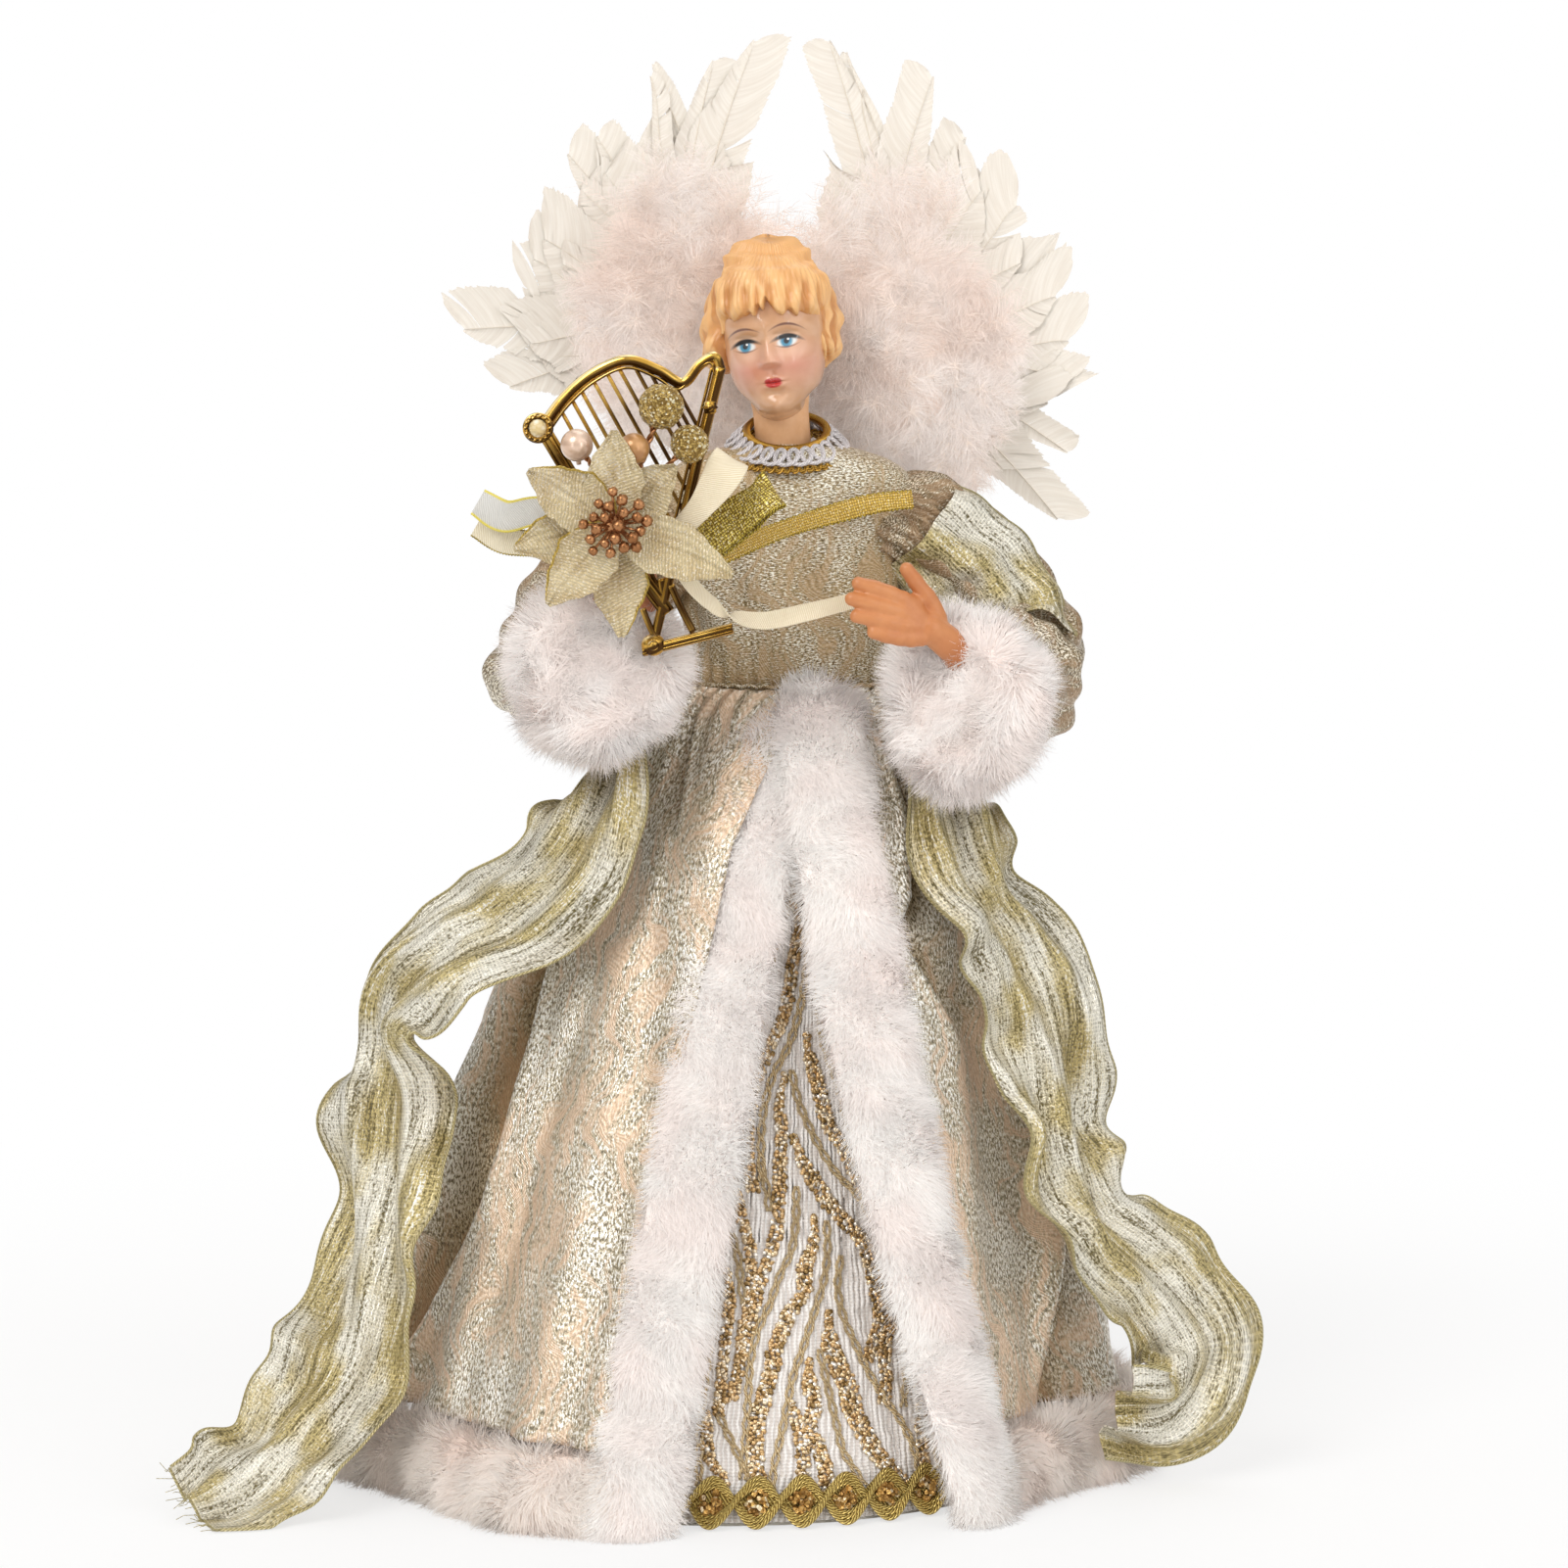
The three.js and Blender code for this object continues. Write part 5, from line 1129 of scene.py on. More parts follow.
CORD_LINES = [
    [(1, 71), (3, 66), (4, 61)],
    [(8, 89), (10, 83), (14, 76), (19, 69), (25, 63), (28, 58), (30, 53), (31, 48), (32, 44)],
    [(10, 66), (10, 59), (9, 53), (7, 49), (5, 43), (3, 38), (2, 32), (2, 26), (2, 20), (2, 9)],
    [(17, 59), (17, 53), (16, 47), (14, 41), (12, 35), (10, 29), (9, 23), (8, 17), (7, 11), (7, 7)],
    [(20, 52), (19, 46), (20, 40), (22, 35), (24, 30), (27, 24), (30, 19), (32, 14), (33, 8)],
    [(15, 34), (16, 29), (17, 24), (18, 19), (19, 14), (21, 10), (23, 6)],
    [(-4, 57), (-2, 52), (-1, 47), (0, 43)],
    [(34, 36), (33, 31), (32, 26), (31, 21)],
    [(-3, 22), (-1, 18), (1, 14), (4, 8)],
    [(3, 148), (7, 134), (5, 124), (2, 116), (-1, 108), (-2, 101), (-2, 98), (-4, 91), (-6, 78), (-7, 66)],
    [(12, 130), (13, 115), (12, 109), (10, 101), (7, 94), (3, 88), (1, 81), (1, 74), (2, 67)],
    [(15, 112), (16, 103), (17, 95), (21, 86), (23, 79), (27, 71), (31, 62)],
    [(-8, 62), (-7, 48), (-6, 34), (-6, 20), (-5, 8)],
    [(-15, 60), (-14, 42), (-12, 26), (-12, 8)],
    [(38, 46), (38, 32), (37, 18), (37, 8)],
]


def cone_line(knots, step):
    """Even steps down a line given by degrees and height."""
    flat = curve_at([(d, z, 0) for d, z in knots], np.linspace(0, 1, 300))
    line = on_cone(flat[:, 0], flat[:, 1])
    run = run_along(line)
    at = np.arange(0, run[-1], step)
    return np.interp(at, run, flat[:, 0]), np.interp(at, run, flat[:, 1]), at / run[-1]


def make_underskirt(knit, cord, sequin):
    degrees = row(-46, 46, 260)
    z = column(0.9, 152, 180)
    rib = 0.16 * np.sin(degrees * 5.2 + 0.7 * np.sin(z * 0.11)) + 0.1 * np.sin(z * 2.4 + degrees)
    points = on_cone(degrees, z, 1.2 + rib)
    shell = Shell()
    shell.cloth(points, 1.1, pair(degrees * 0.9, z))
    piece = shell.build("underskirt_cloth", knit, "figure", "sequin_knit", ["underskirt_front"])
    cords = Shell()
    for knots in CORD_LINES:
        degrees, z, _ = cone_line(knots, 0.5)
        for side in (-0.45, 0.45):
            turn = np.arange(len(z)) * 0.9 + (0 if side < 0 else math.pi)
            wide = side + 0.18 * np.cos(turn)
            spot = np.degrees(wide / lerp(CONE_FOOT, CONE_TOP, z / CONE_HEIGHT))
            cords.tube(on_cone(degrees + spot, z, 2.1 + 0.2 * np.sin(turn)), 0.36, 6)
    cords.build("underskirt_cords", cord, "figure", "sequin_knit")
    rng = np.random.default_rng(21)
    discs = Shell()
    corner = np.arange(6) / 6 * TURN
    for knots, width in SEQUIN_BANDS:
        degrees, z, share = cone_line(knots, 0.62)
        radius = lerp(CONE_FOOT, CONE_TOP, z / CONE_HEIGHT)
        lanes = int(round(width / 0.85))
        for lane in range(lanes):
            grow = np.clip(share * 6, 0.25, 1)
            aside = ((lane + 0.5) / lanes - 0.5) * width * grow + rng.normal(size=len(z)) * 0.16
            base = on_cone(degrees + np.degrees(aside / radius), z + rng.normal(size=len(z)) * 0.2, 2.25)
            out = unit(on_cone(degrees, z, 3) - on_cone(degrees, z, 0))
            normal = unit(out + rng.normal(size=out.shape) * 0.33)
            a = unit(np.cross(normal, (0, 0, 1.0)))
            b = np.cross(normal, a)
            size = 0.56 + 0.06 * rng.random((len(z), 1, 1))
            rim = (a[:, None] * np.cos(corner)[:, None] + b[:, None] * np.sin(corner)[:, None]) * size
            thick = normal[:, None] * 0.05
            both = np.concatenate([base[:, None] + rim + thick, base[:, None] + rim - thick], 1)
            first = np.arange(len(z))[:, None] * 12
            k = np.arange(6)
            side_faces = np.stack([k, k + 6, (k + 1) % 6 + 6, (k + 1) % 6], -1)
            faces = [(first + k[None, :]), (first + 11 - k[None, :]),
                     (first[:, :, None] + side_faces[None]).reshape(-1, 4)]
            discs.add(both, faces, tone=np.repeat(rng.random(len(z)), 12))
    discs.build("underskirt_sequins", sequin, "figure", "sequin_knit")


def make_hem_braid(cord, glitter):
    cords = Shell()
    eyes, start, span = 7, -13.4, 49.8
    degrees = np.linspace(start, start + span, 900)
    wave = (degrees - start) / span * eyes * math.pi
    for gap in (-0.95, 0.0, 0.95):
        for side in (-1, 1):
            z = 5.5 + side * np.sin(wave) * (3.7 + gap)
            out = 4.3 + 0.5 * side * np.cos(wave) + 0.2 * gap
            cords.tube(on_cone(degrees, np.maximum(z, 0.6), out), 0.56, 7)
    cords.tube(on_cone(degrees, 5.6 + 0.15 * np.sin(wave * 3), 4.9), 0.16, 5)
    half = 1.2 + 3.0 * np.abs(np.sin(wave))
    share = column(-1, 1, 9)
    behind = on_cone(degrees[None, :], np.maximum(5.5 + share * half, 0.5), 3.6 + 0.3 * np.cos(share * 1.5))
    cords.grid(behind, pair(degrees * 1.3, share * half))
    cords.build("hem_braid_cords", cord, "figure", "gold_gimp", ["hem_braid"])
    beads = Shell()
    rng = np.random.default_rng(8)
    for k in range(eyes):
        middle = start + (k + 0.5) * span / eyes
        for _ in range(26):
            turn, reach = rng.random() * TURN, math.sqrt(rng.random()) * 2.3
            size = 0.62 + 0.25 * rng.random()
            spot = on_cone(middle + np.degrees(reach * math.cos(turn) / 74), 5.4 + reach * math.sin(turn),
                           5.2 - 0.28 * reach**2 + 0.3 * rng.random())
            beads.ball(spot, (size, size, size), 7, 5)
    beads.build("hem_braid_beads", glitter, "figure", "gold_gimp")


# Collar: white looped gimp between two rows of gold


def make_collar(white, gold):
    def ring(angle, reach, height):
        sin, cos = np.sin(angle), np.cos(angle)
        return stack(12.3 + reach * sin, -0.5 - reach * cos, 217.3 + height - 3.4 * cos)

    turn = ring_turns(1800)
    whites = Shell()
    loops = 24
    phase = turn * loops
    for shift, size in ((0.0, 0.46), (0.5, 0.4)):
        lean_to = 1.75 * np.sin(phase + shift)
        reach = 11.2 + 1.8 * np.cos(phase + shift)
        height = -1.5 * np.cos(phase + shift) + 0.6 + 0.35 * np.sin(phase + shift)
        whites.tube(ring(turn + lean_to / 11.5, reach, height), size, 7, closed=True, first=(0, 0, 1))
    whites.build("collar_white_gimp", white, "figure", "white_gimp", ["collar_braid"])
    golds = Shell()
    for strand in range(3):
        twist = turn * 60 + strand * TURN / 3
        golds.tube(ring(turn, 8.6 + 0.45 * np.cos(twist), 2.2 + 0.45 * np.sin(twist)), 0.45, 6, closed=True,
                   first=(0, 0, 1))
    for strand in range(2):
        swing = turn * loops + strand * math.pi
        golds.tube(ring(turn, 12.6 + 0.7 * np.cos(swing), -1.7 - 0.7 * np.cos(swing)), 0.5, 6, closed=True,
                   first=(0, 0, 1))
    golds.build("collar_gold_gimp", gold, "figure", "gold_gimp")


# Head: face, neck and moulded hair as three meshes; made upright, then turned and tilted into place

HEAD_BASE = np.array([11.8, 0.0, 215.0])
HEAD_YAW, HEAD_TILT = math.radians(-5), math.radians(-4.5)
FACE_MIDDLE, FACE_ROLL = (-1.0, 23.5), math.radians(4)


def head_place(points):
    x, y, z = points[..., 0], points[..., 1], points[..., 2]
    x, y = spun(x, y, HEAD_YAW)
    z, x = spun(z, x, HEAD_TILT)
    return np.stack([x, y, z], -1) + HEAD_BASE


def face_frame(x, z):
    """Across and up from the middle of the eyes, in the face's own tilt."""
    return spun(x - FACE_MIDDLE[0], z - FACE_MIDDLE[1], -FACE_ROLL)


# Face outline: height, half width, depth of the front and of the back
FACE_PROFILE = np.array([
    [6.6, 5.6, 4.6, 6.0], [7.6, 5.7, 6.8, 6.2], [8.6, 5.9, 9.4, 6.6], [10.4, 6.9, 11.0, 7.4],
    [13, 8.3, 11.5, 8.6], [16, 9.6, 12.0, 9.6], [20, 10.5, 12.4, 10.4], [24, 10.9, 12.4, 11],
    [28, 11.0, 12.9, 11.4], [33, 10.6, 12.2, 11.4], [37, 8.6, 9.4, 9.6], [40, 4, 4, 5],
])


def face_relief(u, v):
    """How far the features stand out from the plain face."""
    nose_top = smooth(3.2, -3.2, v)
    nose = (0.5 + 1.9 * nose_top) * np.exp(-(((u - 0.4) / (1.1 + 0.6 * nose_top)) ** 2))
    nose = nose * smooth(-5.4, -3.7, v) * smooth(6, 2.0, v)
    wings = 0.6 * (hump(u, 2.0, 0.75) + hump(u, -1.2, 0.75)) * hump(v, -4.0, 0.8)
    twin = lambda middle, width: hump(u, middle, width) + hump(u, -middle, width)
    eyes = -1.25 * twin(4.4, 3.0) * hump(v, 0.6, 2.3) + 0.75 * twin(4.4, 2.2) * hump(v, -0.2, 1.4)
    eyes = eyes - 0.3 * twin(4.4, 2.4) * hump(v, 1.75, 0.35)
    brows = 0.5 * twin(4.6, 3.4) * hump(v, 3.4, 1.5)
    cheeks = 0.7 * (hump(u, 5.6, 2.8) + hump(u, -5.2, 2.8)) * hump(v, -4.4, 3.2)
    upper = 0.75 * hump(u, 0.55, 1.9) * hump(v, -7.65, 0.6) * (1 - 0.35 * hump(u, 0.55, 0.4))
    lower = 0.85 * hump(u, 0.55, 1.6) * hump(v, -8.9, 0.65)
    parting = -0.35 * hump(u, 0.55, 2.0) * hump(v, -8.25, 0.22)
    groove = -0.22 * hump(u, 0.5, 0.5) * hump(v, -6.3, 0.7)
    under_lip = -0.6 * hump(u, 0.5, 2.2) * hump(v, -10.5, 0.9)
    chin = 0.9 * hump(u, 0.3, 2.8) * hump(v, -13.4, 1.9)
    return nose + wings + eyes + brows + cheeks + upper + lower + parting + groove + under_lip + chin


def face_points(rows, columns):
    t = np.linspace(0, 1, rows)
    spot = np.interp(t, [0, 0.12, 0.9, 1], [0, 0.16, 0.94, 1])
    first = curve_at(FACE_PROFILE[:, :3], spot)
    back = curve_at(FACE_PROFILE[:, [0, 1, 3]], spot)[:, 2:]
    z, wide, front = first[:, :1], first[:, 1:2], first[:, 2:]
    angle = ring_turns(columns)[None, :]
    sin, cos = np.sin(angle), np.cos(angle)
    x = wide * np.sign(sin) * np.abs(sin) ** lerp(1.2, 0.92, smooth(9, 17, z))
    y = np.where(cos > 0, -front * np.abs(cos) ** 0.86, back * np.abs(cos) ** 0.9)
    z = z + 4.6 * smooth(15, 6.5, z) * (1 - np.clip(cos, 0, 1) ** 0.8)
    u, v = face_frame(x, z)
    y = y - face_relief(u, v) * smooth(0.15, 0.5, cos)
    return stack(x, y, z), u, v


HAIR_LUMPS = [
    ((-0.8, 3.4, 29), (14.4, 12.8, 12.4)), ((0, -2.0, 34.6), (12.4, 11.6, 7.6)),
    ((-11.6, 2.4, 24.2), (4.2, 7.4, 7.0)), ((9.6, 2.4, 24.6), (4.2, 7.4, 6.8)),
    ((-0.6, 2.4, 40.4), (9.4, 8.8, 5.8)), ((0, 6, 21), (11, 8.5, 9)), ((0, -4.5, 31.6), (11.4, 10.6, 5.0)),
]
HAIR_MIDDLE = np.array([0.0, 1.5, 28.5])


def hair_points(rows, columns):
    lat = column(-math.pi / 2 + 0.02, math.pi / 2 - 0.02, rows)
    lon = ring_turns(columns)[None, :]
    way = stack(np.cos(lat) * np.sin(lon), -np.cos(lat) * np.cos(lon), np.sin(lat))
    reach = np.zeros(way.shape[:2])
    for centre, radii in HAIR_LUMPS:
        offset = (HAIR_MIDDLE - centre) / np.asarray(radii)
        ray = way / np.asarray(radii)
        a, b, c = (ray**2).sum(-1), (ray * offset).sum(-1), (offset**2).sum() - 1
        inside = b * b - a * c
        far = np.where(inside > 0, (-b + np.sqrt(np.maximum(inside, 0))) / a, 0)
        reach = np.log(np.exp(reach * 1.6) + np.exp(np.maximum(far, 0) * 1.6)) / 1.6
    spot = HAIR_MIDDLE + way * reach[..., None]
    x, y, z = spot[..., 0], spot[..., 1], spot[..., 2]
    around = np.arctan2(x, -y)
    front = smooth(2, -5, y)
    side_wave = np.sin(z * 0.95 + 1.2 * np.sin(around * 2.0) + y * 0.35)
    side_wave = side_wave * smooth(9, 12, np.abs(x)) * smooth(34, 29, z)
    sweep = np.sin(around * 11 + 2.2 * np.sin(z * 0.3 + 1) + 0.8 * np.sin(around * 5)) * smooth(44, 36, z)
    lane = x * 0.98 + 0.5 + 0.6 * np.sin(x * 0.52 + 1.1) + 0.08 * (36 - z) * np.sin(x * 0.9 + 2)
    fringe = np.cos(2 * lane + 0.5 * np.sin(z * 0.5)) * front * smooth(37.5, 33, z)
    fine = np.sin(around * 62 + 3 * np.sin(z * 0.4)) * 0.12 + np.sin(around * 105 + z) * 0.06
    bun = np.sin(z * 2.3 + 1.1 * np.sin(around * 2 + 0.8)) * smooth(37, 40.5, z) * 0.35
    dent = -1.5 * hump(z, 38.6, 0.8) * smooth(-4, 2, y + 6)
    relief = 0.5 * side_wave + 0.2 * sweep * (1 - front * 0.6) + 0.42 * fringe + fine + bun + dent * 0.35
    lock = 1.15 * np.abs(np.sin(lane)) + 0.45 * np.sin(x * 0.83 + 2.0) + 0.16 * np.sin(x * 2.9) + 0.05 * x
    hairline = 30.0 + lock * 1.35 - 0.045 * (x + 1) ** 2
    notch = 1.6 * hump(x, -0.3, 0.45)
    side = 9.7 + 0.5 * np.sin(z * 1.3) + 0.35 * smooth(20, 29, z)
    below = smooth(0.5, -0.5, z - hairline - notch)
    between = smooth(0.5, -0.5, np.abs(x + 0.4) - side)
    open_face = below * between * smooth(0, -3, y)
    under = smooth(17.4, 15.4, z + 0.25 * np.sin(around * 9)) * smooth(9, 3, y)
    hidden = np.maximum(open_face, under)
    reach = (reach + relief) * (1 - hidden) + hidden * np.minimum(reach * 0.7, 9.0)
    gaps = 0.5 * hump(z - hairline, 0, 0.8) + 0.9 * smooth(36.5, 33, z) * np.abs(np.sin(lane)) ** 12
    shade = np.clip(0.55 + 0.2 * sweep + 0.3 * side_wave + 0.4 * fringe - gaps * front, 0, 1)
    return HAIR_MIDDLE + way * reach[..., None], shade


def face_strokes():
    """The paint on the face, each stroke an oval spot.

    Colour, strength and softness, then place across and up, half width, half height, tilt and bow."""
    strokes = []
    for side in (-1, 1):
        strokes += [
            ("#dc8878", 0.75, 1.3, side * 5.0 + 0.2, -4.6, 3.9, 2.8, 0, 0),
            ("#f0cdb0", 0.55, 1.4, side * 4.6, -2.2, 3.0, 1.3, 0, 0),
        ]
    strokes += [
        ("#e6b08a", 0.5, 1.2, 0.5, -2.6, 0.9, 2.0, 0, 0),
        # Painted shade under the nose
        ("#c07c58", 0.25, 0.9, 0.5, -5.0, 1.4, 0.35, 0, 0),
    ]
    for side in (-1, 1):
        x = side * 4.43
        strokes += [
            ("#b98a68", 0.8, 0.5, x, 1.55, 2.5, 0.3, 0, 0.55),
            ("#dfe2e0", 1, 0.15, x, -0.05, 2.05, 0.98, side * 0.06, 0),
            ("#4d94b3", 1, 0.2, x - 0.1, 0.02, 1.2, 1.25, 0, 0),
            ("#2f6d8f", 0.8, 0.5, x - 0.1, 0.5, 1.15, 0.75, 0, 0),
            ("#10161c", 1, 0.25, x - 0.1, 0.12, 0.58, 0.62, 0, 0),
            ("#ffffff", 1, 0.3, x + 0.3, 0.5, 0.26, 0.26, 0, 0),
            ("#ddb08c", 1, 0.25, x, 1.75, 2.9, 0.75, 0, 0.9),
            ("#15100e", 1, 0.3, x + side * 0.15, 1.14, 3.0, 0.52, side * -0.06, 0.8),
            ("#6a4434", 0.7, 0.5, x, -1.12, 2.1, 0.18, 0, -0.35),
            ("#74452c", 1, 0.4, x + side * 0.5, 3.7, 3.1, 0.26, side * -0.1, 0.95),
        ]
    strokes += [("#b01f18", 1, 0.18, x, -7.75, 1.15, 0.55, 0, 0.1) for x in (-0.35, 0.95)]
    strokes += [
        ("#c4231b", 1, 0.18, 0.35, -8.55, 1.75, 0.7, 0, -0.12),
        ("#7c0f0c", 0.9, 0.4, 0.35, -8.15, 1.85, 0.11, 0, -0.1),
    ]
    return strokes


def face_material():
    w = Finish("painted_face", roughness=0.35, Coat_Weight=1.0, Coat_Roughness=0.07)
    at = w.uv
    mottle = w.ramp(w.noise(at, 0.22, 3.0), 0.3, 0.7)
    colour = w.mix(mottle, "#d9a982", "#cd9a70")

    for tint, strength, soft, x, y, wide, high, tilt, bow in face_strokes():
        mask = w.effect("spot", Place=at, Softness=soft, Strength=strength, X=x, Y=y, Half_width=wide,
                        Half_height=high, Tilt=tilt, Bow=bow)["Mask"]
        colour = w.mix(mask, colour, tint)
    w.shade(Base_Color=colour)
    w.bump(w.noise(w.object, 260.0, 2.0), 0.12, 0.0003)
    return w.material


def hair_material():
    w = Finish("painted_hair", roughness=0.42, Coat_Weight=0.35, Coat_Roughness=0.2)
    place = w.split(w.uv)
    colour = w.mix(w.ramp(place[0], 0.1, 0.75), "#c98748", "#efbd80")
    patch = w.ramp(w.noise(w.object, 130.0, 3.0), 0.35, 0.65)
    colour = w.mix(w.times(patch, 0.45), colour, "#ebb06c")
    w.shade(Base_Color=colour)
    w.bump(w.noise(w.object, 420.0, 3.0), 0.3, 0.0004)
    return w.material


def make_head(face, hair, neck_paint):
    points, u, v = face_points(250, 380)
    shell = Shell()
    shell.grid(head_place(points), np.stack([u, v], -1), wrap=True)
    shell.build("face", face, "head", "painted_head", ["head"])
    points, shade = hair_points(240, 400)
    shell = Shell()
    shell.grid(head_place(points), np.stack([shade, shade], -1), wrap=True)
    shell.build("moulded_hair", hair, "head", "painted_head")
    z = column(-3.4, 14, 60)
    turn = np.linspace(0, TURN, 97)[None, :-1]
    radius = 5.9 + 0.5 * smooth(2, -4, z) + 0.5 * smooth(8, 13, z) + 0.12 * np.sin(3 * turn)
    neck = stack(radius * np.sin(turn), 0.4 - radius * np.cos(turn) + 0 * z, z)
    shell = Shell()
    shell.grid(head_place(neck), pair(turn * 6, z), wrap=True)
    shell.build("neck", neck_paint, "head", "painted_head")


# Hands


def melt(piece, voxel=0.00036, rounds=6):
    """Fuses a piece's parts into one smooth skin."""
    remesh = piece.modifiers.new("skin", "REMESH")
    remesh.mode, remesh.voxel_size = "VOXEL", voxel
    soften = piece.modifiers.new("soften", "SMOOTH")
    soften.factor, soften.iterations = 0.5, rounds
    depsgraph = bpy.context.evaluated_depsgraph_get()
    mesh = bpy.data.meshes.new_from_object(piece.evaluated_get(depsgraph))
    piece.modifiers.clear()
    old, piece.data = piece.data, mesh
    bpy.data.meshes.remove(old)
    mesh.polygons.foreach_set("use_smooth", np.ones(len(mesh.polygons), bool))
    return piece


def hand_shell(wrist, roots, fingers, thumb, radius):
    shell = Shell()

    def bone(path, low, high):
        line = even_line(path, 24)
        share = np.linspace(0, 1, 24)
        joints = 0.16 * (hump(share, 0.45, 0.08) + hump(share, 0.75, 0.07))
        sizes = lerp(low, high, share) + joints
        shell.tube(line, sizes, 12)
        shell.ball(line[-1], (sizes[-1],) * 3, 12, 8)
        shell.ball(line[0], (sizes[0],) * 3, 12, 8)

    bone(wrist, 3.2, 3.3)
    for root, finger in zip(roots, fingers):
        bone([wrist[-2], wrist[-1], root], 2.2, 2.0)
        bone(finger, radius * 1.08, radius * 0.86)
    bone(thumb, 2.0, 1.55)
    return shell


LEFT_WRIST = [(50.8, -36, 169), (48.6, -41, 172.8), (46, -46, 177.4), (41.6, -49.3, 181.4)]
RIGHT_WRIST = [(-27.4, -33, 176), (-26.6, -37, 179.5), (-25.4, -40.5, 184), (-23.5, -43, 188)]
LEFT_FINGERS = [
    [(38.4, -50, 186.2), (35.8, -51, 187.4), (31.5, -52.2, 189.4), (26.8, -52.6, 190.8)],
    [(38.6, -50.6, 184.0), (35.8, -51.6, 184.8), (31, -53, 186.3), (25.4, -53.4, 187.7)],
    [(39, -50.8, 181.7), (36.2, -51.8, 182.1), (31.6, -53, 183.2), (26.4, -53.6, 184.2)],
    [(39.8, -50.6, 179.6), (37.6, -51.2, 179.5), (34, -52.6, 179.9), (29.9, -53.4, 180.9)],
]
LEFT_THUMB = [(43.2, -48, 183.2), (41.8, -48.5, 186.4), (39.2, -49, 190), (36.7, -48.8, 193.4)]


def make_hands(left_paint, right_paint):
    roots = [finger[1] for finger in LEFT_FINGERS]
    piece = hand_shell(LEFT_WRIST, roots, LEFT_FINGERS, LEFT_THUMB, 1.72).build(
        "left_hand_skin", left_paint, "left_arm", "flesh_plastic", ["left_hand"])
    melt(piece)
    fingers = [[(-22.6, -43, 192 - 2.6 * k), (-21.4, -43, 193.4 - 2.6 * k), (-18.6, -44, 195.5 - 2.9 * k),
                (-15.6, -43.6, 194.5 - 3 * k)] for k in range(4)]
    roots = [finger[1] for finger in fingers]
    thumb = [(-24.5, -42, 186), (-22.5, -44.4, 189), (-19.5, -45.2, 190.5)]
    piece = hand_shell(RIGHT_WRIST, roots, fingers, thumb, 1.5).build(
        "right_hand_skin", right_paint, "figure", "flesh_plastic", ["right_hand"])
    melt(piece)


# Harp

HARP_Y = -48.0
HARP_NECK = [(-37.6, 222), (-33.2, 227.9), (-27.2, 233.1), (-20.2, 235.9), (-13.9, 233.9), (-8.9, 231.3),
             (-5.3, 235.1), (-2.4, 236.6), (-1.2, 233.9)]
HARP_CORNER, HARP_HEEL = (-1.3, 234.5), (-15.3, 176.9)


def on_harp(points, y=HARP_Y):
    return [(x, y, z) for x, z in points]


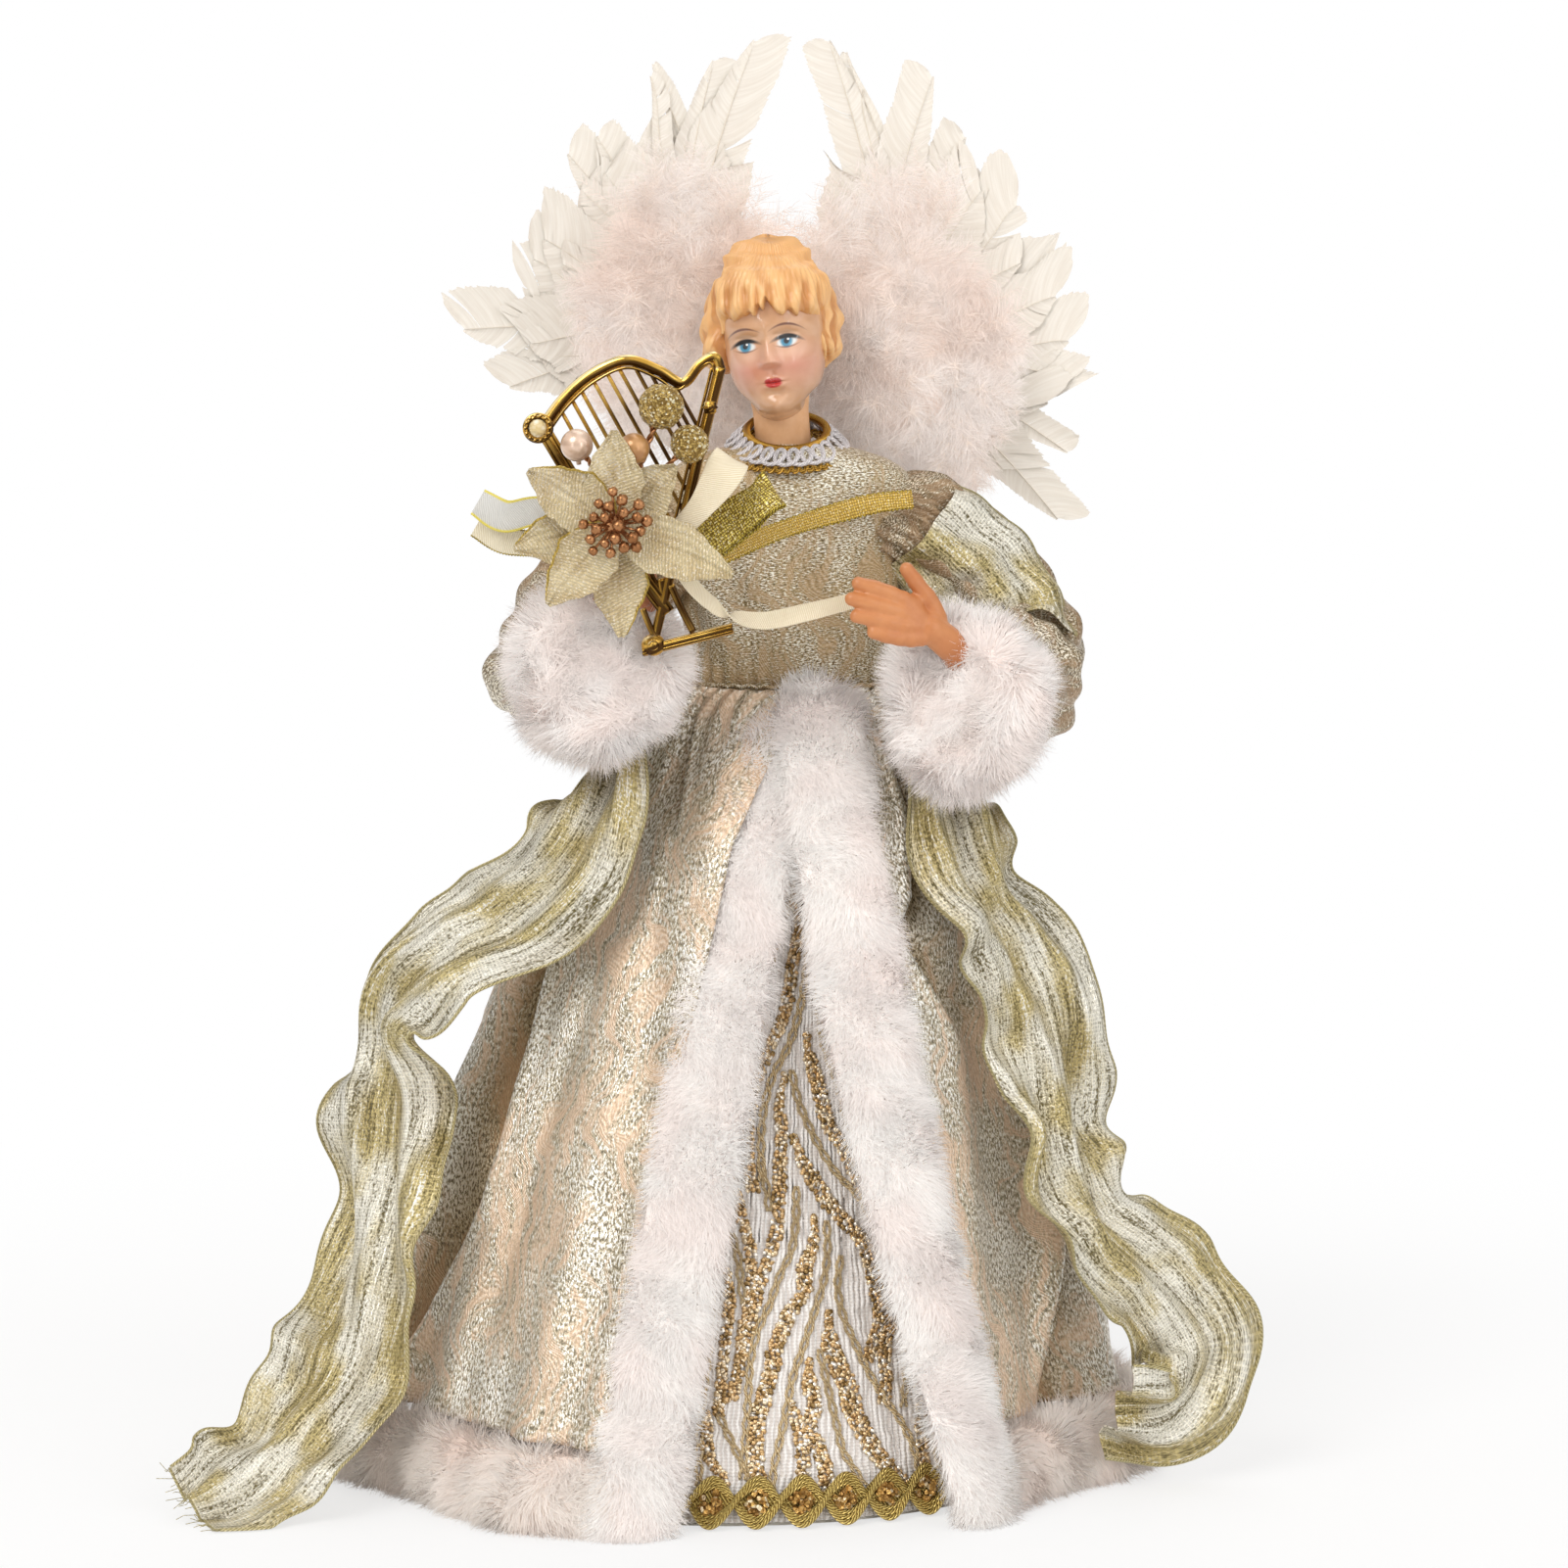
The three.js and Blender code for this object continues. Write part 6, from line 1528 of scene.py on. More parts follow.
def make_harp(gold, jewel):
    shell = Shell()
    neck = even_line(on_harp(HARP_NECK), 90)
    share = np.linspace(0, 1, 90)
    shell.tube(neck, 1.25 - 0.15 * share, 14)
    for lift, radius in ((-1.5, 0.32), (0.35, 0.3)):
        middle = np.array([-19.0, HARP_Y, 214.0])
        rail = neck + unit(middle - neck) * -lift
        shell.tube(rail + (0, -0.75, 0), radius, 8)
    line = even_line(on_harp([HARP_CORNER, (-6.0, 215.3), HARP_HEEL]), 60)
    shell.tube(line, np.linspace(1.25, 1.0, 60), 12)
    shell.tube(line[:44] + (-1.6, -0.3, 0.2), 0.35, 8)
    ridges = lambda way: 1 + 0.12 * np.cos(way[..., 2] * 9)
    shell.ball((-3.3, HARP_Y - 1.0, 226.4), (1.5, 1.2, 1.5), 14, 10, bump=ridges)
    shell.ball((-3.4, HARP_Y - 1.9, 226.4), (0.8, 0.6, 0.8), 10, 8)
    pillar = even_line(on_harp([(-37.4, 222), (-26, 203.5), (-12, 184.5)]), 60)
    shell.tube(pillar, 1.1, 12)
    for shift in ((-1.0, -0.5, -0.7), (1.0, -0.5, 0.7)):
        shell.tube(pillar + shift, 0.34, 8)
    # The foot: a ridged bar, two struts and a round boss
    bar = np.linspace((-17.2, HARP_Y, 176.6), (1.2, HARP_Y, 181.3), 40)
    shell.tube(bar, 1.15, 12, flat=1.7)
    shell.tube(bar + (0, -1.4, 0.75), 0.4, 8)
    shell.tube(bar + (0, -1.4, -0.5), 0.4, 8)
    shell.tube(even_line(on_harp([(-13.4, 191.5), (-13.0, 186), (-15.6, 178.5)]), 20), 0.85, 10)
    shell.tube(even_line(on_harp([(-11.4, 190.2), (-9.6, 186), (-6.8, 180.6)], HARP_Y - 0.8), 20), 0.8, 10)
    shell.tube(even_line(on_harp([(-17.2, 185.4), (-15.4, 181), (-13.8, 178)], HARP_Y - 0.6), 20), 0.7, 10)
    shell.ball((-15.0, HARP_Y - 1.0, 178.0), (2.5, 1.8, 2.3), 20, 12)
    shell.ball((-15.0, HARP_Y - 2.6, 178.0), (1.2, 0.8, 1.1), 14, 10)
    slope = (HARP_CORNER[0] - HARP_HEEL[0]) / (HARP_CORNER[1] - HARP_HEEL[1])
    low_at = lambda z: HARP_CORNER[0] - (HARP_CORNER[1] - z) * slope
    for i in range(10):
        top = neck[int(round((0.06 + 0.7 * (i + 1) / 11) * 89))]
        fall = (low_at(top[2]) - top[0]) / (0.55 + slope)
        low = top + np.array([0.55 * fall, 0, -fall])
        shell.tube(np.linspace(top, low, 12), 0.42, 8)
    shell.build("harp_moulding", gold, "figure", "gold_plated_plastic", ["harp"])
    # The jewel: a faceted stone in a beaded rim
    stone = Shell()
    stone.ball((-38.2, -52.4, 222.3), (1.9, 1.6, 1.9), 10, 6)
    stone.build("harp_jewel_stone", jewel, "figure", "clear_jewel", ["harp_jewel"])
    rim = Shell()
    turn = ring_turns(60)
    for reach, y, radius in ((2.2, -52.0, 0.42), (2.75, -51.2, 0.4), (2.2, -50.6, 0.5)):
        ring = stack(-38.2 + reach * np.cos(turn), y + 0 * turn, 222.3 + reach * np.sin(turn))
        rim.tube(ring, radius, 8, closed=True, first=(0, 1, 0))
    for k in range(14):
        at = k * TURN / 14
        rim.ball((-38.2 + 2.5 * math.cos(at), -52.3, 222.3 + 2.5 * math.sin(at)), (0.4, 0.4, 0.4), 8, 6)
    rim.build("harp_jewel_rim", gold, "figure", "clear_jewel")


# Flower bunch

GOLDEN_ANGLE = 2.39996
FLOWER = np.array([-22.4, -60.0, 203.3])
FRONT_PETALS = [(90, 19, 10.5), (-23, 26, 11), (-130, 21, 11), (148, 20.5, 11)]
BACK_PETALS = [(44, 17, 10), (-87, 23, 11), (-166, 21, 11)]
BERRIES = {"upper": ((-13.1, -55, 226.8), 4.6), "lower": ((-7.4, -55.5, 219.3), 3.9),
           "gold": ((-18.6, -58, 218.4), 3.2), "pink": ((-30.2, -55.5, 219), 3.3)}


def petal_points(degrees, length, width, layer_y, lift, seed):
    rng = np.random.default_rng(seed)
    a, b, c = rng.random(3) * TURN
    angle = math.radians(degrees)
    along = np.array([math.cos(angle), 0, math.sin(angle)])
    side = np.array([-along[2], 0, along[0]])
    t, s = column(0, 1, 90), row(-1, 1, 61)
    reach = lerp(0.6, length, t)
    half = width / 2 * np.sin(math.pi * lerp(0.08, 0.985, t**0.85)) + 0.25
    cup = 0.9 * (1 - s * s) * np.sin(math.pi * t)
    curl = lift * t * t + 0.6 * np.abs(s) ** 3 * np.sin(t * 8 + a) + 0.35 * np.sin(s * 5 + t * 6 + b) * t
    vein = -0.28 * np.exp(-((s / 0.07) ** 2)) - 0.1 * np.sin(np.abs(s) * 22 - t * 9)
    y = layer_y - (curl - cup + vein)
    edge = 1.06 + 0.05 * np.sin(t * 17 + c + np.sign(s)) + 0.03 * np.sin(t * 41 + a)
    spot = along * reach[..., None] + side * (s * half * edge)[..., None]
    points = stack(FLOWER[0] + spot[..., 0], y, FLOWER[2] + spot[..., 2])
    return points, pair(s * half, reach)


def make_flower(cloth, wire, bronze):
    edges = Shell()
    for name, petals, y, lift, node in (("front", FRONT_PETALS, -61.2, 1.6, "poinsettia_front_petals"),
                                        ("back", BACK_PETALS, -58.2, 0.4, "poinsettia_back_petals")):
        shell = Shell()
        for k, (degrees, length, width) in enumerate(petals):
            points, uv = petal_points(degrees, length, width, y - 0.12 * k, lift, k + int(lift * 10))
            shell.cloth(points, 0.25, uv + (k * 13.0, 0), tone=k / 4)
            if degrees in (148, -130, -166, -87):
                edges.tube(points[::3, 0 if degrees != -87 else -1], 0.28, 6)
        shell.build("flower_%s_petals" % name, cloth, "figure", "petal_cloth", [node])
    edges.build("flower_petal_wires", wire, "figure", "petal_cloth")
    shell = Shell()
    rng = np.random.default_rng(4)
    shell.ball(FLOWER + (0, -2.6, 0), (2.4, 0.9, 2.4), 14, 8)
    for i in range(22):
        reach = 1.1 + 5.6 * math.sqrt(i / 22) + rng.normal() * 0.3
        across, up = reach * math.cos(i * GOLDEN_ANGLE), reach * math.sin(i * GOLDEN_ANGLE)
        root = FLOWER + (0.25 * across, -2.9, 0.25 * up)
        tip = FLOWER + (across, -6.4 + 0.32 * reach + rng.normal() * 0.4, up)
        middle = (root + tip) / 2 + (0, -0.6, 0)
        shell.tube(curve_at([root, middle, tip], np.linspace(0, 1, 9)), 0.3, 6)
        size = 0.95 + 0.25 * rng.random()
        lump = lambda way, k=i: 1 + 0.13 * np.sin(way @ np.array([5.0 + k % 3, 4, 6]) + k)
        shell.ball(tip, (size, size * 0.9, size), 14, 10, bump=lump)
    shell.build("flower_stamens", bronze, "figure", "bronze_plastic", ["stamens"])


def make_berries(glitter, pearl, pink, stem):
    rng = np.random.default_rng(6)
    for key, node in (("upper", "glitter_berry_upper"), ("lower", "glitter_berry_lower")):
        centre, radius = BERRIES[key]
        shell = Shell()
        bumps = rng.normal(size=(40, 3)) * 16

        def grain(way, bumps=bumps):
            return 1 + 0.012 * np.sin(way @ bumps.T).sum(-1) / 3

        shell.ball(centre, (radius * 0.985,) * 3, 120, 80, bump=grain)
        shell.build(node + "_ball", glitter, "figure", "gold_glitter", [node])
    for key, node, look in (("gold", "gold_pearl", pearl), ("pink", "pink_pearl", pink)):
        centre, radius = BERRIES[key]
        shell = Shell()
        shell.ball(centre, (radius,) * 3, 48, 32)
        shell.tube(np.array([centre, np.asarray(centre) + (0.4, 0.8, -radius - 0.6)]), (0.9, 0.5), 10)
        shell.build(node + "_ball", look, "figure", node, [node])
    shell = Shell()
    knot = np.array([-20.5, -54.4, 206.0])
    for k, (centre, radius) in enumerate(BERRIES.values()):
        centre = np.asarray(centre)
        end = centre + unit(knot - centre) * radius * 0.9
        for twist in (0, math.pi):
            share = column(0, 1, 60)
            bend = lerp(knot, end, share) + np.array([0, 1.1, 0]) * np.sin(share * math.pi)
            spin = share * 26 + twist
            shell.tube(bend + np.concatenate([np.cos(spin), np.sin(spin), 0 * spin], 1) * 0.38, 0.36, 6)
    windings = lambda way: 1 + 0.06 * np.sin(way[..., 2] * 14 + way[..., 0] * 4)
    shell.ball(knot, (2.2, 1.5, 2.2), 16, 10, bump=windings)
    for k in range(6):
        turn = ring_turns(40)
        ring = knot + stack(2.1 * np.cos(turn), 1.5 * np.sin(turn), -1.5 + 0.6 * k + 0.2 * np.sin(turn))
        shell.tube(ring, 0.3, 6, closed=True, first=(0, 0, 1))
    shell.build("berry_wires", stem, "figure", "bronze_plastic", ["berry_stems"])


# Narrow ribbons: half width, path, and the way that the face looks along it

RIBBONS = {
    "satin_loop": (
        3.6,
        [(-10.5, -54.2, 200.5), (-4.5, -57.4, 207.5), (-0.5, -57.8, 213.6), (0.8, -54.4, 216.4),
         (-2.4, -52.4, 211), (-7.5, -52.2, 203.5)],
        [(-0.4, -1, 0.2), (-0.3, -1, 0.3), (-0.2, -1, 0.9), (0.7, 0.1, 1), (0.6, 1, -0.3), (0.4, 1, -0.2)]),
    "gold_loop": (
        4.0,
        [(-7.8, -51.3, 197.5), (0, -51.6, 203), (7, -53, 208), (9.6, -51, 209.8), (5, -48.6, 205.5),
         (-3, -49.4, 199)],
        [(-0.1, -1, 0.1), (-0.2, -1, 0.3), (0, -1, 0.9), (1, 0, 0.6), (0.4, 1, -0.5), (0.1, 1, -0.1)]),
    "satin_tail": (
        1.75,
        [(-9.5, -56.2, 194.5), (-5.5, -55.6, 189), (0, -52.6, 184.8), (7, -48.6, 182.9), (16.5, -45.6, 184.4),
         (27.5, -45.2, 187.2)],
        [(0.6, -1, 0.2), (0.3, -1, 0.7), (-0.3, -0.9, 0.8), (-0.2, -1, 0.1), (0, -1, 0), (0.1, -1, 0)]),
    "gold_tail": (
        1.9,
        [(-4.5, -43, 194.5), (3.5, -36, 197.6), (12, -26.5, 200.4), (21.8, -18.6, 202.9), (31, -14.4, 205),
         (38.8, -11.6, 205.7)],
        [(-0.4, -1, 0.1), (-0.4, -1, 0.1), (-0.4, -1, 0.1), (-0.2, -1, 0.1), (0, -1, 0.2), (0.1, -1, 0.2)]),
    "ribbon_end_satin": (
        3.2, [(-31, -55.6, 203), (-38, -54.6, 205.6), (-45, -54.2, 204.6), (-50.4, -53.4, 207.4)],
        [(-0.2, -1, 0.4), (0, -1, 0.3), (0, -1, -0.2), (0.1, -1, 0.3)]),
    "ribbon_end_gold": (
        2.6, [(-31, -53, 199), (-38, -52, 198.8), (-45, -51.4, 199.6), (-50.8, -50.4, 202.6)],
        [(-0.1, -1, 0.2), (0, -1, 0.3), (0, -1, -0.1), (0.1, -1, 0.2)]),
}
GOLD_RIBBONS = ("gold_loop", "gold_tail", "ribbon_end_gold")


def make_ribbons(looks, edge):
    edges = Shell()
    for name, (half, path, faces) in RIBBONS.items():
        rows = 150
        t = np.linspace(0, 1, rows)
        line, out = curve_at(path, t), unit(curve_at(faces, t))
        side = unit(np.cross(out, unit(np.gradient(line, axis=0))))
        if name == "satin_tail":
            out, side = spun(out, side, (math.pi * smooth(0.28, 0.5, t))[:, None])
        s = row(-1, 1, 31)
        swell = 0.62 + 0.6 * hump(t, 0.42, 0.22) if name == "satin_loop" else 1 + 0.06 * np.sin(t * 11)
        bow = 0.22 * (1 - s * s) + 0.16 * np.sin(t[:, None] * 19 + s * 2)
        across = side[:, None] * (s * half * swell[:, None])[..., None]
        points = line[:, None] + across + out[:, None] * bow[..., None]
        run = run_along(line)[:, None]
        shell = Shell()
        shell.cloth(points, 0.3, pair(s * half, run))
        slot = "gold_lame" if name in GOLD_RIBBONS else "cream_satin"
        shell.build(name + "_cloth", looks[name], "figure", slot, [name])
        if name in GOLD_RIBBONS:
            for end in (0, -1):
                wave = 0.16 * np.sin(np.arange(rows) * 1.7)[:, None]
                edges.tube(points[:, end] + side * wave, 0.2, 5)
    edges.build("ribbon_picot_edges", edge, "figure", "gold_lame")


# Wings

RIGHT_FEATHERS = [
    (5.4, 302.7, 13.3), (-3.5, 298.5, 10.8), (-13.6, 298, 5), (-20.5, 294.5, 5), (-28.7, 282.1, 10),
    (-35.1, 278.5, 13), (-36.3, 254.6, 9), (-57.9, 240.6, 16), (-48.1, 228.1, 13),
]
LEFT_FEATHERS = [
    (21.4, 302.7, 10.5), (28.6, 300.5, 5), (34.2, 292.2, 5.5), (43.8, 295.1, 11.8), (50.9, 282.1, 10.8),
    (55.8, 271.1, 11.2), (63.1, 255, 10), (74.3, 229.6, 10.5), (73.6, 213.8, 7.5), (71.5, 199.3, 11),
]


def feather(shafts, vanes, tip, width, root, order, seed, hook, blunt):
    """A shaft with a vane on each side: full to the tip on the blunt side, drawn out slowly on the other.

    The vanes split into slanting groups of barbs, each curled its own way."""
    rng = np.random.default_rng(seed)
    root, along = np.array(root, float), np.array([tip[0] - root[0], tip[1] - root[1]])
    length = np.linalg.norm(along)
    side = np.array([-along[1], along[0]]) / length
    bend = 0.05 * length * np.sign(along[0])

    def shaft_at(reach):
        reach = np.asarray(reach)
        sway = bend * np.sin(math.pi * reach) + hook * smooth(0.62, 1.0, reach) ** 1.5
        flat = root + along * reach[..., None] + side * sway[..., None]
        y = 27.6 + 0.35 * (order % 3) - 1.1 * ((reach - 0.16) / 0.84) ** 2
        return np.stack([flat[..., 0], y, flat[..., 1]], -1)

    line = shaft_at(np.linspace(0.1, 0.975, 40))
    line[:, 1] -= 0.12
    shafts.tube(line, np.linspace(0.34, 0.06, 40), 6)
    slim = width < 7
    for way in (-1, 1):
        cuts = np.sort(np.concatenate([[0, 1], rng.random(2) * 0.7 + 0.25]))
        for low, high in zip(cuts[:-1], cuts[1:]):
            rows = max(4, int((high - low) * length * 2.6))
            t = np.linspace(low, high - 0.002, rows)
            base = shaft_at(lerp(0.16, 1, t))
            tangent = unit(shaft_at(lerp(0.16, 1, t) + 0.004) - shaft_at(lerp(0.16, 1, t) - 0.004))
            across = way * unit(np.cross((0, 1.0, 0), tangent))
            drawn = (2.6 if slim else 3.6) * (1 - t) ** 0.5 if way == blunt else 1.5 * (1 - t) ** 0.85
            full = np.minimum(np.minimum(1, drawn), 0.45 + 0.9 * t)
            ragged = 1 + 0.025 * rng.normal(size=rows) + 0.04 * np.sin(t * 17 + way)
            long = (width / 2 * full * 1.25 + 0.3) * ragged
            split = rng.normal() * (0.05 if rng.random() < 0.6 else 0.25)
            curl = rng.normal() * 0.4
            k = np.linspace(0, 1, 7)[None, :, None]
            reach = long[:, None, None]
            points = base[:, None] + (across * 0.84)[:, None] * reach * k + tangent[:, None] * reach * (
                0.45 * k + (0.28 + split) * k**2)
            points[..., 1] += (0.3 * np.sin(k * 3) + curl * k**2 * 0.5)[..., 0]
            points[..., 1] += 0.05 * np.sin(t * 50)[:, None]
            uv = pair(reach[..., 0] * k[..., 0], (t * length)[:, None])
            vanes.grid(points, uv, tone=0.5 + 0.12 * rng.normal(), flip=way > 0)


BARB_LENGTH, BARB_WIDTH, BARB_KNOTS = 6.0, 0.09, 4


def marabou(shell, roots, ways, lengths, seed, limit, barbs):
    """Soft shafts with long wavy barbs all round them."""
    rng = np.random.default_rng(seed)
    tufts = len(roots)
    s = (np.arange(barbs) + 0.5)[None, :] / barbs + rng.random((tufts, barbs)) * 0.02
    bow = unit(rng.normal(size=(tufts, 3)) + [0, -0.3, 0])[:, None]
    up_shaft = s[..., None]
    shaft = roots[:, None] + (ways[:, None] * up_shaft + bow * 0.22 * up_shaft**2) * lengths[:, None, None]
    ahead = unit(ways[:, None] + bow * 0.44 * up_shaft)
    out = rng.normal(size=(tufts, barbs, 3)) * [1, 0.75, 1]
    out = unit(out - ahead * (out * ahead).sum(-1, keepdims=True))
    start = unit(out * 0.8 + ahead * 0.55)
    full = 0.45 + 0.55 * np.sin(math.pi * np.clip(s * 0.8 + 0.12, 0, 1))
    long = (BARB_LENGTH * full * (0.75 + 0.5 * rng.random(s.shape)))[..., None, None]
    share = np.linspace(0, 1, BARB_KNOTS)[None, None, :, None]
    wave = ripple(shaft.reshape(-1, 3), 3.0, seed + 1).reshape(shaft.shape)
    paths = shaft[:, :, None] + start[:, :, None] * share * long
    paths = paths + (wave[:, :, None] * 0.5 + [0, 0, -0.12]) * share**2 * long * 0.5
    paths = paths + np.cross(start, wave)[:, :, None] * np.sin(share * 5.0) * 0.35
    paths = limit(paths.reshape(-1, BARB_KNOTS, 3))
    facing = unit(np.array([0.0, -1.0, 0.12]) + rng.normal(size=(len(paths), 3)) * 0.22)
    widths = BARB_WIDTH * row(1, 0.4, BARB_KNOTS) * (0.7 + 0.6 * rng.random(len(paths)))[:, None]
    shell.strands(paths, widths, facing, rng.random(len(paths)))


def make_wing(side, look_feather, look_shaft, look_down, look_pad):
    right = side < 0
    name = "right_wing" if right else "left_wing"
    root = (-9, 236) if right else (33, 234)
    shafts, vanes = Shell(), Shell()
    rng = np.random.default_rng(31 if right else 47)
    hooks = {2: 3.0, 3: -3.5} if right else {1: 3.5, 2: 5.5}
    for order, (x, z, width) in enumerate(RIGHT_FEATHERS if right else LEFT_FEATHERS):
        seed = order + (100 if right else 200)
        feather(shafts, vanes, (x, z), width, root, order, seed, hooks.get(order, 0.0), -side)
    for order in range(11):
        share = order / 10
        angle = math.radians(lerp(80, 186, share) if right else lerp(100, -40, share))
        reach = lerp(45, 29, abs(share - 0.3)) + rng.normal() * 3.0
        tip = (root[0] + math.cos(angle) * reach, root[1] + math.sin(angle) * reach)
        seed = order + (300 if right else 400)
        feather(shafts, vanes, tip, 15 + 4 * rng.random(), root, order % 3, seed, rng.normal() * 2, -side)
    shafts.build(name + "_shafts", look_shaft, name, "feather")
    vanes.build(name + "_vanes", look_feather, name, "feather", [name + "_feathers"])
    centre = np.array([-14, 20, 238.0]) if right else np.array([41, 20, 234.0])
    wide, high = (21, 28) if right else (23, 31)
    pad = Shell()
    turn = np.linspace(0, TURN, 97)[None, :-1]
    lat = column(-1.5, 1.5, 40)
    outer = np.maximum(0, np.cos(turn) * side)
    swell = 0.76 + 0.06 * np.sin(turn * 5) + 0.03 * np.sin(turn * 9) - (0.26 if right else 0.14) * outer
    rim = np.cos(lat)
    points = centre + stack(wide * rim * np.cos(turn) * swell, np.minimum(4.8, -4.2 * np.sin(lat)),
                            high * rim * np.sin(turn) * swell)
    pad.grid(points, same_place(points, 0.4, 0.5), wrap=True)
    pad.build(name + "_down_pad", look_pad, name, "down", [name + "_fluff"])

    def clear_of_head(paths):
        middle = np.array([9.5, 0.0])
        away = paths[..., :2] - middle
        reach = np.linalg.norm(away, axis=-1, keepdims=True)
        grow = np.where((paths[..., 2:] > 214) & (paths[..., 2:] < 264), np.maximum(reach, 17.8) / reach, 1)
        paths[..., :2] = middle + away * grow
        paths[..., 1] = np.clip(paths[..., 1], 11.5, 26.6)
        return paths

    layers = (("inner", 0, 250, 0.0, 0.56, 4.4), ("outer", 1, 320, 0.4, 0.8, 3.2))
    for layer, step, count, low, high_share, front in layers:
        down = Shell()
        angle = rng.random(count) * TURN
        share = np.sqrt(lerp(low**2, high_share**2, rng.random(count)))
        # The down thins out towards the outer feathers
        outer = np.maximum(0, np.cos(angle - 0.5) * side)
        lump = 0.9 + 0.06 * np.sin(angle * 5) - (0.3 if right else 0.16) * outer
        depth = rng.random(count) * 2.5 - front * np.sqrt(1 - share**2 * 0.9)
        reach = share * lump
        roots = centre + stack(wide * reach * np.cos(angle), depth, high * reach * np.sin(angle))
        out = stack(np.cos(angle), -0.25, np.sin(angle)) * (0.15 + share[:, None])
        ways = unit(out + rng.normal(size=(count, 3)) * [0.75, 0.2, 0.75] * (1.15 - share[:, None]))
        lengths = (7 + 5 * rng.random(count)) * (0.75 + 0.2 * share)
        marabou(down, roots, ways, lengths, (60 if right else 70) + step, clear_of_head, barbs=96)
        down.build(f"{name}_down_{layer}", look_down, name, "down", soft_normals=True)
    # Loose wisps above the head and behind the neck
    wisps, count = Shell(), 140
    up = np.radians(lerp(-50, 105, rng.random(count)) if right else lerp(75, 230, rng.random(count)))
    tips = stack(np.cos(up), -0.1, np.sin(up))
    roots = centre + tips * [wide * 0.8, 0, high * 0.85]
    ways = unit(tips + rng.normal(size=(count, 3)) * [0.25, 0.1, 0.25])
    marabou(wisps, roots, ways, 10 + 8 * rng.random(count), 81 if right else 91, clear_of_head, barbs=90)
    wisps.build(name + "_down_wisps", look_down, name, "down", soft_normals=True)


# Looks of single pieces


def vane_material():
    w = Finish("feather_vane", roughness=0.7, Sheen_Weight=0.15, Specular_IOR_Level=0.3)
    across, along, _ = w.split(w.uv)
    bent = w.plus(along, w.times(across, 0.1))
    barb = w.stretched(w.sine(w.times(bent, 15.0)), 0.5, 0.5)
    streak = w.noise(w.joined(w.times(across, 0.08), bent), 1.3, 2.0)
    base = w.mix(w.ramp(streak, 0.3, 0.7), "#e6dfd4", "#efeae1")
    w.shade(Base_Color=w.mix(w.times(barb, 0.1), base, "#dfd6c9"))
    w.bump(w.plus(w.times(barb, 0.3), streak), 0.1, 0.0003)
    return w.material


def knit_material():
    w = Finish("white_knit", roughness=0.75, Sheen_Weight=0.15)
    place = w.split(w.uv)
    wander = w.times(w.noise(w.uv, 0.12, 2.0), 3.0)
    rib = w.sine(w.times(w.plus(place[0], wander), 7.0))
    stitch = w.sine(w.times(place[1], 9.0))
    height = w.plus(rib, w.times(stitch, 0.4))
    shade = w.ramp(height, -1.0, 0.9)
    silver = w.ramp(w.noise(w.scaled(w.uv, 1.0, 0.25), 0.9, 2.0), 0.45, 0.7)
    colour = w.mix(shade, "#d6cec8", w.mix(silver, "#fbf8f5", "#ebe6e1"))
    w.shade(Base_Color=colour)
    w.bump(height, 0.5, 0.0003)
    return w.material


def sequin_material():
    w = Finish("gold_sequins", roughness=0.25, metallic=0.6)
    tone = w.node("Attribute", attribute_name="tone").outputs["Fac"]
    colour = w.mix(w.ramp(tone, 0.1, 0.4), "#9c7f50", "#dcb681")
    colour = w.mix(w.ramp(tone, 0.45, 0.7), colour, "#f1dcb8")
    # The near-white sequins carry painted glints; the other steps are tone that differs at random
    colour = w.mix(w.ramp(tone, 0.78, 0.92), colour, "#fffaf0")
    w.shade(Base_Color=colour)
    return w.material


def cord_material(name, light, dark, metallic=0.7, roughness=0.35):
    """Twisted metallic thread: fine slanting plies round the cord."""
    w = Finish(name, roughness=roughness, metallic=metallic)
    place = w.split(w.uv)
    ply = w.sine(w.times(w.plus(w.times(place[0], 1.3), place[1]), 6.5))
    w.shade(Base_Color=w.mix(w.ramp(ply, -0.8, 0.6), dark, light))
    w.bump(ply, 0.7, 0.00025)
    return w.material


def plating_material():
    """Bright plating, with painted reflections set by which way the surface faces: brown bands where it turns
    away from the light, and pale streaks where it faces up.
    """
    w = Finish("gold_plating", roughness=0.16, metallic=0.85)
    cloud = w.ramp(w.noise(w.object, 150.0, 3.0), 0.3, 0.7)
    way = w.split(w.node("NewGeometry").outputs["Normal"])
    slope = w.plus(w.times(way[2], 0.85), w.times(way[0], -0.5))
    wavy = w.stretched(w.noise(w.object, 90.0, 2.0), 0.5, slope)
    gold = w.mix(cloud, "#c9983c", "#dcb35a")
    # Painted reflection: dark brown where the surface faces sideways, pale where it faces up
    gold = w.mix(w.times(w.ramp(wavy, 0.42, 0.16), w.ramp(wavy, -0.55, -0.3)), gold, "#4a2f0c")
    w.shade(Base_Color=w.mix(w.ramp(wavy, 0.72, 0.95), gold, "#fbe3a8"))
    w.shade(Roughness=w.ramp(w.noise(w.object, 500.0, 3.0), 0.3, 0.7, 0.1, 0.24))
    w.bump(w.noise(w.object, 320.0, 2.0), 0.15, 0.0003)
    return w.material


def jewel_material():
    w = Finish("clear_stone", roughness=0.06, Coat_Weight=0.6)
    cells = w.node("TexVoronoi", {"Vector": w.object, "Scale": 700.0})
    w.shade(Base_Color=w.mix(w.ramp(cells.outputs["Distance"], 0.1, 0.6), "#fbf3dc", "#d8c08a"))
    w.bump(cells.outputs["Distance"], 0.6, 0.0006)
    return w.material


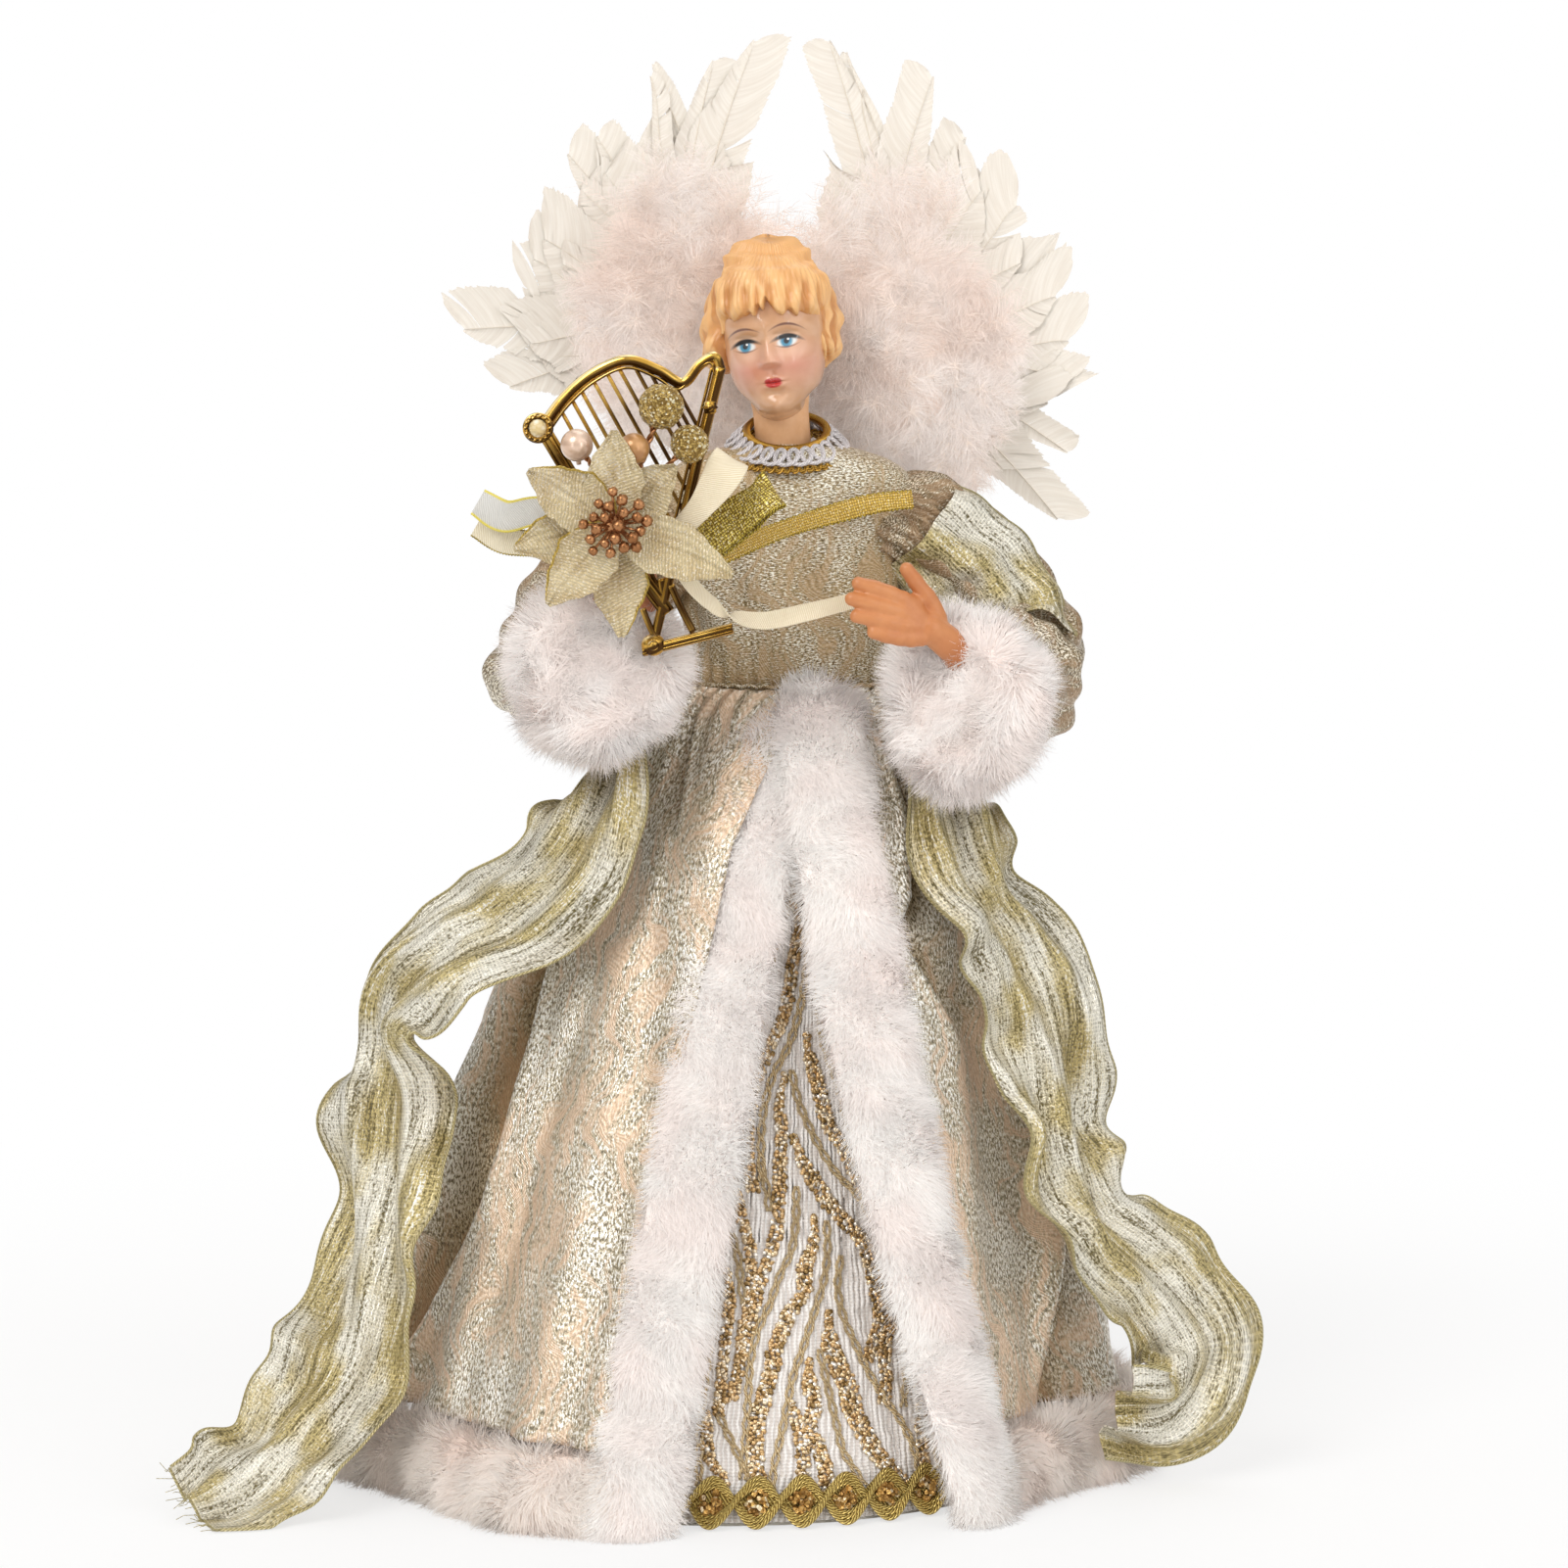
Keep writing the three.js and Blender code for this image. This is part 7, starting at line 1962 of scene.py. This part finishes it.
def petal_material():
    w = Finish("petal_gauze", roughness=0.45, metallic=0.15)
    place = w.split(w.uv)
    lean_on = w.plus(place[1], w.times(place[0], 0.45))
    warp = w.times(w.noise(w.uv, 0.35, 2.0), 1.2)
    line = w.sine(w.times(w.plus(lean_on, warp), 8.5))
    dash = w.ramp(w.noise(w.scaled(w.uv, 0.6, 3.0), 1.4, 2.0, 0.7), 0.42, 0.62)
    glint = w.times(w.ramp(line, 0.0, 0.8), dash)
    cloud = w.ramp(w.noise(w.uv, 0.16, 2.0), 0.35, 0.65)
    base = w.mix(cloud, "#e0cfa6", "#cbb588")
    dark = w.mix(w.times(glint, 0.75), base, "#95855c")
    # Painted highlights: pale patches over the gauze
    bright = w.ramp(w.noise(w.uv, 2.6, 1.0, 0.6), 0.55, 0.7)
    w.shade(Base_Color=w.mix(w.times(bright, 0.7), dark, "#fffaf0"))
    w.shade(Alpha=w.blend(w.most(glint, w.ramp(line, -0.6, 0.4)), 0.6, 1.0))
    w.bump(w.plus(line, dash), 0.35, 0.0003)
    return w.material


def pearl_material(name, base, deep):
    w = Finish(name, roughness=0.28, metallic=0.35, Coat_Weight=0.8, Coat_Roughness=0.15)
    w.shade(Base_Color=w.mix(w.ramp(w.noise(w.object, 240.0, 3.0), 0.35, 0.65), base, deep))
    return w.material


def satin_material(name, light, shade, alpha=1.0, edge=None):
    """Woven satin with fine cross ribs, and a thicker edge."""
    w = Finish(name, roughness=0.38, Sheen_Weight=0.2)
    place = w.split(w.uv)
    rib = w.sine(w.times(w.plus(place[1], w.times(place[0], 0.5)), 15.0))
    colour = w.mix(w.ramp(w.plus(rib, w.noise(w.uv, 0.7, 2.0)), -0.6, 1.4), shade, light)
    if edge:
        rim = w.ramp(w.math("ABSOLUTE", place[0]), edge[1] - 0.7, edge[1] - 0.35)
        colour = w.mix(rim, colour, edge[0])
        w.shade(Alpha=w.blend(rim, alpha, 1.0))
    elif alpha < 1:
        w.shade(Alpha=alpha)
    w.shade(Base_Color=colour)
    w.bump(rib, 0.35, 0.0002)
    return w.material


def lame_material(name, bright, deep, sheer, flakes=1.0):
    """Gold metal tape: a grid of bright warp and dark gaps, with glitter over it."""
    w = Finish(name, roughness=0.32, metallic=0.45)
    place = w.split(w.uv)
    warp = w.sine(w.times(place[0], 11.0))
    weft = w.sine(w.times(place[1], 11.0))
    grid = w.times(w.ramp(warp, -0.9, -0.2), w.ramp(weft, -0.95, -0.3))
    glitter = w.ramp(w.noise(w.uv, 2.0 / flakes, 2.0, 0.7), 0.4, 0.56, 1.0 - 0.7 * min(flakes, 1.3), 1.0)
    colour = w.mix(w.times(grid, glitter), deep, bright)
    # Painted glints: pale specks over the tape
    spark = w.ramp(w.noise(w.uv, 2.6 / flakes, 2.0, 0.6), 0.58, 0.64)
    w.shade(Base_Color=w.mix(spark, colour, "#fff6c8"))
    w.shade(Alpha=w.blend(w.ramp(grid, 0.1, 0.5), sheer, 1.0))
    w.bump(w.plus(grid, glitter), 0.5, 0.0003)
    return w.material


# Add-on settings


class TOPPER_PG_fur(bpy.types.PropertyGroup):
    trim_length: bpy.props.FloatProperty(
        name="Trim pile", description="Length of the hairs on the coat's front trims",
        default=0.0034, min=0.001, max=0.01, unit="LENGTH")
    hem_length: bpy.props.FloatProperty(
        name="Hem pile", description="Length of the hairs on the band under the coat's hem",
        default=0.0044, min=0.001, max=0.01, unit="LENGTH")
    cuff_length: bpy.props.FloatProperty(
        name="Cuff pile", description="Length of the curly hairs on the cuffs",
        default=0.005, min=0.001, max=0.012, unit="LENGTH")
    density: bpy.props.FloatProperty(
        name="Density", description="Share of the full number of hairs", default=1.0, min=0.05, max=1.0,
        subtype="FACTOR")


class TOPPER_PG_cloth(bpy.types.PropertyGroup):
    sheer: bpy.props.FloatProperty(
        name="Scarf cover", description="How opaque the gaps of the scarf's weave are",
        default=0.72, min=0.1, max=1.0, subtype="FACTOR")
    ground: bpy.props.FloatVectorProperty(
        name="Coat ground", description="Colour of the coat's matt threads",
        default=srgb("#e9ceb2")[:3], size=3, min=0.0, max=1.0, subtype="COLOR")


class TOPPER_PG_stage(bpy.types.PropertyGroup):
    key: bpy.props.FloatProperty(
        name="Key light", description="Strength of the soft lamp at the upper left",
        default=1.45, min=0.0, max=20.0)
    fill: bpy.props.FloatProperty(
        name="Fill light", description="Strength of the soft lamps at the right and above",
        default=0.68, min=0.0, max=20.0)
    ambient: bpy.props.FloatProperty(
        name="Ambient", description="Strength of the pale surroundings on matt surfaces",
        default=0.6, min=0.0, max=2.0)


class TopperOperator:
    """What the operators share: they can be undone, and they need the loaded frame."""

    bl_options = {"REGISTER", "UNDO"}

    @classmethod
    def poll(cls, context):
        return context.scene is not None


class TOPPER_OT_inner_parts(TopperOperator, bpy.types.Operator):
    """Finish the card cone, foam torso, wires and cards that the clothes sit on"""

    bl_idname = "topper.inner_parts"
    bl_label = "Inner parts"

    def execute(self, context):
        card = plain_material("white_card", "#ece8df", "#ddd7c9", 70.0)
        foam = plain_material("white_foam", "#f1efe9", "#e6e2d8", 260.0, height=0.0005)
        steel = plain_material("steel_wire", "#a3a19c", "#8b8984", 120.0, metallic=0.9)
        for name in ("cone_support", "cone_cap", "right_wing_card", "left_wing_card", "wing_holder"):
            paint_node(name, card)
        paint_node("torso_form", foam)
        for name in ("neck_pin", "right_arm_wire", "left_arm_wire", "right_wing_wire", "left_wing_wire"):
            paint_node(name, steel)
        return {"FINISHED"}


class TOPPER_OT_gown(TopperOperator, bpy.types.Operator):
    """Make the brocade coat, bodice and sleeves"""

    bl_idname = "topper.gown"
    bl_label = "Gown"

    def execute(self, context):
        ground = (*context.scene.topper_cloth.ground, 1.0)
        # deep sets how strongly painted shade darkens the coat's sunk folds
        coat = brocade_material("coat_brocade", ground, "#d5b697", "#bcb196", "#fffdf7", "#5a5343", deep=0.9)
        bodice = brocade_material("bodice_brocade", "#cfb38c", "#ae9062", "#b09a6d", "#fffdf2", "#433722",
                                  1.7, 1.5, 3.8)
        sleeve = brocade_material("sleeve_brocade", "#b09372", "#8d7150", "#968463", "#f6eedd", "#332918",
                                  1.7, 1.8, 2.4)
        make_coat(coat)
        make_bodice(bodice)
        make_sleeve("right_sleeve_cloth", RIGHT_ARM, "figure", "right_sleeve", 0.04, sleeve)
        make_sleeve("left_sleeve_cloth", LEFT_ARM, "left_arm", "left_sleeve", 0.02, sleeve)
        return {"FINISHED"}


class TOPPER_OT_underskirt(TopperOperator, bpy.types.Operator):
    """Make the knit underskirt with its sequins and cords, and the braid along its hem"""

    bl_idname = "topper.underskirt"
    bl_label = "Underskirt"

    def execute(self, context):
        cord = cord_material("gold_cord", "#efdcb4", "#c4a370", metallic=0.3)
        make_underskirt(knit_material(), cord, sequin_material())
        braid = cord_material("braid_wire", "#e9cf7c", "#84682c", metallic=0.55, roughness=0.25)
        rosette = glitter_material("rosette_glitter", 1300.0, "#d9ac62", "#8a6430", "#fff0cc", metallic=0.6)
        make_hem_braid(braid, rosette)
        return {"FINISHED"}


class TOPPER_OT_fur(TopperOperator, bpy.types.Operator):
    """Make the fur trims, hem band and cuffs"""

    bl_idname = "topper.fur"
    bl_label = "Fur"

    def execute(self, context):
        white = fibre_material("trim_fur", "#f3ebe7", "#f6f3f0", "#f3eae6", sheen=0.25)
        hem = fibre_material("hem_fur", "#e9ddd4", "#eee6df", "#e9dcd4", sheen=0.2)
        cuff = fibre_material("cuff_fur", "#f6ece7", "#faf5f2", "#f7ece7", patches=110.0, sheen=0.25)
        fur = context.scene.topper_fur
        make_trim("left_front_trim_fur", 1, "left_front_trim", 12, white, fur)
        make_trim("right_front_trim_fur", -1, "right_front_trim", 13, white, fur)
        make_hem_fur("hem_fur_right_band", -100, -14, "hem_fur_right", 14, 34000, hem, fur)
        make_hem_fur("hem_fur_left_band", 37, 100, "hem_fur_left", 15, 26000, hem, fur)
        make_hem_fur("hem_fur_back_band", 100.3, 259.7, "hem_fur_back", 16, 44000, hem, fur)
        make_cuff("left_cuff_fur", (49.2, -39.5, 165.5), (-0.42, -0.88, 0.14), (17.2, 19.6, 10.5), "left_arm",
                  "left_cuff", 17, cuff, fur)
        make_cuff("right_cuff_fur", (-27, -40, 172), (0.25, -0.94, 0.18), (18.5, 18.5, 10), "figure",
                  "right_cuff", 18, cuff, fur)
        return {"FINISHED"}


class TOPPER_OT_scarf(TopperOperator, bpy.types.Operator):
    """Make the sheer scarf with its wired edges"""

    bl_idname = "topper.scarf"
    bl_label = "Scarf"

    def execute(self, context):
        cover = context.scene.topper_cloth.sheer
        sheer = sheer_material("scarf_gauze", cover, "#d1bf86", "#f6f1e2", "#70643b")
        make_scarf(sheer, cord_material("scarf_wire", "#ddd0a0", "#a89a68", metallic=0.4, roughness=0.35))
        return {"FINISHED"}


class TOPPER_OT_collar(TopperOperator, bpy.types.Operator):
    """Make the looped gimp round the neck"""

    bl_idname = "topper.collar"
    bl_label = "Collar"

    def execute(self, context):
        white = cord_material("white_gimp_cord", "#fbf7f7", "#d6cfd2", metallic=0.0, roughness=0.6)
        make_collar(white, cord_material("gold_gimp_cord", "#dcae4c", "#8a5f1c"))
        return {"FINISHED"}


class TOPPER_OT_head(TopperOperator, bpy.types.Operator):
    """Make the head with its painted face, moulded hair and neck"""

    bl_idname = "topper.head"
    bl_label = "Head"

    def execute(self, context):
        neck = plain_material("neck_paint", "#e4b386", "#d7a171", 140.0)
        make_head(face_material(), hair_material(), neck)
        return {"FINISHED"}


class TOPPER_OT_hands(TopperOperator, bpy.types.Operator):
    """Make the moulded hands"""

    bl_idname = "topper.hands"
    bl_label = "Hands"

    def execute(self, context):
        left = plain_material("left_hand_paint", "#cc8855", "#bd7646", 140.0, gloss=0.35)
        make_hands(left, plain_material("right_hand_paint", "#cf8a66", "#bd7856", 140.0))
        return {"FINISHED"}


class TOPPER_OT_harp(TopperOperator, bpy.types.Operator):
    """Make the plated harp and its jewel"""

    bl_idname = "topper.harp"
    bl_label = "Harp"

    def execute(self, context):
        make_harp(plating_material(), jewel_material())
        return {"FINISHED"}


class TOPPER_OT_flower(TopperOperator, bpy.types.Operator):
    """Make the poinsettia, berries and pearls with their wires"""

    bl_idname = "topper.flower"
    bl_label = "Flower bunch"

    def execute(self, context):
        bronze = plain_material("bronze_plastic", "#b9855a", "#93613a", 200.0, metallic=0.8, gloss=0.25)
        make_flower(petal_material(), cord_material("petal_wire", "#dcc069", "#a98a34"), bronze)
        make_berries(glitter_material("berry_glitter", 2300.0, "#dcbd72", "#8d6f34", "#fff6d6", metallic=0.6),
                     pearl_material("gold_pearl", "#c8955e", "#a8743e"),
                     pearl_material("pink_pearl", "#ecd2bd", "#dcbba2"), bronze)
        return {"FINISHED"}


class TOPPER_OT_ribbons(TopperOperator, bpy.types.Operator):
    """Make the narrow satin and gold ribbons"""

    bl_idname = "topper.ribbons"
    bl_label = "Ribbons"

    def execute(self, context):
        lame = lame_material("gold_lame", "#ffe977", "#7c5f12", 0.95, 1.4)
        gauze = lame_material("gold_ribbon_gauze", "#ecc95c", "#a9822c", 0.8)
        satin = satin_material("cream_satin", "#f3e8cf", "#ddcba6")
        cream = satin_material("cream_ribbon_end", "#efe6cf", "#d6c8a6")
        grey = satin_material("grey_ribbon_end", "#e6e4de", "#cfcdc6", 0.8, ("#e0cf5a", 3.2))
        looks = {
            "satin_loop": satin, "satin_tail": satin, "gold_loop": lame, "gold_tail": gauze,
            "ribbon_end_gold": cream, "ribbon_end_satin": grey,
        }
        make_ribbons(looks, cord_material("ribbon_edge", "#e3c84e", "#6d5510"))
        return {"FINISHED"}


class TOPPER_OT_wings(TopperOperator, bpy.types.Operator):
    """Make both feather wings and the down in front of them"""

    bl_idname = "topper.wings"
    bl_label = "Wings"

    def execute(self, context):
        vane = vane_material()
        shaft = plain_material("feather_shaft", "#efe7da", "#e2d8c8", 120.0)
        down = fibre_material("marabou", "#ede0d6", "#f4ede9", "#efded4", patches=45.0, sheen=0.2)
        pad = fibre_material("marabou_core", "#f3e6dd", "#f8efe8", "#f3e2d8", patches=70.0)
        for side in (-1, 1):
            make_wing(side, vane, shaft, down, pad)
        return {"FINISHED"}


class TOPPER_OT_stage(TopperOperator, bpy.types.Operator):
    """Make the floor, surroundings, lamps and camera"""

    bl_idname = "topper.stage"
    bl_label = "Stage"

    def execute(self, context):
        make_stage(context.scene.topper_stage)
        return {"FINISHED"}


# The camera as worked out from the photo: its focal length and the width, both in the photo's pixels
FOCAL_PIXELS, PHOTO_PIXELS, SENSOR_WIDTH = 5269.69, 1601, 36.0


def make_stage(settings):
    scene = bpy.context.scene
    scene.view_settings.view_transform = "Standard"
    # Floor: plain white; its own brightness grows away from the object, so that only the shadow near it shows
    floor = Shell()
    side = np.concatenate([-np.geomspace(6000, 60, 24), np.geomspace(60, 6000, 24)])
    floor.grid(stack(side[None, :], side[:, None], -0.05 + 0 * side[None, :]))
    material = bpy.data.materials.new("floor_white")
    material.use_nodes = True
    w = Wiring(material.node_tree)
    material.node_tree.nodes.remove(material.node_tree.nodes["Principled BSDF"])
    path = w.node("LightPath").outputs
    seen = w.most(path["Is Camera Ray"], path["Is Transmission Ray"])
    seen = w.most(seen, path["Is Glossy Ray"])
    place = w.node("TexCoord").outputs["Object"]
    away = w.node("VectorMath", {0: w.scaled(place, 1, 1, 0)}, operation="LENGTH").outputs["Value"]
    own = w.ramp(away, 0.13, 0.42, 0.66, 1.0)
    matt = w.node("BsdfDiffuse", {"Color": (0.9, 0.9, 0.9, 1)}).outputs[0]
    glow = w.node("Emission", {"Color": (1, 1, 1, 1), "Strength": 1.0}).outputs[0]
    both = w.node("MixShader", {0: w.times(seen, own), 1: matt, 2: glow}).outputs[0]
    w.feed(both, material.node_tree.nodes["Material Output"].inputs["Surface"])
    mesh = bpy.data.meshes.new("floor")
    points, faces = np.concatenate(floor.points) * MM, np.concatenate(floor.faces)
    mesh.from_pydata(points.tolist(), [], faces.tolist())
    mesh.materials.append(material)
    ground = bpy.data.objects.new("floor", mesh)
    scene.collection.objects.link(ground)
    # Surroundings: white to the camera; mirrors see bright above and behind, and darker in front and low
    world = bpy.data.worlds.new("surroundings")
    world.use_nodes = True
    scene.world = world
    w = Wiring(world.node_tree)
    world.node_tree.nodes.clear()
    path = w.node("LightPath").outputs
    way = w.split(w.node("TexCoord").outputs["Generated"])
    band = w.ramp(way[2], -0.1, 0.55, 0.25, 1.0)
    stripe = w.ramp(w.sine(w.times(way[0], 7.0)), -0.3, 0.3, 0.5, 1.0)
    mirror = w.times(band, stripe)
    plain = w.node("Background", {"Color": (1, 0.985, 0.97, 1), "Strength": settings.ambient}).outputs[0]
    shown = w.node("Background", {"Color": (1, 1, 1, 1), "Strength": 1.0}).outputs[0]
    shiny = w.node("Background", {"Color": (1, 1, 1, 1), "Strength": mirror}).outputs[0]
    seen = w.most(path["Is Camera Ray"], path["Is Transmission Ray"])
    first = w.node("MixShader", {0: path["Is Glossy Ray"], 1: plain, 2: shiny}).outputs[0]
    out = w.node("OutputWorld")
    w.feed(w.node("MixShader", {0: seen, 1: first, 2: shown}).outputs[0], out.inputs["Surface"])
    # Soft lamps far off: upper left in front, right, and above from behind
    lamps = [
        ("key", (-0.6, -0.9, 1.0), 34, settings.key * 0.86, (1, 0.985, 0.96)),
        ("fill", (0.9, -0.75, 0.45), 55, settings.fill, (1, 0.99, 0.98)),
        ("top", (0.15, 0.6, 1.1), 45, settings.fill * 0.6, (1, 1, 1)),
    ]
    for name, spot, wide, strength, colour in lamps:
        light = bpy.data.lights.new(name, "SUN")
        light.angle, light.energy, light.color = math.radians(wide), strength, colour
        lamp = bpy.data.objects.new(name, light)
        lamp.location = spot
        lamp.rotation_euler = (-Vector(spot)).to_track_quat("-Z", "Y").to_euler()
        scene.collection.objects.link(lamp)
    # Tall narrow lamps at both sides in front, for the streaks that lacquer and plating show
    for spot in ((-0.75, -1.35, 0.34), (0.85, -1.3, 0.3)):
        light = bpy.data.lights.new("strip", "AREA")
        light.shape, light.size, light.size_y, light.energy = "RECTANGLE", 0.1, 0.8, settings.key * 0.95
        lamp = bpy.data.objects.new("strip", light)
        lamp.location = spot
        lamp.rotation_euler = (Vector((0.012, 0, 0.22)) - lamp.location).to_track_quat("-Z", "Y").to_euler()
        scene.collection.objects.link(lamp)
    # Camera: level with the head, 1.1 m in front, tipped down at the gown
    lens = bpy.data.cameras.new("camera")
    lens.sensor_width, lens.lens = SENSOR_WIDTH, SENSOR_WIDTH * FOCAL_PIXELS / PHOTO_PIXELS
    lens.clip_start, lens.clip_end = 0.05, 20
    camera = bpy.data.objects.new("camera", lens)
    camera.location = (0.0117, -1.1, 0.265)
    camera.rotation_euler = (math.pi / 2 - math.atan2(0.121, 1.1), 0, 0)
    scene.collection.objects.link(camera)
    scene.camera = camera


class TOPPER_PT_panel(bpy.types.Panel):
    """Lists the steps that build the topper"""

    bl_idname = "TOPPER_PT_panel"
    bl_label = "Angel tree topper"
    bl_space_type = "VIEW_3D"
    bl_region_type = "UI"
    bl_category = "Topper"

    def draw(self, context):
        for settings in (context.scene.topper_cloth, context.scene.topper_fur, context.scene.topper_stage):
            box = self.layout.box()
            for label in settings.__annotations__:
                box.prop(settings, label)
        for operator in OPERATORS:
            self.layout.operator(operator.bl_idname)


SETTINGS = (TOPPER_PG_fur, TOPPER_PG_cloth, TOPPER_PG_stage)
OPERATORS = (
    TOPPER_OT_inner_parts, TOPPER_OT_gown, TOPPER_OT_underskirt, TOPPER_OT_fur, TOPPER_OT_scarf,
    TOPPER_OT_collar, TOPPER_OT_head, TOPPER_OT_hands, TOPPER_OT_harp, TOPPER_OT_flower, TOPPER_OT_ribbons,
    TOPPER_OT_wings, TOPPER_OT_stage,
)


def register():
    for item in SETTINGS + OPERATORS + (TOPPER_PT_panel,):
        bpy.utils.register_class(item)
    bpy.types.Scene.topper_fur = bpy.props.PointerProperty(type=TOPPER_PG_fur)
    bpy.types.Scene.topper_cloth = bpy.props.PointerProperty(type=TOPPER_PG_cloth)
    bpy.types.Scene.topper_stage = bpy.props.PointerProperty(type=TOPPER_PG_stage)


def unregister():
    del bpy.types.Scene.topper_fur, bpy.types.Scene.topper_cloth, bpy.types.Scene.topper_stage
    for item in reversed(SETTINGS + OPERATORS + (TOPPER_PT_panel,)):
        bpy.utils.unregister_class(item)


def main():
    register()
    make_groups()
    for operator in OPERATORS:
        group, name = operator.bl_idname.split(".")
        getattr(getattr(bpy.ops, group), name)()


if __name__ == "__main__":
    main()
